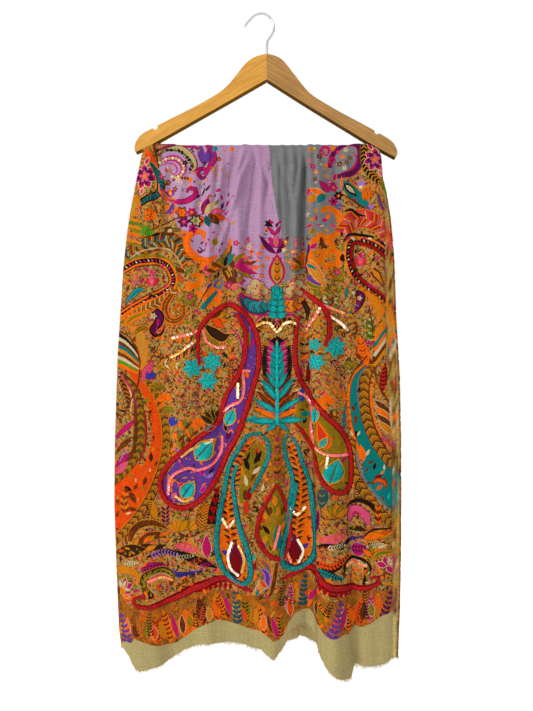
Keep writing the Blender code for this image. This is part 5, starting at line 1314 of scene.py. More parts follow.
def draw_s_bands(d):
    """Broad curving bands at the far left and the right."""
    left = [(114, 352), (124, 360), (136, 372), (147, 387), (154, 404), (158, 424), (158, 446), (152, 466),
        (141, 486), (128, 500), (112, 512)]
    d.stroke([(120, 372), (132, 384), (138, 398), (139, 424), (138, 448), (128, 464), (112, 486)],
        (3, 7, 10, 11, 11, 10, 9), "br")
    d.add([(113, 470), (136, 462), (147, 470), (152, 486), (141, 508), (127, 526), (113, 540)], "do", 0.0)
    d.stroke(left, (10, 12, 14, 14, 14, 15, 15, 17, 20, 24, 22), "do")
    d.stroke([(142, 404), (146, 424), (145, 448), (139, 462)], (1.6, 2, 2, 1), "rd")
    gold = [(140, 374), (152, 388), (160, 404), (165, 424), (166, 446), (162, 468), (154, 490), (143, 510),
        (128, 528), (112, 544)]
    d.stroke(gold, (4, 6, 7, 8, 8, 9, 9, 9, 8, 8), "br", edge="og", edge_wide=0.8)
    d.feather(gold, 3.6, ["og", "ol", "br", "go"], 1.9, taper=False)
    rim = [(126, 380), (136, 394), (140, 410), (141, 430), (139, 450), (130, 466), (118, 478), (110, 484)]
    d.feather(rim, 3.4, ["ol", "og", "gr", "br"], 1.9, edge="br", taper=False)
    for x, y, turn, long, paint in ((146, 404, 70, 8, "ol"), (151, 410, 250, 5, "bk"),
            (149, 420, 90, 5, "br"), (150, 426, 60, 4, "bk"), (153, 440, 80, 5, "bk"),
            (148, 446, 100, 4, "bk"), (152, 452, 70, 5, "og"), (151, 462, 90, 10, "db"),
            (146, 462, 120, 7, "br"), (154, 466, 50, 7, "br"), (147, 476, 250, 10, "br"),
            (150, 472, 90, 4, "lk"), (134, 490, 60, 9, "br"), (124, 486, 330, 10, "bk"),
            (130, 478, 90, 6, "ol"), (122, 502, 40, 10, "br"), (128, 508, 350, 10, "br"),
            (118, 506, 100, 9, "br"), (116, 500, 60, 6, "og"), (138, 502, 80, 6, "og"),
            (126, 514, 20, 6, "lk"), (116, 518, 70, 8, "br"), (136, 482, 90, 5, "be"),
            (143, 490, 70, 6, "ol")):
        d.leaf(x, y, turn, long, long * 0.42, paint, n=3)
    each(d.sprig, (([(150, 416), (150, 404)], "bk", 3, 0.3, 4), ([(152, 446), (154, 434)], "br", 3, 0.3, 4),
        ([(126, 512), (124, 500), (126, 492)], ["br", "og"], 7, 0.4, 3.2)))
    d.leaf(130, 492, 300, 12, 5, "br", "bk")
    # far left
    d.comma([(119, 376), (124, 386), (128, 398), (129, 412)], (6, 10, 9, 4),
        ((0, "lk"), (1, "og"), (2.4, "br")))
    d.feather([(118, 376), (124, 388), (127, 402), (128, 414)], 4.2, ["db", "tn"], 2.2)
    d.stroke([(118, 372), (128, 384), (134, 396), (137, 410)], (1, 1.6, 1.6, 1), "ma")
    for k, paint in enumerate(("ma", "kh", "br", "kh", "ma", "pk")):
        d.leaf(115, 440 + k * 7, 46, 30 - k * 2, 6, paint, "dp" if paint == "ma" else "kh")
    d.leaf(116, 474, 40, 14, 5, "pk", "ma")
    for k in range(4):
        d.leaf(119 + k * 2, 462 - k * 3, 60, 5, 1.5, "lp", None, n=3)
    # right
    teal = [(370, 362), (361, 372), (356, 384), (355, 400), (357, 416), (361, 432), (368, 448), (378, 464),
        (392, 480)]
    d.stroke([(372, 360), (364, 374), (361, 392), (363, 414), (370, 436), (382, 458), (396, 474)],
        (14, 17, 18, 18, 18, 18, 18), "br")
    d.stroke(teal, (9, 10, 10, 11, 12, 13, 14, 18, 22), "te")
    d.stroke([(365, 364), (353, 376), (349, 394), (350, 414), (354, 434), (362, 456), (376, 478), (393, 498)],
        (2, 2.6, 3, 3, 3, 3.4, 4, 4), "or", edge="br", edge_wide=0.6)
    gold = [(373, 364), (366, 376), (364, 394), (366, 414), (372, 434), (382, 452), (394, 466)]
    d.feather(gold, 4.6, ["og", "ol", "br", "go"], 1.9, edge="br", taper=False)
    d.stroke([(374, 380), (371, 396), (373, 414), (379, 432), (388, 446), (396, 456)], (1.4, 2, 2, 2, 2, 1.4),
        "or")
    d.stroke([(367, 366), (360, 376), (358, 392), (360, 410)], (1, 1.6, 1.6, 1), "gb")
    low = [(352, 440), (352, 460), (358, 480), (370, 500), (384, 516), (396, 528)]
    d.feather(low, 4.4, ["og", "ol", "br", "go"], 1.9, edge="br", taper=False)
    d.add([(362, 452), (378, 462), (394, 476), (394, 512), (378, 500), (364, 476)], "te", 0.0, False)
    d.stroke([(356, 450), (361, 470), (372, 490), (390, 510)], (1.6, 2, 2.4, 2), "gb")
    for x, y, turn, long, paint in ((360, 384, 90, 5, "br"), (358, 392, 60, 6, "bk"), (356, 406, 80, 4, "bk"),
            (357, 424, 92, 10, "br"), (357, 430, 270, 8, "bk"), (355, 412, 100, 8, "br"),
            (358, 436, 60, 6, "lk"), (354, 436, 120, 6, "lk"), (364, 462, 100, 18, "or"),
            (366, 456, 60, 8, "lk"), (368, 464, 30, 7, "br"), (374, 470, 80, 8, "bk"),
            (374, 478, 20, 10, "dr"), (380, 474, 40, 6, "og"), (384, 470, 90, 6, "lk"),
            (376, 490, 40, 9, "do"), (386, 488, 100, 12, "br"), (382, 484, 60, 6, "ma"),
            (372, 482, 200, 6, "br"), (388, 500, 80, 8, "tq"), (366, 472, 60, 6, "br")):
        d.leaf(x, y, turn, long, long * 0.4, paint, n=3)
    d.comma([(372, 484), (377, 480), (384, 482), (386, 488)], (2, 5, 5, 2), ((0, "br"), (1, "do")))
    for k, paint in enumerate(("br", "or", "br", "og")):
        d.leaf(374 + k, 400 + k * 7, 322, 26, 6, paint, "lk")
    d.sprig([(382, 436), (390, 444)], "ma", 4.4, 0.4, 2.4)


def draw_paisley_fill(d):
    """Coloured grounds inside the corded paisleys, with what is printed there."""
    left = [(232, 312), (242, 314), (251, 323), (255, 340), (256, 360), (252, 384), (244, 408), (238, 432),
        (227, 452), (217, 476), (207, 490), (193, 501), (178, 503), (166, 497), (162, 484), (170, 470),
        (184, 452), (201, 437), (219, 424), (223, 408), (228, 394), (238, 380), (245, 362), (247, 344),
        (243, 326)]
    d.add(even(spline(left + left[:1], 160), 3.0), "pu", 0.0)
    right = [(298, 392), (312, 400), (324, 416), (340, 432), (348, 448), (350, 480), (348, 489), (334, 489),
        (324, 482), (319, 470), (316, 452), (306, 436), (296, 424)]
    d.add(even(spline(right + right[:1], 120), 3.0), "ol", 0.0)
    for x, y, turn, long, wide, paint, edge in ((246, 352, 80, 22, 5, "ol", "br"),
            (250, 348, 60, 12, 3, "ma", None), (246, 336, 100, 14, 4, "br", "og"),
            (250, 330, 80, 10, 3, "pk", None), (244, 376, 60, 8, 4, "do", "br"),
            (248, 378, 110, 7, 4, "or", "rd"), (238, 392, 86, 18, 7, "br", "og"),
            (226, 432, 96, 12, 4, "bk", "og"), (226, 440, 60, 10, 6, "dp", None),
            (194, 458, 42, 30, 17, "og", "br"), (196, 456, 44, 24, 11, "gb", None),
            (178, 486, 20, 8, 4, "ma", "or"), (172, 498, 50, 7, 4, "pk", "or"),
            (182, 496, 90, 8, 3, "or", None), (200, 476, 60, 12, 4, "ma", None),
            (207, 478, 40, 10, 4, "lp", None), (212, 468, 70, 12, 3, "ma", "dp"),
            (200, 492, 40, 9, 4, "ma", "lp"), (172, 486, 110, 12, 5, "or", "og"),
            (190, 496, 300, 8, 4, "lp", None), (210, 458, 50, 9, 3, "og", None)):
        d.leaf(x, y, turn, long, wide, paint, edge)
    for _ in range(60):
        k = RNG.integers(len(left))
        x, y = np.asarray(left[k]) * 0.8 + np.asarray(left[(k + 11) % 25]) * 0.2
        if 440 < y < 500:
            d.leaf(x, y, RNG.uniform(0, 360), RNG.uniform(3, 6), 1.8, ("ma", "lp", "dp",
                "or")[RNG.integers(4)], n=3)
    d.stroke([(172, 492), (170, 486), (174, 480), (180, 484)], (2, 2.6, 2, 1), "or")
    drop = [(319, 418), (326, 428), (332, 438), (332, 446), (326, 448), (320, 442)]
    d.add(even(spline(drop + drop[:1], 60), 2.0), "or", 0.0)
    small = [(320, 422), (325, 430), (330, 439), (329, 444), (324, 444), (321, 438)]
    d.add(even(spline(small + small[:1], 60), 2.0), "rs", 0.0)
    for x, y, turn, long, wide, paint, edge in ((302, 402, 90, 14, 7, "bl", "te"),
            (306, 398, 80, 12, 4, "ol", "og"), (300, 414, 0, 12, 6, "te", None),
            (303, 424, 60, 8, 4, "bk", "og"), (308, 428, 30, 7, 3, "br", None),
            (341, 462, 40, 8, 4, "ma", "gr"), (346, 456, 90, 8, 3, "og", None),
            (336, 478, 60, 8, 3, "gr", "og"), (328, 482, 100, 8, 3, "ma", None),
            (322, 466, 60, 10, 3, "og", "br"), (344, 482, 110, 9, 4, "og", None),
            (312, 440, 300, 10, 3, "og", None)):
        d.leaf(x, y, turn, long, wide, paint, edge)
    # orange and black leaves between the turquoise cords
    left = [(256, 437), (247, 442), (240, 456), (232, 470), (228, 490), (223, 512), (220, 534), (220, 552),
        (226, 568), (236, 577), (244, 580), (247, 572), (244, 552), (236, 530), (231, 508), (230, 482),
        (236, 464), (246, 450)]
    right = [(294, 440), (290, 452), (295, 466), (298, 480), (292, 506), (284, 528), (281, 546), (284, 562),
        (296, 566), (308, 560), (312, 546), (311, 520), (308, 494), (304, 478), (298, 462)]
    for outline, axis, sign in ((left, [(250, 446), (238, 468), (229, 494), (228, 516), (231, 540),
            (236, 562)], 1), (right, [(291, 448), (299, 470), (301, 496), (298, 520), (296, 544), (296, 558)],
            -1)):
        d.add(even(spline(outline + outline[:1], 140), 3.0), "or", 0.0)
        line = even(spline(axis, 80), 3.0)
        for k, (x, y) in enumerate(line):
            size = 5.0 + 5.0 * math.sin(math.pi * min(k / (len(line) - 1), 1.0))
            for turn in (140, 40, 160, 20):
                d.leaf(x, y, turn, size, 2.2, ("bk", "do", "br", "og")[(k + turn // 20) % 4], None, n=3)
    for x, y, wide in ((236, 560, 16), (295, 554, 16)):
        shape = [(x, y - 20), (x + wide * 0.34, y - 6), (x + wide * 0.5, y + 6), (x + wide * 0.3, y + 15),
            (x, y + 18), (x - wide * 0.3, y + 15), (x - wide * 0.5, y + 6), (x - wide * 0.34, y - 6)]
        d.add(even(spline(shape + shape[:1], 60), 2.0), "dp", 0.0)
        for turn, away in ((150, -1), (30, 1)):
            d.leaf(x + away * 6, y - 4, turn, 10, 4, "bl", "br")
        core = [(x + (p - x) * 0.72, y + 1 + (q - y) * 0.76) for p, q in shape]
        d.add(even(spline(core + core[:1], 60), 2.0), "dr", 0.0)
    # leafy middle between the cords
    plant = [(250, 491), (257, 478), (266, 458), (262, 444), (252, 446), (243, 462), (240, 482), (241, 504)]
    d.add(even(spline(plant + plant[:1], 80), 2.4), "ol", 0.0)
    for x, y, turn, long, wide, paint in ((251, 482, 70, 20, 4, "br"), (249, 470, 110, 14, 5, "bk"),
            (254, 464, 60, 16, 5, "bk"), (256, 456, 80, 10, 4, "rs"), (247, 486, 100, 12, 4, "lk"),
            (256, 478, 60, 10, 3, "og"), (246, 500, 95, 12, 5, "br"), (251, 488, 50, 10, 4, "do"),
            (244, 478, 100, 14, 3, "og"), (260, 462, 110, 12, 3, "bk"), (252, 474, 40, 12, 4, "lk"),
            (246, 462, 70, 12, 3, "bk")):
        d.leaf(x, y, turn, long, wide, paint, None)
    middle = [(277, 424), (269, 434), (272, 452), (268, 470), (270, 484), (277, 480), (285, 484), (285, 470),
        (281, 452), (284, 434)]
    d.add(even(spline(middle + middle[:1], 80), 2.6), "tn", 0.0)
    d.sprig([(277, 478), (277, 458), (277, 440)], ["ma", "bk", "og"], 6, 0.3, 4.0)
    d.leaf(277, 442, 90, 6, 4, "ma", "ol")
    for sign in (-1, 1):
        for k in range(6):
            d.leaf(277 + sign * 5, 474 - k * 8, 90 - sign * 30, 8, 2.6, ("ol", "or", "ma", "og")[k % 4], None)
    # feathered drop in the middle
    drop = [(277, 487), (269, 500), (260, 516), (258, 534), (265, 549), (276, 557), (286, 553), (289, 536),
        (287, 515), (283, 500)]
    d.add(even(spline(drop + drop[:1], 100), 2.4), "ol", 0.0)
    for k in range(15):
        t = k / 14.0 * 1.5 * math.pi + 0.25 * math.pi
        x, y = 273 + 13 * math.cos(t), 528 - 24 * math.sin(t)
        d.leaf(273 + (x - 273) * 0.6, 528 + (y - 528) * 0.6, math.degrees(math.atan2(528 - y, x - 273)), 9,
            4.4, ("ol", "og", "gr", "br")[k % 4], "og")
    for x, y, turn, long, wide, paint, edge in ((275, 506, 90, 12, 6, "og", "br"),
            (270, 516, 110, 12, 4, "br", None), (281, 516, 70, 12, 4, "br", None),
            (270, 534, 130, 12, 5, "bk", "og"), (265, 524, 120, 10, 4, "rs", None),
            (266, 548, 140, 12, 5, "ma", "pk"), (278, 550, 92, 26, 7, "te", "dt"),
            (284, 540, 80, 16, 4, "bk", None), (272, 548, 100, 14, 4, "ol", "br"),
            (280, 530, 60, 10, 3, "or", None)):
        d.leaf(x, y, turn, long, wide, paint, edge)


def draw_lower_left(d):
    """Sprays, brown wings and a fringed crescent at the lower left."""
    d.stroke([(153, 512), (166, 521), (178, 532), (190, 537), (204, 530), (214, 526)],
        (1, 1.4, 1.6, 1.6, 1.4, 1), "br")
    for k in range(12):
        d.leaf(158 + 4.6 * k, 516 + 22 * math.sin(k * 0.24), 60 + 50 * (k % 2), 6, 2,
            ("bk", "or", "br")[k % 3], n=3)
    d.leaf(157, 520, 108, 26, 8, "og", "br")
    d.sprig([(146, 520), (149, 508), (151, 500)], "bk", 5, 0.34, 2.6)
    for k in range(5):
        for turn in (140, 60):
            d.leaf(166, 527 - k * 4, turn, 7, 2.8, "dp", "og")
    for turn in (150, 120, 90, 60):
        d.leaf(180, 532, turn, 15, 6, "og", "br")
        d.leaf(190, 531, turn - 20, 13, 5, ("og", "ol")[turn % 40 == 0], "br")
    d.leaf(201, 532, 80, 34, 15, "tn", "br", n=8)
    d.feather([(201, 530), (203, 516), (206, 502)], 6.6, ["og", "br"], 1.6)
    d.stroke([(211, 524), (213, 508), (217, 494)], (8, 8, 5), "bk")
    for k in range(4):
        x, y = 211.5 + 1.7 * k, 521 - 9 * k
        d.add([(x - 3.4, y - 4), (x - 1.5, y - 6), (x, y - 4.6), (x + 1.5, y - 6), (x + 3.4, y - 4),
            (x, y + 2.5)], "rd", 0.0)
    d.sprig([(186, 520), (189, 511)], "bk", 3.6, 0.34, 2.0)
    d.sprig([(192, 512), (192, 506)], "bk", 3.4, 0.34, 2.0)
    # brown wings
    d.stroke([(130, 541), (133, 531), (141, 524), (152, 522), (162, 526), (168, 530)], (4, 7, 7, 6, 4, 1),
        "br", edge="og")
    d.stroke([(140, 541), (148, 535), (158, 534), (166, 538)], (4, 6, 5, 2), "br", edge="or")
    for k in range(6):
        d.leaf(134 + 5 * k, 546 - 2 * k, 60 - 8 * k, 11, 4, ("og", "br", "or")[k % 3], "br")
    d.stroke([(128, 546), (126, 538), (129, 533)], (2, 2.6, 1), "br")
    d.comma([(136, 548), (146, 546), (158, 547), (166, 545)], (2, 7, 6, 1), ((0, "db"),))
    d.leaf(146, 549, 20, 12, 5, "og", "br")
    for k in range(9):
        d.leaf(163 + 5.5 * k, 541 + (k % 3) * 3, 20 + 40 * (k % 2), 7, 2.6, ("or", "og", "ma", "br")[k % 4],
            n=3)
    d.leaf(175, 545, 347, 27, 8, "pk", "rs")
    for k in range(8):
        for turn in (20, 310):
            d.leaf(178 + 2.8 * k, 545 + 0.6 * k, turn, 3.6, 1.3, ("do", "og")[k % 2], n=3)
    d.leaf(208, 558, 92, 24, 9, "ma", "lk", bend=-0.08)
    d.leaf(116, 553, 10, 32, 13, "db", "og", n=7)
    for k in range(9):
        d.disc(120 + 2.9 * k, 551 + (k % 3 - 1) * 2.4, 1.2, ("ol", "gr")[k % 2], 5, note=False)
    d.stroke([(148, 556), (160, 552), (175, 553), (190, 558), (204, 562), (217, 568)], (2, 5, 6, 9, 8, 1),
        "bk")
    each(d.sprig, (([(152, 555), (162, 552), (176, 554)], "lp", 5, 0.36, 3.0),
        ([(176, 558), (186, 557), (192, 556)], "be", 4.4, 0.34, 2.6), ([(190, 566), (198, 560), (206, 556)],
        ["do", "br"], 5, 0.34, 2.6), ([(200, 567), (210, 563)], "ma", 5, 0.3, 2.4)))
    d.stroke([(167, 566), (172, 573), (182, 575), (194, 574), (204, 569)], (1, 5, 6, 5, 1), "bk")
    d.sprig([(170, 570), (178, 575), (190, 574), (202, 570)], "bl", 5, 0.42, 2.6)
    d.leaf(141, 569, 8, 26, 12, "ma", "dp", n=7)
    for k in range(6):
        for turn in (50, 320):
            d.leaf(144 + 3.2 * k, 567.5 - 0.5 * k, turn, 5, 1.6, "bk", n=3)
    d.leaf(124, 564, 8, 16, 5, "lk", "og")
    d.sprig([(126, 564), (140, 562)], "bk", 3.2, 0.34, 2.4)
    d.stroke([(112, 572), (124, 569), (136, 573), (139, 581)], (2, 5, 5, 1), "og", edge="or")
    d.stroke([(112, 578), (124, 577), (134, 580)], (2, 3, 1), "ol")
    for turn in (30, 80, 130, 200, 320):
        d.leaf(124, 588, turn, 11, 6, "ma", "lk")
    for turn in (60, 110, 350):
        d.leaf(122, 588, turn, 9, 3.4, "lk", "ol")
    for turn, paint in ((30, "or"), (55, "og"), (10, "do"), (80, "br")):
        d.leaf(116, 602, turn, 18, 5, paint, "lk")
    # crescent with its fringe
    crescent = [(151, 592), (146, 588), (144, 580), (149, 574), (160, 571), (170, 574), (174, 582)]
    d.stroke(crescent, (4, 6, 8, 8, 9, 8, 2), "bk", edge="og", edge_wide=0.5)
    d.stroke(crescent, (2, 4, 5, 5, 6, 5, 1), "ol")
    for k, (x, y) in enumerate(even(spline(crescent, 60), 2.6)):
        d.leaf(x, y, 200 - 15 * k, 5.4, 1.6, ("bk", "gr")[k % 2], n=3)
    d.stroke([(150, 590), (150, 596), (154, 595), (152, 591)], (2, 2.6, 2, 1), "bk")
    d.stroke([(150, 579), (160, 576), (171, 580)], (5, 6, 5), "sa", edge="lk", edge_wide=0.4)
    d.sprig([(178, 590), (184, 582), (194, 576), (206, 570)], ["br", "bk", "og"], 6, 0.32, 3.0, stem="br")
    d.stroke([(176, 592), (178, 586), (188, 582)], (1, 2, 1), "br")
    for x, y in ((158, 588), (164, 592), (168, 586), (156, 598), (180, 580), (212, 572), (216, 574),
            (134, 592), (140, 596), (144, 566)):
        d.leaf(x, y, RNG.uniform(20, 90), 7, 2.8, ("or", "og", "ma")[x % 3], n=3)


def draw_lower_right(d):
    """Sprays and leaves at the lower right and in the centre under the drops."""
    d.stroke([(323, 516), (332, 518), (342, 516), (352, 508), (358, 502)], (1, 1.4, 1.4, 1.2, 1), "br")
    for turn in (150, 120, 90, 60, 30):
        d.leaf(337, 516, turn, 15, 6, ("og", "ol")[turn % 60 == 0], "br")
    d.sprig([(357, 498), (358, 488), (360, 480)], "bk", 4.4, 0.34, 2.6)
    d.leaf(324, 508, 84, 26, 10, "dt", "ol", n=7)
    for k in range(6):
        for turn in (130, 50):
            d.leaf(324.5, 504 - k * 3.6, turn, 5, 1.4, ("ol", "br")[k % 2], n=3)
    d.leaf(316, 516, 96, 34, 6, "do", "dr")
    d.leaf(319, 534, 84, 26, 4, "dp", "ma")
    d.stroke([(348, 506), (358, 500), (370, 504), (377, 512), (380, 520)], (1, 3.4, 4, 4, 2), "bk", edge="br")
    for k in range(5):
        for turn in (60, 120):
            d.leaf(378, 524 - k * 3.4, turn, 6, 2.4, ("or", "br")[k % 2], "br")
    d.stroke([(350, 520), (352, 512), (358, 509), (366, 516), (369, 525)], (4, 7, 8, 8, 2), "pk", edge="dp")
    d.stroke([(353, 518), (356, 512), (362, 514)], (1.4, 2, 1), "ma")
    d.comma([(350, 530), (358, 528), (366, 530)], (2, 6, 2), ((0, "db"),))
    for long, turn, paint in ((34, 4, "og"), (30, 10, "do"), (26, 16, "og"), (24, 2, "or")):
        d.leaf(361, 536, turn, long, 8, paint, "br")
    d.stroke([(362, 538), (372, 530), (392, 528)], (1.6, 2, 1.4), "bk")
    d.leaf(366, 546, 4, 22, 7, "lk", "og")
    d.sprig([(368, 545), (384, 543)], "bk", 4, 0.34, 2.4)
    d.leaf(347, 536, 186, 30, 9, "pk", "or")
    for k in range(8):
        for turn in (150, 220):
            d.leaf(344 - 3 * k, 536 + 0.4 * k, turn, 4, 1.4, ("do", "og")[k % 2], n=3)
    d.stroke([(318, 548), (330, 544), (342, 546), (350, 540), (362, 536)], (2, 5, 5, 4, 1), "bk")
    each(d.sprig, (([(320, 550), (332, 546)], ["do", "br"], 5, 0.36, 2.6),
        ([(330, 546), (344, 545)], "lk", 4.4, 0.34, 2.4), ([(350, 540), (362, 536)], "pu", 4, 0.4, 2.4)))
    d.leaf(351, 550, 8, 17, 13, "ma", "lp", n=6)
    for k in range(5):
        for turn in (60, 310):
            d.leaf(353 + 2.8 * k, 549 - 0.3 * k, turn, 5.4, 1.6, "bk", n=3)
    d.stroke([(320, 562), (332, 566), (342, 562), (350, 554)], (4, 9, 8, 2), "bk", edge="or", edge_wide=0.5)
    d.sprig([(322, 563), (334, 564), (344, 560), (349, 556)], "do", 5.4, 0.5, 3.0)
    d.stroke([(321, 570), (330, 572), (343, 578)], (5, 8, 2), "bk")
    d.sprig([(321, 571), (331, 573), (342, 577)], "te", 5.4, 0.5, 2.6)
    crescent = [(364, 584), (366, 578), (368, 568), (362, 561), (354, 560), (347, 565), (345, 574)]
    d.stroke(crescent, (3, 5, 8, 8, 8, 7, 2), "bk", edge="og", edge_wide=0.5)
    for k, (x, y) in enumerate(even(spline(crescent, 60), 2.6)):
        d.leaf(x, y, 340 + 18 * k, 5.0, 1.6, ("ol", "lk", "gr")[k % 3], n=3)
    d.stroke([(347, 566), (356, 562), (365, 566)], (4, 5, 4), "sa", edge="lk", edge_wide=0.4)
    for turn, paint in ((60, "og"), (100, "ol"), (140, "or"), (20, "og")):
        d.leaf(372, 556, turn, 12, 4.6, paint, "br")
    d.comma([(372, 560), (380, 553), (392, 552)], (2, 6, 4), ((0, "og"), (1.4, "gr")))
    for turn in (20, 60, 100, 320, 160):
        d.leaf(386, 566, turn, 11, 5.6, "ma", "lk")
    for turn in (40, 80, 0):
        d.leaf(388, 564, turn, 8, 3, "lk", "ol")
    for x, y, turn, paint in ((380, 577, 10, "or"), (384, 583, 350, "og"), (388, 590, 30, "ma"),
            (376, 584, 60, "bk"), (392, 580, 60, "br"), (390, 598, 60, "lk")):
        d.leaf(x, y, turn, 9, 3.2, paint, None)
    for x in (352, 360, 370, 350, 374):
        d.leaf(x, 580, RNG.uniform(30, 120), 6, 2.2, ("or", "ma", "og")[x % 3], n=3)
    # centre under the drops
    d.comma([(258, 586), (262, 578), (268, 570), (264, 562), (258, 558)], (2, 7, 9, 6, 2),
        ((0, "og"), (1, "rs"), (2.4, "te")))
    d.comma([(262, 590), (267, 584), (267, 574), (261, 568)], (2, 7, 7, 2), ((0, "lp"), (1.4, "pu")))
    for k in range(6):
        d.leaf(252 + 3 * k, 598 - 2 * k, 60 + 14 * k, 12, 4.4, ("or", "og", "do")[k % 3], "lk")
    d.stroke([(277, 562), (275, 575), (272, 590), (268, 598)], (3, 4, 4, 2), "br", edge="og")
    d.leaf(274, 600, 240, 8, 4, "pk", "br")
    d.leaf(270, 602, 20, 10, 5, "ma", "og")
    for x, y, turn, long, wide, paint in ((248, 500, 80, 14, 5, "rd"), (246, 514, 86, 16, 5, "rs"),
            (250, 530, 80, 10, 4, "ol"), (247, 546, 95, 16, 4, "rs"), (252, 560, 60, 8, 3, "tq"),
            (254, 570, 80, 10, 4, "rd"), (254, 580, 90, 10, 4, "or"), (250, 568, 110, 8, 3, "og"),
            (256, 596, 70, 9, 3, "te"), (268, 502, 60, 9, 3, "ma"), (262, 492, 80, 9, 3, "lk"),
            (290, 500, 90, 12, 3, "ol")):
        d.leaf(x, y, turn, long, wide, paint, "br" if wide > 4 else None)


def draw_border(d):
    """The row of upright leaves and sprigs above the plain end."""
    ground = [(112, 596), (140, 604), (176, 602), (214, 590), (250, 596), (282, 586), (312, 578), (345, 596),
        (396, 588), (396, 636), (112, 648)]
    d.add(ground, "tn", 0.0, False)
    for x, y, turn, long, wide, paint, edge, barb in ((148, 641, 96, 34, 12, "tn", "or", "do"),
            (158, 642, 94, 26, 11, "do", "or", "br"), (171, 644, 104, 36, 9, "or", "og", "bk"),
            (188, 640, 96, 30, 20, "or", "og", "do"), (204, 625, 100, 30, 12, "br", "og", "bk"),
            (218, 622, 92, 26, 12, "do", "og", "br"), (226, 619, 112, 28, 11, "or", "og", "bk"),
            (246, 626, 92, 28, 11, "ol", "og", "bk"), (266, 636, 104, 34, 10, "or", "og", "bk"),
            (281, 639, 92, 26, 11, "or", "rs", "bk"), (288, 614, 84, 30, 9, "pk", "lk", "br"),
            (303, 610, 88, 32, 14, "tn", "or", "te"), (324, 626, 96, 26, 13, "or", "og", "bk"),
            (350, 632, 92, 28, 10, "or", "og", "bk"), (360, 626, 86, 28, 11, "do", "or", "br"),
            (370, 622, 88, 30, 9, "pk", "og", "br")):
        d.leaf(x, y, turn, long, wide, paint, edge, n=7)
        t = math.radians(turn)
        for k in range(6):
            share = 0.12 + 0.13 * k
            spot = (x + math.cos(t) * long * share, y - math.sin(t) * long * share)
            for lean in (46, -46):
                d.leaf(spot[0], spot[1], turn + lean, wide * 0.44, 1.7, barb, None, n=3)
    for k in range(30):
        x = 120 + 9.0 * k
        y = float(np.interp(x, (120, 150, 176, 200, 218, 240, 279, 300, 318, 332, 360, 392),
            (636, 638, 640, 624, 618, 620, 634, 606, 616, 628, 622, 606)))
        d.leaf(x, y, 84 + 11 * (k % 3), 15 + 5 * (k % 2), 6, ("og", "or", "br", "ol", "do")[k % 5],
            ("br", "lk", "or")[k % 3], n=4)
    for x, y, turn, long in ((178, 640, 106, 28), (231, 617, 108, 28), (278, 638, 106, 26),
            (309, 603, 60, 20), (341, 631, 78, 30)):
        d.leaf(x, y, turn, long, 5.0, "ma", "ol")
    for points, paint in (([(128, 642), (126, 630), (122, 617)], "pu"), ([(238, 623), (237, 610), (235, 594)],
            "dt"), ([(303, 608), (304, 594), (306, 580)], "dt"), ([(333, 634), (338, 620), (341, 604)], "pu"),
            ([(380, 622), (386, 608), (390, 594)], "dp")):
        d.sprig(points, paint, 7.4, 0.5, 5.0, stem=paint, lean=52)
    for points, paint in (([(152, 634), (150, 620), (151, 608)], "bk"), ([(138, 636), (134, 622), (137, 610)],
            "br"), ([(196, 628), (195, 616)], "bk"), ([(200, 620), (203, 608), (206, 594)], "bk"),
            ([(252, 622), (253, 608), (251, 596)], "og"), ([(282, 606), (282, 592), (283, 584)], "bk"),
            ([(292, 606), (293, 592), (292, 584)], "br"), ([(328, 614), (332, 602), (334, 594)], "bk"),
            ([(366, 618), (366, 604), (365, 592)], "bk"), ([(376, 620), (378, 606), (378, 596)], "og")):
        d.sprig(points, paint, 5.0, 0.34, 2.8)
    for k in range(46):
        x = 120 + 5.8 * k
        y = 596 + 10 * math.sin(x / 34.0) - (12 if x > 280 else 0) + 5 * (k % 3)
        if 225 < x < 262:
            y = 600
        d.leaf(x, y, 60 + 60 * (k % 2), 8, 3.2, ("or", "og", "do", "ol", "br")[k % 5], None)
    lower = [(112, 640), (121, 645), (128, 641), (135, 637), (152, 643), (176, 644), (186, 637), (200, 627),
        (217, 620), (240, 625), (255, 630), (271, 638), (279, 639), (285, 632), (293, 618), (300, 613),
        (311, 612), (318, 624), (330, 634), (345, 633), (360, 627), (370, 623), (382, 615), (396, 612)]
    d.add(lower + [(396, 720), (112, 720)], "be", 0.0, False)


def draw_red_ribbons(d):
    """Printed grounds of the two red scrolls, under their stitches."""
    left = [(139, 606), (149, 606), (160, 603), (170, 600), (184, 594), (202, 585), (217, 580), (231, 581),
        (241, 587), (250, 591)]
    d.stroke(left, (5, 5, 6, 8, 10, 10, 8, 5, 3, 1), "dr")
    right = [(284, 579), (297, 573), (311, 569), (318, 574), (326, 583), (340, 587), (356, 588), (371, 586),
        (379, 582)]
    d.stroke(right, (1, 4, 6, 8, 9, 9, 8, 6, 4), "dr")
    for line in (left[2:8], right[3:8]):
        for x, y in even(spline(line, 60), 5.0):
            d.leaf(x, y + 2, 262, 7.5, 4, "rd", None, n=3)


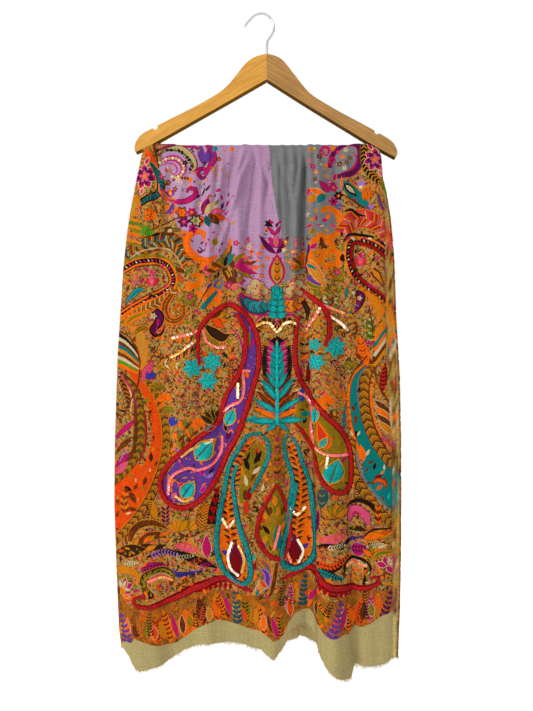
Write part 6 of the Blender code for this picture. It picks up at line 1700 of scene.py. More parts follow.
def draw_filler(d):
    """Small leaves, sprigs and dots between the larger motifs."""
    warm = ["br", "or", "bk", "ol", "og", "br", "ma", "do"]
    kinds = ["leaf", "pair", "leaf", "three", "dot"]
    for box, count, size in (((119, 150, 160, 260), 160, 6), ((150, 360, 238, 460), 1500, 5.4),
            ((150, 300, 250, 380), 500, 5.4), ((120, 250, 235, 340), 520, 5.4),
            ((296, 240, 396, 330), 560, 5.4), ((296, 320, 360, 440), 900, 5.4),
            ((340, 180, 396, 330), 420, 5.4), ((350, 330, 396, 520), 560, 6), ((113, 370, 140, 560), 240, 6),
            ((236, 290, 300, 345), 240, 5), ((244, 320, 300, 440), 420, 3.6),
            ((150, 440, 240, 560), 1100, 5.4), ((240, 430, 320, 600), 1300, 5.2),
            ((113, 500, 260, 610), 1500, 5.6), ((280, 480, 396, 600), 1400, 5.6),
            ((113, 590, 396, 636), 1300, 6)):
        d.scatter(box, count, kinds, warm, size)
    d.scatter((244, 322, 300, 440), 900, ["dot"], ["do", "bk", "og"], 3.4)
    pale = ["or", "ma", "br", "og", "lk", "pk"]
    d.scatter((160, 150, 235, 262), 150, ["leaf", "pair", "bloom"], pale, 4.2)
    d.scatter((309, 150, 345, 240), 150, ["leaf", "pair", "bloom"], pale, 4.2)


def draw_cord_grounds(d):
    """A line in a darker tone of each cord's colour, a little wider than the cord, under every cord."""
    for cords, paint in ((RED_CORDS, "dr"), (TEAL_CORDS, "dt")):
        for points, wide in cords:
            d.stroke(points, tuple(part + 0.8 for part in wide), paint, gap=2.4)


def draw_print(d):
    """The whole print, in painter's order."""
    draw_ground(d)
    for part in (draw_s_bands, draw_arch_left, draw_left_boteh, draw_top_left, draw_centre, draw_top_right,
            draw_middle_left, draw_middle_right, draw_spine, draw_paisley_fill, draw_lower_left,
            draw_lower_right, draw_red_ribbons):
        part(d)
    draw_filler(d)
    draw_border(d)
    draw_cord_grounds(d)


# From the drawing to triangles

TILE = 50.0
MARGIN = 1.5
LATTICE = (3.3, 8.0)
EDGE_MOST = 8.0
FRONT_START = -5.1
BACK_START = 6.2
TOP_END = 12.0
TOP_ROWS = 8
FALL_ROWS = 76
REVERSE_COLUMNS = 98
STRIP_COLUMNS = 22
TURN_COLUMNS = 10
INNER_DEEPER = 0.7
RIM_FLAT = 4.0
RIM_RISE = 14.0
UV_SIDE = 100.0
UV_END = 10.0
PRINT_THROUGH = 0.82
GROUND_THROUGH = 0.18
# Painted light: turned back edges are drawn this much brighter, to make up for the shade they lie in.
TURNED_PAINTED_LIGHT = 1.25


def inside(outline, points):
    """Which points lie in an outline, counted by its turns around each."""
    here, there = outline, np.roll(outline, -1, axis=0)
    x, y = points[:, 0][:, None], points[:, 1][:, None]
    up = (here[:, 1] <= y) & (there[:, 1] > y)
    down = (here[:, 1] > y) & (there[:, 1] <= y)
    left = (there[:, 0] - here[:, 0]) * (y - here[:, 1]) - (x - here[:, 0]) * (there[:, 1] - here[:, 1])
    return ((up & (left > 0)).sum(axis=1) - (down & (left < 0)).sum(axis=1)) != 0


def cut_edges(start, end, low, high):
    """Shares of each edge where it enters and leaves a box."""
    way = end - start
    enter, leave = np.zeros(len(start)), np.ones(len(start))
    for axis in (0, 1):
        flat = np.abs(way[:, axis]) < 1e-9
        safe = np.where(flat, 1.0, way[:, axis])
        one = (low[axis] - start[:, axis]) / safe
        two = (high[axis] - start[:, axis]) / safe
        out = flat & ((start[:, axis] < low[axis]) | (start[:, axis] > high[axis]))
        enter = np.where(flat, np.where(out, 2.0, enter), np.maximum(enter, np.minimum(one, two)))
        leave = np.where(flat, leave, np.minimum(leave, np.maximum(one, two)))
    return enter, leave


def seen_edges(shapes, low, high):
    """Edges of the outlines in a box, without those that a later shape covers."""
    start = np.vstack([part[0] for part in shapes])
    end = np.vstack([np.roll(part[0], -1, axis=0) for part in shapes])
    number = np.repeat(np.arange(len(shapes)), [len(part[0]) for part in shapes])
    after = np.concatenate([np.roll(np.arange(len(part[0])), -1) for part in shapes])
    sizes = [len(part[0]) for part in shapes]
    after = after + np.repeat(np.cumsum([0] + sizes[:-1]), sizes)
    enter, leave = cut_edges(start, end, low, high)
    keep = (enter < leave) & (number > 0)
    middle = (start + end) / 2.0
    for k in range(2, len(shapes)):
        outline, small, large, _ = shapes[k]
        test = np.where(keep & (number < k) & ((middle > small) & (middle < large)).all(axis=1))[0]
        if len(test):
            hid = inside(outline, middle[test])
            test = test[hid]
            if len(test):
                hid = inside(outline, start[test]) & inside(outline, end[test])
                keep[test[hid]] = False
    rows = np.where(keep)[0]
    return start, end, after, enter, leave, rows


def tile_mesh(shapes, corner, far, split):
    """Triangles of one tile and the shape that colours each."""
    grid = [(corner[0] + (far[0] - corner[0]) * u / split[0], corner[1] + (far[1] - corner[1]) * v / split[1])
            for u in range(split[0] + 1) for v in range(split[1] + 1)]
    rows = split[1] + 1
    rim = ([u * rows for u in range(split[0])] + [split[0] * rows + v for v in range(split[1])]
           + [u * rows + split[1] for u in range(split[0], 0, -1)] + list(range(split[1], 0, -1)))
    edges = list(zip(rim, rim[1:] + rim[:1]))
    verts = [Vector(spot) for spot in grid]
    start, end, after, enter, leave, rows = seen_edges(shapes, corner - MARGIN, far + MARGIN)
    known = {}
    for k in rows:
        ends = []
        for share, number, whole in ((enter[k], k, enter[k] <= 0.0), (leave[k], after[k], leave[k] >= 1.0)):
            if whole and number in known:
                ends.append(known[number])
                continue
            spot = start[number] if whole else start[k] + (end[k] - start[k]) * share
            if whole:
                known[number] = len(verts)
            ends.append(len(verts))
            verts.append(Vector((spot[0], spot[1])))
        edges.append(tuple(ends))
    out = delaunay_2d_cdt(verts, edges, [], 0, 1e-4, False)
    spots = np.array([(v.x, v.y) for v in out[0]])
    faces = np.array(out[2])
    middle = spots[faces].mean(axis=1)
    kept = ((middle > corner) & (middle < far)).all(axis=1)
    faces, middle = faces[kept], middle[kept]
    owner = np.zeros(len(faces), dtype=int)
    free = np.arange(len(faces))
    for number in range(len(shapes) - 1, 0, -1):
        outline, low, high, _ = shapes[number]
        near = ((middle[free] > low) & (middle[free] < high)).all(axis=1)
        if not near.any():
            continue
        hit = np.zeros(len(free), dtype=bool)
        hit[near] = inside(outline, middle[free[near]])
        owner[free[hit]] = number
        free = free[~hit]
        if not len(free):
            break
    return spots, faces, owner


def short_edges(outline, most):
    """The same outline with points added along its long straight edges."""
    outline = np.asarray(outline, dtype=float)
    after = np.roll(outline, -1, axis=0)
    counts = np.maximum(1, np.ceil(np.linalg.norm(after - outline, axis=1) / most)).astype(int)
    return np.vstack([start + (end - start) * (np.arange(count) / count)[:, None]
                      for start, end, count in zip(outline, after, counts)])


def mosaic(shapes, low, high):
    """Triangles over a box of the cloth; the last shape drawn over one gives its colour."""
    shapes = shapes[:1] + [(short_edges(outline, EDGE_MOST), tint) for outline, tint in shapes[1:]]
    ready = [(outline, outline.min(axis=0), outline.max(axis=0), tint) for outline, tint in shapes]
    index, spots, faces, tints = {}, [], [], []
    counts = [max(1, int(round((high[k] - low[k]) / TILE))) for k in (0, 1)]
    size = [(high[k] - low[k]) / counts[k] for k in (0, 1)]
    split = [max(1, int(round(size[k] / LATTICE[k]))) for k in (0, 1)]
    for i in range(counts[0]):
        for j in range(counts[1]):
            corner = np.array([low[0] + i * size[0], low[1] + j * size[1]])
            far = corner + size
            near = [ready[0]] + [part for part in ready[1:]
                                 if not ((part[2] < corner).any() or (part[1] > far).any())]
            points, corners, owner = tile_mesh(near, corner, far, split)
            number = []
            for x, y in points:
                key = (round(x, 3), round(y, 3))
                if key not in index:
                    index[key] = len(spots)
                    spots.append(key)
                number.append(index[key])
            number = np.array(number)[corners]
            first, second, third = number.T
            real = (first != second) & (second != third) & (first != third)
            faces.append(number[real])
            tints.append(np.array([part[3] for part in near])[owner[real]])
    return np.array(spots), np.vstack(faces), np.vstack(tints)


class Shell:
    """Parts of one cloth object, joined as they come."""

    def __init__(self):
        self.verts, self.normals, self.faces, self.uvs, self.tints, self.slots = [], [], [], [], [], []
        self.count = 0

    def add(self, points, normals, faces, uv, tints, slot):
        """Faces of equal size; tints for each face, or for each point."""
        faces = np.asarray(faces)
        if tints.shape[1] == 3:
            tints = np.hstack([tints, np.ones((len(tints), 1))])
        by_point = len(tints) == len(points)
        self.tints.append(tints[faces.ravel()] if by_point else np.repeat(tints, faces.shape[1], axis=0))
        self.verts.append(points)
        self.normals.append(normals)
        self.faces.extend((faces + self.count).tolist())
        self.uvs.append(uv)
        self.slots.append(np.full(len(faces), slot))
        self.count += len(points)

    def build(self, name, materials, slot):
        verts = np.vstack(self.verts) * MM
        faces = self.faces
        data = bpy.data.meshes.new(name)
        data.from_pydata(verts.tolist(), [], faces)
        uv = np.vstack(self.uvs)
        loops = np.empty(len(data.loops), dtype=np.int64)
        data.loops.foreach_get("vertex_index", loops)
        data.uv_layers.new(name="OFBake").data.foreach_set("uv", uv[loops].astype(np.float32).ravel())
        layer = data.color_attributes.new("paint", "FLOAT_COLOR", "CORNER")
        layer.data.foreach_set("color", np.vstack(self.tints).astype(np.float32).ravel())
        for material in materials:
            data.materials.append(material)
        data.polygons.foreach_set("material_index", np.concatenate(self.slots).astype(np.int32))
        data.polygons.foreach_set("use_smooth", np.ones(len(faces), dtype=bool))
        data.normals_split_custom_set_from_vertices(np.vstack(self.normals).tolist())
        data.validate()
        return new_piece(name, data)


def new_piece(name, data):
    """An object in the scene that rides on the part."""
    item = bpy.data.objects.new(name, data)
    bpy.context.scene.collection.objects.link(item)
    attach(item, "root")
    return item


def grid_faces(rows, cols, flip):
    """Quads of a grid of rows and columns."""
    faces = []
    for r in range(rows - 1):
        for c in range(cols - 1):
            k = r * cols + c
            quad = (k, k + 1, k + cols + 1, k + cols)
            faces.append(quad[::-1] if flip else quad)
    return faces


def sheet_uv(a, b, front):
    """Front and back falls side by side in one square."""
    u = (np.asarray(a) + UV_SIDE) / (WIDE + 2.0 * UV_SIDE) * 0.5
    v = 1.0 - (np.asarray(b) + UV_END) / (LONG + 2.0 * UV_END)
    return np.stack([u if front else 1.0 - u, v], axis=-1)


def patch(shell, a_line, b_line, front, lift, inner, slot, seen):
    """A plain grid of the cloth, outer or inner side, with the print showing through."""
    a, b = np.meshgrid(a_line, b_line)
    a, b = a.ravel(), b.ravel()
    near_left, near_right = (a - RIM_FLAT) / RIM_RISE, (WIDE - RIM_FLAT - a) / RIM_RISE
    lifts = lift - INNER_DEEPER * smooth(near_left) * smooth(near_right) if inner else np.full(a.size, lift)
    points, normals = sheet_points(a, b, front, lifts)
    faces = grid_faces(len(b_line), len(a_line), front != inner)
    shell.add(points, -normals if inner else normals, faces, sheet_uv(a, b, front), seen(a, b), slot)


def show_through(spots, faces, tints):
    """Colours of the reverse: the print, paler and less sharp, with painted light that brightens the turned
    back edges lying in shade.
    """
    tree = KDTree(len(faces))
    for k, (x, y) in enumerate(spots[faces].mean(axis=1)):
        tree.insert((x, y, 0.0), k)
    tree.balance()
    ground = np.append(linear(PAINT["kh"]), 1.0)

    def seen(a, b):
        beyond = np.maximum(-ROLL_LONG - a, a - WIDE - ROLL_LONG)
        share = np.clip(beyond / ROLL_LONG, 0.0, 1.0) * TURN_BACK
        away = np.where(a < -ROLL_LONG, share, np.where(a > WIDE + ROLL_LONG, WIDE - share, a))
        rows = [tree.find((x, y, 0.0))[1] for x, y in zip(away, b)]
        shown = tints[rows] * PRINT_THROUGH + ground * GROUND_THROUGH
        # painted light: the turned back edges are brightened against their shade
        shown[:, :3] *= np.where(beyond > 0.0, TURNED_PAINTED_LIGHT, 1.0)[:, None]
        shown[:, 3] = np.where(beyond > 0.0, 1.0, tints[rows, 3])
        return shown
    return seen


def build_shawl(front, spots, faces, tints, materials, seen):
    """One fall: the printed face, the turned back edges, the reverse and the cut hem between."""
    shell = Shell()
    start = FRONT_START if front else BACK_START
    a, b = spots[:, 0], np.maximum(spots[:, 1], start)
    points, normals = sheet_points(a, b, front, np.full(len(a), SKIN))
    order = faces[:, ::-1] if front else faces
    shell.add(points, normals, order, sheet_uv(a, b, front), tints, 0)
    top_rows = np.linspace(start, TOP_END, TOP_ROWS)[:-1] if front else [start, 8.0, 10.0]
    b_line = np.concatenate([top_rows, np.linspace(TOP_END, LONG, FALL_ROWS)])
    left = np.linspace(-2 * ROLL_LONG, -ROLL_LONG, STRIP_COLUMNS)
    right = WIDE - left[::-1]
    for run in (left, right):
        patch(shell, run, b_line, front, SKIN, False, 1, seen)
    whole = np.concatenate([np.linspace(-2 * ROLL_LONG, -ROLL_LONG, TURN_COLUMNS)[:-1],
                            np.linspace(-ROLL_LONG, 0, TURN_COLUMNS)[:-1],
                            np.linspace(0, WIDE, REVERSE_COLUMNS),
                            np.linspace(WIDE, WIDE + ROLL_LONG, TURN_COLUMNS)[1:],
                            np.linspace(WIDE + ROLL_LONG, WIDE + 2 * ROLL_LONG, TURN_COLUMNS)[1:]])
    patch(shell, whole, b_line, front, INNER, True, 1, seen)
    for b_end, down in ((LONG, -1.0), (start, 1.0)):
        rims = [sheet_points(whole, np.full(len(whole), b_end), front, np.full(len(whole), lift))[0]
                for lift in (SKIN, INNER)]
        both = np.vstack(rims)
        shell.add(both, np.tile((0.0, 0.0, down), (len(both), 1)),
                  grid_faces(2, len(whole), front == (down < 0)),
                  sheet_uv(np.tile(whole, 2), np.full(len(both), b_end), front),
                  np.tile(linear(PAINT["lk"]), (len(whole) - 1, 1)), 1)
    return shell.build("shawl_front_fall" if front else "shawl_back_fall", materials, "printed_cloth")


# Raised yarn, sequins and fringe

class Bits:
    """Many small pieces of one kind in one mesh, with a tint each."""

    def __init__(self):
        self.verts, self.faces, self.tints = [], [], []
        self.count = 0

    def add(self, verts, faces, tint):
        self.faces.extend(tuple(k + self.count for k in face) for face in faces)
        self.tints.append(np.tile(tint, (len(faces), 1)))
        self.verts.append(np.asarray(verts, dtype=float))
        self.count += len(verts)

    def place(self, form, spots, run, side, up, tints):
        """Copies of a small form (verts, faces) on the frames given by spots and three axes."""
        verts, faces = form
        made = (spots[:, None] + verts[None, :, 0:1] * run[:, None] + verts[None, :, 1:2] * side[:, None]
                + verts[None, :, 2:3] * up[:, None])
        for _ in spots:
            self.faces.extend(tuple(n + self.count for n in face) for face in faces)
            self.count += len(verts)
        self.verts.append(made.reshape(-1, 3))
        self.tints.append(np.repeat(tints, len(faces), axis=0))

    def build(self, name, material, slot, smooth=True):
        data = bpy.data.meshes.new(name)
        data.from_pydata((np.vstack(self.verts) * MM).tolist(), [], self.faces)
        sizes = np.array([len(face) for face in self.faces])
        tint = np.repeat(np.vstack(self.tints), sizes, axis=0)
        layer = data.color_attributes.new("paint", "FLOAT_COLOR", "CORNER")
        layer.data.foreach_set("color", np.hstack([tint, np.ones((len(tint), 1))]).astype(np.float32).ravel())
        data.materials.append(material)
        data.polygons.foreach_set("use_smooth", np.full(len(self.faces), smooth))
        data.validate()
        return new_piece(name, data)


def seed_form():
    """A stitch: a plump spindle with five sides, 2 long, 2 wide and 1 high."""
    ring = [(math.cos(t), math.sin(t)) for t in np.linspace(0, 2 * math.pi, 6)[:-1] + math.pi / 2]
    verts = [(-1.0, 0.0, 0.0)] + [(x, c * 0.92, s) for x in (-0.5, 0.5) for c, s in ring] + [(1.0, 0.0, 0.0)]
    faces = []
    for k in range(5):
        n = (k + 1) % 5
        faces += [(0, 1 + n, 1 + k), (1 + k, 1 + n, 6 + n, 6 + k), (6 + k, 6 + n, 11)]
    return np.array(verts), faces


def disc_form(count=8):
    """A sequin: a shallow cup with a flat back."""
    turns = np.linspace(0, 2 * math.pi, count + 1)[:-1]
    verts = [(0.0, 0.0, -0.10)] + [(math.cos(t), math.sin(t), 0.10) for t in turns]
    verts += [(0.0, 0.0, -0.22)]
    faces = [(0, 1 + k, 1 + (k + 1) % count) for k in range(count)]
    faces += [(1 + count, 1 + (k + 1) % count, 1 + k) for k in range(count)]
    return np.array(verts), faces


CLOTH = {}
CORNER_PX = (112.0, 280.0)
GRID_PX = (285, 370)


def on_cloth(points, front, lift):
    """Spots on the cloth, and its normals, for places in the drawing, from a grid of them."""
    if front not in CLOTH:
        x, y = np.meshgrid(np.arange(GRID_PX[0]), np.arange(GRID_PX[1]))
        place = drawing_to_sheet(np.stack([x.ravel() + CORNER_PX[0], y.ravel() + CORNER_PX[1]], axis=1))
        spots, normals = sheet_points(place[:, 0], place[:, 1], front, np.zeros(len(place)))
        CLOTH[front] = np.hstack([spots, normals]).reshape(GRID_PX[1], GRID_PX[0], 6)
    table = CLOTH[front]
    at = np.clip(points - np.array(CORNER_PX), 0.0, np.array(GRID_PX) - 1.001)
    col, row = at[:, 0].astype(int), at[:, 1].astype(int)
    u, v = (at[:, 0] - col)[:, None], (at[:, 1] - row)[:, None]
    found = ((table[row, col] * (1 - u) + table[row, col + 1] * u) * (1 - v)
             + (table[row + 1, col] * (1 - u) + table[row + 1, col + 1] * u) * v)
    normals = unit(found[:, 3:])
    return found[:, :3] + normals * lift, normals


def unit(rows):
    """Rows at length 1."""
    return rows / np.maximum(np.linalg.norm(rows, axis=-1, keepdims=True), 1e-9)


def shades(paint, count, spread=0.16):
    """One colour in slightly different depths."""
    return linear(PAINT[paint]) * (1.0 + RNG.uniform(-spread, spread, (count, 1)))


def cord(bits, points, wide, rows, paint, front, stitch=3.1, tilt=0.34, spread=0.16):
    """Rows of chain stitches side by side along a line of the drawing."""
    line = even(spline(points, 40 * len(points)), stitch * 0.62 / UNIT)
    out = sides(line)[1]
    breadth = np.interp(np.linspace(0, 1, len(line)), np.linspace(0, 1, len(wide)), wide)
    for r in range(rows):
        share = (r + 0.5) / rows - 0.5
        row = line + out * (share * breadth * 0.72 + RNG.normal(0, 0.16, len(line)))[:, None]
        if r % 2:
            row = (row + np.roll(row, 1, axis=0))[1:] / 2.0
        spots, up = on_cloth(row, front, SKIN + 0.45 + 0.5 * (1.0 - abs(2 * share)))
        run = unit(np.gradient(spots, axis=0))
        side = unit(np.cross(up, run))
        lean = (tilt if share > 0 else -tilt) + RNG.normal(0, 0.12, len(row))[:, None]
        lie = unit(run + side * lean)
        across = unit(np.cross(up, lie))
        half = np.interp(np.linspace(0, 1, len(row)), np.linspace(0, 1, len(wide)), wide)[:, None]
        half = half * UNIT / rows * 0.68
        half = half * RNG.uniform(0.85, 1.2, half.shape)
        bits.place(SEED, spots, lie * stitch * 0.58, across * half, up * np.minimum(half, 1.3) * 0.95,
                   shades(paint, len(row), spread))


def satin(bits, x, y, angle, long, wide, paint, front, bend=0.0, rim=None, blunt=1.0):
    """A raised leaf of threads side by side, slanting from its midline to its edge."""
    turn = math.radians(angle)
    count = max(4, int(long * UNIT / 1.25))
    t = (np.arange(count) + 0.5) / count
    for sign in (-1.0, 1.0):
        foot = np.stack([t * long * 0.96, bend * long * (t - t * t) * 2], 1)
        reach = np.clip(t + 0.16 * (1 - t), 0, 1)
        body = np.sin(np.pi * reach ** 0.85) ** blunt * wide / 2.0
        tip = np.stack([reach * long, bend * long * (reach - reach ** 2) * 2 + sign * body], 1)
        middle = foot * 0.45 + tip * 0.55
        ends = [on_cloth(Drawing.spin(part, x, y, turn), front, SKIN + high)
                for part, high in ((foot, 0.45), (middle, 0.95), (tip, 0.12))]
        spots = (ends[0][0] + ends[2][0]) / 2.0
        run = (ends[2][0] - ends[0][0]) / 2.0
        up = ends[1][1]
        rise = np.sum((ends[1][0] - spots) * up, axis=1, keepdims=True)
        side = unit(np.cross(up, run)) * 0.72
        bits.place(SEED, spots + up * rise * 0.35, run * 1.04, side, up * np.maximum(rise, 0.45),
                   shades(paint, count, 0.22))
    if rim:
        t = np.linspace(0, 1, max(5, int(long / 2.4)))
        body = np.sin(np.pi * t ** 0.85) * wide / 2.0
        for sign in (-1.0, 1.0):
            edge = np.stack([t * long, bend * long * (t - t * t) * 2 + sign * body], 1)
            cord(bits, Drawing.spin(edge, x, y, turn), (0.9, 0.9), 1, rim, front, 2.2)


def blossom(bits, x, y, radius, petals, paint, front, start=0.0):
    """A raised flower of blunt petals."""
    for k in range(petals):
        satin(bits, x, y, start + 360.0 * k / petals, radius, radius * 0.66, paint, front, blunt=0.55)


def sequins(bits, points, front, paints, gap=1.7, size=2.5):
    """A line of overlapping sequins, each a little turned."""
    line = even(spline(points, 40 * len(points)), gap)
    spots, up = on_cloth(line, front, SKIN + 0.75)
    run = unit(np.gradient(spots, axis=0))
    up = unit(up - run * 0.26 + RNG.normal(0, 0.10, up.shape))
    side = unit(np.cross(up, run))
    run = unit(np.cross(side, up))
    sizes = size * RNG.uniform(0.92, 1.08, (len(line), 1))
    names = [paints[RNG.integers(len(paints))] for _ in line]
    tints = np.vstack([shades(name, 1) for name in names])
    bits.place(DISC, spots, run * sizes, side * sizes, up * sizes, tints)


SEED = seed_form()
DISC = disc_form()
RED_CORDS = (
    ([(199, 366), (198, 347), (198, 333), (205, 321), (218, 309), (229, 304), (239, 309), (249, 319),
    (256, 333), (259, 351), (258, 369), (252, 391), (245, 414), (238, 434), (227, 454), (217, 478),
    (206, 494), (195, 504), (183, 508), (172, 505), (163, 496), (160, 482), (166, 468), (183, 451),
    (201, 436), (218, 423), (222, 409), (227, 394), (236, 380), (243, 364), (246, 346), (245, 329),
    (237, 314)], (2, 4.4, 5, 5, 5, 5, 5, 5, 5, 5, 5, 5, 5, 5, 4.6, 4.4, 3.4)),
    ([(301, 288), (309, 294), (319, 302), (326, 310), (330, 320), (330, 334), (326, 346)],
    (2.4, 4, 5, 5, 4.4, 3)), ([(299, 316), (296, 336), (295, 357), (300, 379), (312, 396), (325, 413),
    (341, 430), (350, 447), (352, 466), (351, 484), (345, 492), (335, 491), (326, 483), (320, 470)],
    (2, 4.4, 5, 5, 5, 5, 5, 5, 4.4, 3)), ([(296, 424), (306, 437), (316, 454), (320, 472)], (2.4, 3.6, 4, 4)),
    ([(277, 484), (269, 497), (260, 516), (257, 534), (264, 550), (275, 558), (284, 556), (290, 540),
    (289, 520), (284, 500), (278, 486)], (2, 3.6, 4, 4.4, 4.4, 3.6, 2.4)),
    ([(146, 597), (137, 597), (134, 602), (140, 606), (151, 606), (169, 601), (184, 594), (202, 585),
    (217, 579), (231, 580), (242, 586), (252, 591)], (1.6, 3, 4, 4.6, 5, 6, 6.4, 6, 5, 4, 2)),
    ([(281, 580), (296, 574), (311, 568), (319, 572), (327, 582), (342, 587), (358, 588), (371, 586),
    (379, 582), (377, 577), (372, 577)], (1.8, 3.4, 4.6, 5.4, 6.2, 6.4, 6, 5, 4, 3, 1.6)),
)
TEAL_CORDS = (
    ([(262, 433), (252, 434), (245, 438), (238, 450), (230, 464), (226, 482), (222, 502), (217, 530),
    (217, 552), (223, 569), (234, 580), (245, 583), (251, 573), (248, 551), (241, 530), (236, 508),
    (233, 482), (237, 465)], (2, 4, 4.6, 5, 5, 5, 5, 5, 4.4, 3)), ([(264, 436), (269, 444), (268, 458),
    (259, 478), (251, 492)], (2, 3.6, 4, 3.6, 2)), ([(288, 435), (284, 444), (286, 458), (293, 480),
    (289, 506), (286, 522)], (2, 3.6, 4, 3.6, 2)), ([(292, 437), (298, 446), (302, 462), (309, 480),
    (312, 496), (315, 522), (316, 548), (310, 563), (297, 570), (286, 567), (282, 560), (283, 546),
    (289, 524), (293, 506), (297, 484)], (2, 4, 5, 5, 5, 5, 4.6, 4.4, 3)),
)
SEQUIN_LINES = (
    ([(198, 331), (191, 334), (183, 336), (173, 338)], ("sa", "sa", "ws")),
    ([(195, 341), (188, 347), (180, 353), (171, 357)], ("go", "ws")), ([(203, 331), (206, 341), (215, 347),
    (224, 347)], ("sa",)), ([(238, 384), (238, 397)], ("cr",)), ([(249, 371), (243, 372), (244, 386),
    (241, 400), (230, 406), (223, 412)], ("sa",)), ([(222, 437), (221, 451), (212, 464), (198, 470),
    (188, 468), (175, 474), (169, 482), (168, 494)], ("sa", "sa", "sa", "pk")),
    ([(321, 309), (316, 319), (308, 330)], ("sa", "sa", "ws")), ([(325, 306), (336, 310), (346, 313)],
    ("sa", "go")), ([(331, 317), (341, 323), (349, 330)], ("ws",)), ([(299, 393), (308, 399), (312, 411),
    (311, 429), (316, 445), (329, 454), (347, 455)], ("sa", "sa", "pk")), ([(329, 457), (328, 466)], ("ws",)),
    ([(257, 326), (263, 323), (270, 324), (277, 332), (284, 324), (291, 322), (297, 325)], ("go", "cr")),
    ([(279, 526), (277, 536), (274, 548)], ("sa",)), ([(149, 580), (160, 577), (172, 580)], ("sa", "go")),
    ([(347, 565), (356, 562), (366, 565)], ("sa", "go")), ([(232, 543), (228, 556), (231, 568), (238, 574)],
    ("ws",)), ([(239, 545), (244, 558), (242, 571)], ("go",)), ([(291, 540), (287, 552), (291, 563)],
    ("go", "sa")), ([(298, 541), (303, 552), (299, 563)], ("ws",)), ([(222, 520), (228, 528), (235, 520)],
    ("ws", "go")), ([(290, 508), (297, 515), (305, 508)], ("ws", "go")),
    ([(182, 456), (190, 450), (199, 446)], ("go",)), ([(205, 444), (212, 440)], ("ws",)),
    ([(176, 496), (184, 501), (193, 498)], ("go",)),
)
SATIN_LEAVES = (
    (226, 426, 62, 20, 12, 1), (196, 460, 50, 26, 19, 1), (182, 498, 54, 21, 15, 1), (317, 424, 84, 20, 8, 1),
    (331, 483, 72, 26, 19, 1), (322, 448, 60, 14, 7, 1), (206, 430, 20, 10, 5, 0),
    (277, 400, 128, 25, 4.2, 0), (278, 399, 52, 25, 4.2, 0), (277, 412, 150, 27, 4.2, 0),
    (278, 412, 32, 27, 4.2, 0), (276, 421, 178, 27, 4.4, 0), (278, 421, 4, 27, 4.4, 0),
    (276, 423, 222, 12, 4, 0), (279, 423, 318, 12, 4, 0), (277, 388, 124, 18, 3.8, 0),
    (277, 388, 56, 18, 3.8, 0), (277, 376, 124, 13, 3.6, 0), (277, 376, 56, 13, 3.6, 0),
    (277, 365, 124, 11, 3.4, 0), (277, 365, 56, 11, 3.4, 0), (277, 354, 118, 9, 3.2, 0),
    (277, 354, 62, 9, 3.2, 0), (277, 317, 158, 10, 6, 0), (277, 317, 22, 10, 6, 0), (277, 311, 152, 10, 6, 0),
    (277, 311, 28, 10, 6, 0), (277, 305, 148, 9, 5.4, 0), (277, 305, 32, 9, 5.4, 0), (277, 299, 140, 8, 5, 0),
    (277, 299, 40, 8, 5, 0), (277, 297, 90, 10, 5, 0),
)
SATIN_FLOWERS = (
    (193, 368, 10, 6, 10), (212, 362, 10, 6, 40), (208, 381, 10, 6, 0), (336, 347, 11, 6, 20),
    (318, 362, 9, 6, 50), (317, 345, 7, 5, 0),
)


def build_embroidery(front, thread, shine):
    """Red and turquoise cords, satin leaves and lines of sequins on one fall."""
    tag = "front" if front else "back"
    red, blue, discs = Bits(), Bits(), Bits()
    for points, wide in RED_CORDS:
        cord(red, points, wide, 2, "rd", front, 4.0, 1.05, 0.36)
    for points, wide in TEAL_CORDS:
        cord(blue, points, wide, 2, "te", front, 4.0, 1.1, 0.36)
    cord(blue, [(277, 342), (277, 380), (277, 424)], (2.4, 3, 4), 2, "tq", front)
    for x, y, angle, long, wide, rim in SATIN_LEAVES:
        satin(blue, x, y, angle, long, wide, "tq", front, rim="og" if rim else "te")
    for x, y, radius, petals, start in SATIN_FLOWERS:
        blossom(blue, x, y, radius, petals, "tq", front, start)
    for points, paints in SEQUIN_LINES:
        sequins(discs, points, front, paints)
    return [red.build("red_cord_" + tag, thread, "printed_cloth"),
            blue.build("turquoise_stitching_" + tag, thread, "printed_cloth"),
            discs.build("sequins_" + tag, shine, "printed_cloth", False)]


def hair(bits, root, way, radius, tint, bend):
    """A tapering yarn end of three sides from its root."""
    rings = []
    for share, size in ((0.0, 1.0), (0.55, 0.75), (1.0, 0.28)):
        centre = root + way * share + bend * share * share
        rings.append([centre + np.array([math.cos(t), math.sin(t), 0.0]) * radius * size
                      for t in (0.0, 2.094, 4.189)])
    faces = []
    for r in (0, 3):
        for k in range(3):
            n = (k + 1) % 3
            faces.append((r + k, r + n, r + n + 3, r + k + 3))
    faces.append((6, 7, 8))
    bits.add([p for ring in rings for p in ring], faces, tint)


def build_fringe(front, count, material):
    """Frayed ends: many short fine yarns along the hem, uneven in length and direction."""
    bits = Bits()
    a = np.sort(RNG.uniform(-2 * ROLL_LONG, WIDE + 2 * ROLL_LONG, count))
    roots = sheet_points(a, np.full(count, LONG - 1.5), front, RNG.uniform(-0.2, 0.2, count))[0]
    patchy = 0.5 + 0.5 * np.sin(a / 9.0) * np.sin(a / 23.0 + 1.0)
    for k in range(count):
        long = RNG.uniform(2.2, 5.5) + RNG.random() ** 2.5 * 12.0 * patchy[k]
        way = np.array([RNG.normal(0, 0.22), RNG.normal(0, 0.12), -1.0]) * long
        bend = np.array([RNG.normal(0, 0.3), RNG.normal(0, 0.25), 0.1]) * long * 0.6
        paint = linear(PAINT["lk"]) * RNG.uniform(0.72, 1.12)
        hair(bits, roots[k], way, RNG.uniform(0.13, 0.26), paint, bend)
    return bits.build("frayed_ends_front" if front else "frayed_ends_back", material, "frayed_yarn")


# Hanger

MITRE_X = 10.3
MITRE_NEAR = 0.5
MITRE_CLOSER = 0.13
ARM_EASING = 2.6
HOOK_STEPS = 120
HOOK_RING = 16


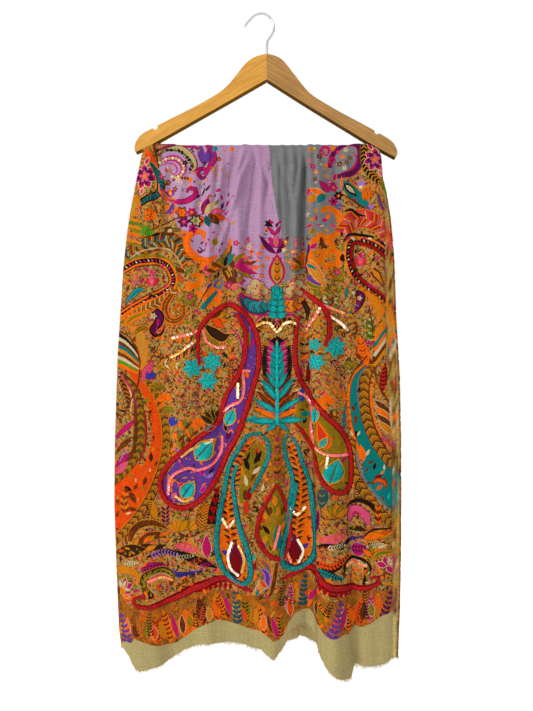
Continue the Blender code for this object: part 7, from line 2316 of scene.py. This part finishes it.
def arm_outline(top, under, notch):
    """The arm's outline with a smooth upper edge and the round notch for a loop."""
    upper = even(spline(top, 160), 3.0)
    lower = even(spline(under, 60), 6.0)
    x, z, radius = notch
    centre = np.array([x, z])
    inside = np.where(np.linalg.norm(upper - centre, axis=1) < radius)[0]
    ends = upper[inside[0] - 1] - centre, upper[inside[-1] + 1] - centre
    chord = ends[1] - ends[0]
    down = np.array([-chord[1], chord[0]]) * (-1.0 if chord[0] > 0 else 1.0)
    arc = []
    for way, order in ((ends[0], (0.0, 0.3, 0.6, 0.8, 1.0)), (ends[1], (0.8, 0.6, 0.3, 0.0))):
        for share in order:
            spot = way / np.linalg.norm(way) * (1.0 - share) + down / np.linalg.norm(down) * share
            arc.append(centre + spot / np.linalg.norm(spot) * radius)
    return np.vstack([upper[:inside[0]], arc, upper[inside[-1] + 1:], lower[::-1]])


def build_arm(name, top, under, notch, material, node):
    """One arm as a board with eased edges, moved a little towards the joint in the middle."""
    line = arm_outline(top, under, notch)
    mesh = bmesh.new()
    half = HANGER_THICK / 2.0
    away = MITRE_X - line[:, 0]
    closer = np.where(np.abs(away) < MITRE_NEAR, np.sign(away) * MITRE_CLOSER, 0.0)
    line = line + np.stack([closer, np.zeros(len(line))], axis=1)
    verts = [mesh.verts.new((x * MM, -half * MM, z * MM)) for x, z in line]
    face = mesh.faces.new(verts)
    grown = bmesh.ops.extrude_face_region(mesh, geom=[face])["geom"]
    for item in grown:
        if isinstance(item, bmesh.types.BMVert):
            item.co.y = half * MM
    bmesh.ops.recalc_face_normals(mesh, faces=mesh.faces[:])
    rims = [edge for edge in mesh.edges if abs(edge.verts[0].co.y - edge.verts[1].co.y) < 1e-6]
    bmesh.ops.bevel(mesh, geom=rims, offset=ARM_EASING * MM, segments=4, profile=0.6, affect="EDGES",
                    clamp_overlap=True)
    flat = [f for f in mesh.faces if len(f.verts) > 4]
    bmesh.ops.triangulate(mesh, faces=flat)
    data = bpy.data.meshes.new(name)
    mesh.to_mesh(data)
    mesh.free()
    for poly in data.polygons:
        poly.use_smooth = abs(poly.normal.y) < 0.999
    data.materials.append(material)
    item = new_piece(name, data)
    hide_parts(node)
    return item


def build_hook(metal):
    """The bent wire, drawn as one smooth line, with its thicker shank."""
    rows = np.array(HOOK_LINE)
    line = spline(rows[:, :2], HOOK_STEPS)
    share = np.interp(np.linspace(0, len(rows) - 1, HOOK_STEPS), np.arange(len(rows)), rows[:, 2])
    out = sides(line)[1]
    turns = np.linspace(0, 2 * math.pi, HOOK_RING + 1)[:-1]
    verts, faces = [], []
    for spot, side, size in zip(line, out, share):
        for t in turns:
            x, z = spot + side * math.cos(t) * size * HOOK_WIRE_RADIUS
            verts.append((x * MM, math.sin(t) * size * HOOK_WIRE_RADIUS * MM, z * MM))
    for k in range(len(line) - 1):
        for n in range(HOOK_RING):
            m = (n + 1) % HOOK_RING
            r = k * HOOK_RING
            faces.append((r + n, r + m, r + HOOK_RING + m, r + HOOK_RING + n))
    faces.append(tuple(range(HOOK_RING - 1, -1, -1)))
    faces.append(tuple(len(verts) - HOOK_RING + n for n in range(HOOK_RING)))
    data = bpy.data.meshes.new("wire_hook")
    data.from_pydata(verts, [], faces)
    mesh = bmesh.new()
    mesh.from_mesh(data)
    bmesh.ops.recalc_face_normals(mesh, faces=mesh.faces[:])
    mesh.to_mesh(data)
    mesh.free()
    data.polygons.foreach_set("use_smooth", np.ones(len(faces), dtype=bool))
    data.materials.append(metal)
    item = new_piece("wire_hook", data)
    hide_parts("hook")
    return item


# Materials

WEAVE_SCALE = 1250.0 / 6.283 * 0.31


def material(name):
    """A new material, its node tree and its shader."""
    item = bpy.data.materials.new(name)
    item.use_nodes = True
    tree = item.node_tree
    return item, tree, tree.nodes["Principled BSDF"]


def node(tree, kind, **values):
    """A shader node with attributes and input values set by name."""
    made = tree.nodes.new(kind)
    for key, value in values.items():
        if hasattr(made, key):
            setattr(made, key, value)
        else:
            made.inputs[key].default_value = value
    return made


def join(tree, start, end):
    tree.links.new(start, end)


def mix(tree, blend, factor, one, two):
    """A colour mix; one and two are sockets or colours, factor a socket or number."""
    made = tree.nodes.new("ShaderNodeMix")
    made.data_type = "RGBA"
    made.blend_type = blend
    for socket, value in ((made.inputs[0], factor), (made.inputs[6], one), (made.inputs[7], two)):
        if isinstance(value, (int, float)):
            socket.default_value = value
        elif isinstance(value, tuple):
            socket.default_value = (*value, 1.0)
        else:
            join(tree, value, socket)
    return made.outputs[2]


def span(tree, source, low, high, to_low, to_high):
    """A number mapped from one range to another."""
    made = node(tree, "ShaderNodeMapRange")
    for key, value in zip((1, 2, 3, 4), (low, high, to_low, to_high)):
        made.inputs[key].default_value = value
    join(tree, source, made.inputs[0])
    return made.outputs[0]


def filigree(tree, place, paint):
    """The finest printing: vines, small leaves and dabs on the bare ground and inside motifs."""
    shake = node(tree, "ShaderNodeTexNoise", Scale=95.0, Detail=2.0)
    join(tree, place, shake.inputs["Vector"])
    less = node(tree, "ShaderNodeVectorMath", operation="MULTIPLY_ADD")
    join(tree, shake.outputs["Color"], less.inputs[0])
    less.inputs[1].default_value = (0.011, 0.011, 0.0)
    join(tree, place, less.inputs[2])
    tone = paint.outputs[0]
    bare = span(tree, paint.outputs[1], 0.0, 1.0, 1.0, 0.0)
    patches = node(tree, "ShaderNodeTexNoise", Scale=22.0, Detail=2.0)
    join(tree, place, patches.inputs["Vector"])
    warm = node(tree, "ShaderNodeMath", operation="MULTIPLY")
    join(tree, span(tree, patches.outputs["Fac"], 0.46, 0.70, 0.0, 0.45), warm.inputs[0])
    join(tree, bare, warm.inputs[1])
    tone = mix(tree, "MIX", warm.outputs[0], tone, tuple(linear((206, 104, 6))))
    vine = node(tree, "ShaderNodeTexVoronoi", Scale=88.0)
    vine.feature = "DISTANCE_TO_EDGE"
    vine.voronoi_dimensions = "2D"
    join(tree, less.outputs[0], vine.inputs["Vector"])
    line = node(tree, "ShaderNodeMath", operation="MULTIPLY")
    join(tree, span(tree, vine.outputs["Distance"], 0.04, 0.075, 0.75, 0.0), line.inputs[0])
    join(tree, bare, line.inputs[1])
    tone = mix(tree, "MIX", line.outputs[0], tone, tuple(linear((84, 42, 10))))
    layers = ((225.0, 0.6, 0.27, ("br", "or", "bk", "do", "og", "br", "ol", "or")),
              (200.0, -0.75, 0.25, ("do", "br", "ma", "or", "db", "og", "dr", "br")),
              (280.0, 2.2, 0.20, ("bk", "br", "db", "or", "dp", "br", "og", "ma")))
    for scale, turn, reach, names in layers:
        spun = node(tree, "ShaderNodeMapping")
        spun.inputs["Rotation"].default_value = (0.0, 0.0, turn)
        join(tree, less.outputs[0], spun.inputs[0])
        drawn = node(tree, "ShaderNodeMapping")
        drawn.inputs["Scale"].default_value = (scale, scale * 0.42, 1.0)
        join(tree, spun.outputs[0], drawn.inputs[0])
        cells = node(tree, "ShaderNodeTexVoronoi", Scale=1.0)
        cells.voronoi_dimensions = "2D"
        join(tree, drawn.outputs[0], cells.inputs["Vector"])
        ramp = node(tree, "ShaderNodeValToRGB")
        ramp.color_ramp.interpolation = "CONSTANT"
        for k, paint_name in enumerate(names):
            stop = ramp.color_ramp.elements[k] if k < 2 else ramp.color_ramp.elements.new(k / len(names))
            stop.position = k / len(names)
            stop.color = (*linear(PAINT[paint_name]), 1.0)
        pick = node(tree, "ShaderNodeSeparateColor")
        join(tree, cells.outputs["Color"], pick.inputs[0])
        join(tree, pick.outputs[0], ramp.inputs[0])
        dab = node(tree, "ShaderNodeMath", operation="MULTIPLY")
        join(tree, span(tree, cells.outputs["Distance"], reach - 0.06, reach + 0.02, 0.9, 0.0), dab.inputs[0])
        join(tree, bare, dab.inputs[1])
        tone = mix(tree, "MIX", dab.outputs[0], tone, ramp.outputs[0])
    hatch = node(tree, "ShaderNodeTexNoise", Scale=520.0, Detail=2.0, Roughness=0.6)
    join(tree, less.outputs[0], hatch.inputs["Vector"])
    return mix(tree, "MULTIPLY", 1.0, tone, span(tree, hatch.outputs["Fac"], 0.32, 0.66, 0.78, 1.13))


def cloth_material(name, shade):
    """Fine slubby weave over the painted colours."""
    item, tree, shader = material(name)
    paint = node(tree, "ShaderNodeVertexColor", layer_name="paint")
    place = node(tree, "ShaderNodeUVMap", uv_map="OFBake")
    size = node(tree, "ShaderNodeMapping")
    size.inputs["Scale"].default_value = ((WIDE + 2.0 * UV_SIDE) * 2.0 * MM, (LONG + 2.0 * UV_END) * MM, 1.0)
    join(tree, place.outputs[0], size.inputs[0])
    tone = filigree(tree, size.outputs[0], paint)

    def streaks(scale_a, scale_b, detail, rough):
        stretch = node(tree, "ShaderNodeMapping")
        stretch.inputs["Scale"].default_value = (scale_a, scale_b, 1.0)
        join(tree, size.outputs[0], stretch.inputs[0])
        noise = node(tree, "ShaderNodeTexNoise", Scale=1.0, Detail=detail, Roughness=rough)
        join(tree, stretch.outputs[0], noise.inputs["Vector"])
        return noise.outputs["Fac"]

    weft = streaks(28.0, 900.0, 3.0, 0.6)
    warp = streaks(900.0, 22.0, 3.0, 0.6)
    cloud = streaks(14.0, 14.0, 3.0, 0.5)
    grain = streaks(1500.0, 1500.0, 1.0, 0.5)
    for noise, dark, light in ((weft, 0.84, 1.12), (warp, 0.90, 1.09), (cloud, 0.94, 1.06),
                               (grain, 0.86, 1.12)):
        tone = mix(tree, "MULTIPLY", 1.0, tone, span(tree, noise, 0.30, 0.70, dark, light))
    tone = mix(tree, "MULTIPLY", 1.0, tone, (shade, shade, shade))
    join(tree, tone, shader.inputs["Base Color"])
    waves = []
    for angle in (0.0, math.pi / 2.0):
        turned = node(tree, "ShaderNodeMapping")
        turned.inputs["Rotation"].default_value = (0.0, 0.0, angle)
        join(tree, size.outputs[0], turned.inputs[0])
        wave = node(tree, "ShaderNodeTexWave", Scale=WEAVE_SCALE, Distortion=1.2, Detail=1.0)
        join(tree, turned.outputs[0], wave.inputs[0])
        waves.append(wave.outputs["Fac"])
    weave = node(tree, "ShaderNodeMath", operation="MULTIPLY")
    join(tree, waves[0], weave.inputs[0])
    join(tree, waves[1], weave.inputs[1])
    slub = node(tree, "ShaderNodeMath", operation="ADD")
    join(tree, weave.outputs[0], slub.inputs[0])
    join(tree, weft, slub.inputs[1])
    bump = node(tree, "ShaderNodeBump", Strength=0.35, Distance=0.0006)
    join(tree, slub.outputs[0], bump.inputs["Height"])
    join(tree, bump.outputs[0], shader.inputs["Normal"])
    rough = span(tree, grain, 0.2, 0.8, 0.74, 0.92)
    join(tree, rough, shader.inputs["Roughness"])
    shader.inputs["Sheen Weight"].default_value = 0.02
    shader.inputs["Sheen Roughness"].default_value = 0.45
    shader.inputs["Specular IOR Level"].default_value = 0.05
    return item


def yarn_material(name, roughness, sheen, gloss, bump_size):
    """Twisted thread: the tint of each stitch with a fine twist and uneven tone."""
    item, tree, shader = material(name)
    paint = node(tree, "ShaderNodeVertexColor", layer_name="paint")
    place = node(tree, "ShaderNodeTexCoord")
    noise = node(tree, "ShaderNodeTexNoise", Scale=900.0, Detail=2.0)
    join(tree, place.outputs["Object"], noise.inputs["Vector"])
    tone = mix(tree, "MULTIPLY", 1.0, paint.outputs[0], span(tree, noise.outputs["Fac"], 0.3, 0.7, 0.5, 1.0))
    join(tree, tone, shader.inputs["Base Color"])
    bump = node(tree, "ShaderNodeBump", Strength=0.5, Distance=bump_size)
    join(tree, noise.outputs["Fac"], bump.inputs["Height"])
    join(tree, bump.outputs[0], shader.inputs["Normal"])
    shader.inputs["Roughness"].default_value = roughness
    shader.inputs["Sheen Weight"].default_value = sheen
    shader.inputs["Specular IOR Level"].default_value = gloss
    return item


def sequin_material(name):
    """Thin coloured film with a foil back and small scratches."""
    item, tree, shader = material(name)
    paint = node(tree, "ShaderNodeVertexColor", layer_name="paint")
    place = node(tree, "ShaderNodeTexCoord")
    noise = node(tree, "ShaderNodeTexNoise", Scale=700.0, Detail=2.0)
    join(tree, place.outputs["Object"], noise.inputs["Vector"])
    tone = mix(tree, "MULTIPLY", 1.0, paint.outputs[0], span(tree, noise.outputs["Fac"], 0.3, 0.7, 0.9, 1.1))
    join(tree, tone, shader.inputs["Base Color"])
    join(tree, span(tree, noise.outputs["Fac"], 0.3, 0.7, 0.16, 0.34), shader.inputs["Roughness"])
    shader.inputs["Metallic"].default_value = 0.25
    shader.inputs["Coat Weight"].default_value = 0.3
    return item


def wood_material(name, light, dark, line):
    """Long grain along the arm, with pores, a satin lacquer, and painted shade: faces turned downwards are
    darker and lose their gloss.
    """
    item, tree, shader = material(name)
    place = node(tree, "ShaderNodeTexCoord")
    turned = node(tree, "ShaderNodeMapping")
    turned.inputs["Rotation"].default_value = (0.0, line, 0.0)
    join(tree, place.outputs["Object"], turned.inputs[0])
    stretch = node(tree, "ShaderNodeMapping")
    stretch.inputs["Scale"].default_value = (9.0, 90.0, 170.0)
    join(tree, turned.outputs[0], stretch.inputs[0])
    grain = node(tree, "ShaderNodeTexNoise", Scale=1.6, Detail=6.0, Roughness=0.62, Distortion=0.4)
    join(tree, stretch.outputs[0], grain.inputs["Vector"])
    pores = node(tree, "ShaderNodeTexNoise", Scale=9.0, Detail=2.0, Roughness=0.7)
    join(tree, stretch.outputs[0], pores.inputs["Vector"])
    tone = mix(tree, "MIX", span(tree, grain.outputs["Fac"], 0.36, 0.66, 0.0, 1.0), light, dark)
    tone = mix(tree, "MULTIPLY", 1.0, tone, span(tree, pores.outputs["Fac"], 0.3, 0.6, 0.84, 1.06))
    underside_painted_shade = node(tree, "ShaderNodeNewGeometry")
    parts = node(tree, "ShaderNodeSeparateXYZ")
    join(tree, underside_painted_shade.outputs["Normal"], parts.inputs[0])
    # Painted shade: faces turned downwards are mixed towards a deep brown, and their specular and coat fade
    # out.
    tone = mix(tree, "MIX", span(tree, parts.outputs["Z"], -0.75, -0.15, 0.95, 0.0), tone,
               tuple(0.30 * part for part in dark))
    join(tree, span(tree, parts.outputs["Z"], -0.75, -0.15, 0.0, 0.3), shader.inputs["Specular IOR Level"])
    join(tree, span(tree, parts.outputs["Z"], -0.75, -0.15, 0.0, 0.06), shader.inputs["Coat Weight"])
    join(tree, tone, shader.inputs["Base Color"])
    bump = node(tree, "ShaderNodeBump", Strength=0.12, Distance=0.0004)
    join(tree, pores.outputs["Fac"], bump.inputs["Height"])
    join(tree, bump.outputs[0], shader.inputs["Normal"])
    join(tree, span(tree, grain.outputs["Fac"], 0.3, 0.7, 0.30, 0.46), shader.inputs["Roughness"])
    shader.inputs["Coat Roughness"].default_value = 0.25
    return item


def metal_material(name):
    """Plated wire with faint wear."""
    item, tree, shader = material(name)
    place = node(tree, "ShaderNodeTexCoord")
    noise = node(tree, "ShaderNodeTexNoise", Scale=420.0, Detail=4.0)
    join(tree, place.outputs["Object"], noise.inputs["Vector"])
    tone = mix(tree, "MIX", span(tree, noise.outputs["Fac"], 0.35, 0.7, 0.0, 1.0),
               (0.56, 0.55, 0.54), (0.40, 0.39, 0.38))
    join(tree, tone, shader.inputs["Base Color"])
    join(tree, span(tree, noise.outputs["Fac"], 0.3, 0.7, 0.16, 0.34), shader.inputs["Roughness"])
    shader.inputs["Metallic"].default_value = 1.0
    return item


def white_material(name):
    """Pale, almost even floor."""
    item, tree, shader = material(name)
    noise = node(tree, "ShaderNodeTexNoise", Scale=3.0, Detail=3.0)
    tone = mix(tree, "MIX", noise.outputs["Fac"], (0.93, 0.93, 0.93), (0.96, 0.96, 0.96))
    join(tree, tone, shader.inputs["Base Color"])
    shader.inputs["Roughness"].default_value = 0.95
    shader.inputs["Specular IOR Level"].default_value = 0.1
    shader.inputs["Emission Color"].default_value = (1.0, 1.0, 1.0, 1.0)
    shader.inputs["Emission Strength"].default_value = 0.12
    return item


# Making it all

FRINGE_COUNTS = {True: 2600, False: 1900}
FLOOR_RADIUS = 9.0
FLOOR_Z = -1.30
FLOOR_SIDES = 64
LENS = 29.87
SENSOR = 36.0
LIT_SPOT = (0.0, 0.0, -0.6)
# Lamps. Columns are a name, the place, the power and the size.
LAMPS = (
    ("key", (-1.75, -1.2, 0.35), 52.0, 0.8), ("fill", (1.5, -1.6, -0.2), 4.0, 1.2),
    ("top", (0.1, -0.3, 1.3), 3.0, 1.4),
)


def main():
    """The cloth, its embroidery and ends, and the hanger."""
    drawing = Drawing()
    draw_print(drawing)
    print_cloth = cloth_material("printed_weave", 0.585)
    # The reverse is dimmed far less than the face: painted light that brightens the turned strips, which lie
    # in shade.
    reverse_cloth_painted_light = cloth_material("reverse_weave_painted_light", 0.95)
    yarn = yarn_material("raw_yarn", 0.85, 0.05, 0.15, 0.0002)
    thread = yarn_material("stitching_thread", 0.7, 0.0, 0.15, 0.00025)
    shine = sequin_material("sequin_film")
    low = (-ROLL_LONG, FRONT_START)
    spots, faces, tints = mosaic(drawing.finish(), low, (WIDE + ROLL_LONG, LONG))
    seen = show_through(spots, faces, tints)
    for front in (True, False):
        fall = build_shawl(front, spots, faces, tints, (print_cloth, reverse_cloth_painted_light), seen)
        ends = build_fringe(front, FRINGE_COUNTS[front], yarn)
        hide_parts("shawl_front" if front else "shawl_back")
        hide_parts("fringe_front" if front else "fringe_back")
        raised = build_embroidery(front, thread, shine)
    honey = wood_material("honey_lacquer", (0.46, 0.225, 0.028), (0.33, 0.145, 0.016), 0.52)
    # The right arm's lacquer is a darker copy of the left arm's: painted shade over the whole right arm.
    honey_in_painted_shade = wood_material("honey_lacquer_painted_shade", (0.31, 0.155, 0.036), (0.19, 0.088, 0.020), -0.52)
    rod_wood = wood_material("bar_lacquer", (0.52, 0.30, 0.10), (0.40, 0.21, 0.06), 0.0)
    build_arm("arm_left", LEFT_TOP, LEFT_UNDER, NOTCHES[0][1:], honey, "hanger_arm_left")
    build_arm("arm_right", RIGHT_TOP, RIGHT_UNDER, NOTCHES[1][1:], honey_in_painted_shade, "hanger_arm_right")
    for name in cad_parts:
        if name == "hanger_bar":
            piece = bpy.data.objects[name]
            piece.data.materials.clear()
            piece.data.materials.append(rod_wood)
    build_hook(metal_material("plated_steel"))


def build_studio():
    """Floor, world, lamps and camera."""
    floor = bpy.data.meshes.new("floor")
    turns = np.linspace(0, 2 * math.pi, FLOOR_SIDES + 1)[:-1]
    ring = [(FLOOR_RADIUS * math.cos(t), FLOOR_RADIUS * math.sin(t), FLOOR_Z) for t in turns]
    floor.from_pydata(ring, [], [tuple(range(FLOOR_SIDES))])
    item = bpy.data.objects.new("studio_floor", floor)
    floor.materials.append(white_material("pale_floor"))
    bpy.context.scene.collection.objects.link(item)
    world = bpy.data.worlds.new("studio")
    bpy.context.scene.world = world
    world.use_nodes = True
    world.node_tree.nodes["Background"].inputs[0].default_value = (1.0, 1.0, 1.0, 1.0)
    world.node_tree.nodes["Background"].inputs[1].default_value = 1.0
    for name, spot, power, size in LAMPS:
        lamp = bpy.data.lights.new(name, "AREA")
        lamp.energy = power
        lamp.size = size
        holder = bpy.data.objects.new(name, lamp)
        holder.location = spot
        aim = Vector(LIT_SPOT) - Vector(spot)
        holder.rotation_euler = aim.to_track_quat("-Z", "Y").to_euler()
        bpy.context.scene.collection.objects.link(holder)
    camera = bpy.data.cameras.new("camera")
    camera.lens = LENS
    camera.sensor_width = SENSOR
    holder = bpy.data.objects.new("camera", camera)
    holder.location = [part * MM for part in EYE]
    holder.rotation_euler = (math.pi / 2.0, 0.0, 0.0)
    bpy.context.scene.collection.objects.link(holder)
    bpy.context.scene.camera = holder
    bpy.context.scene.view_settings.view_transform = "Standard"


main()
build_studio()
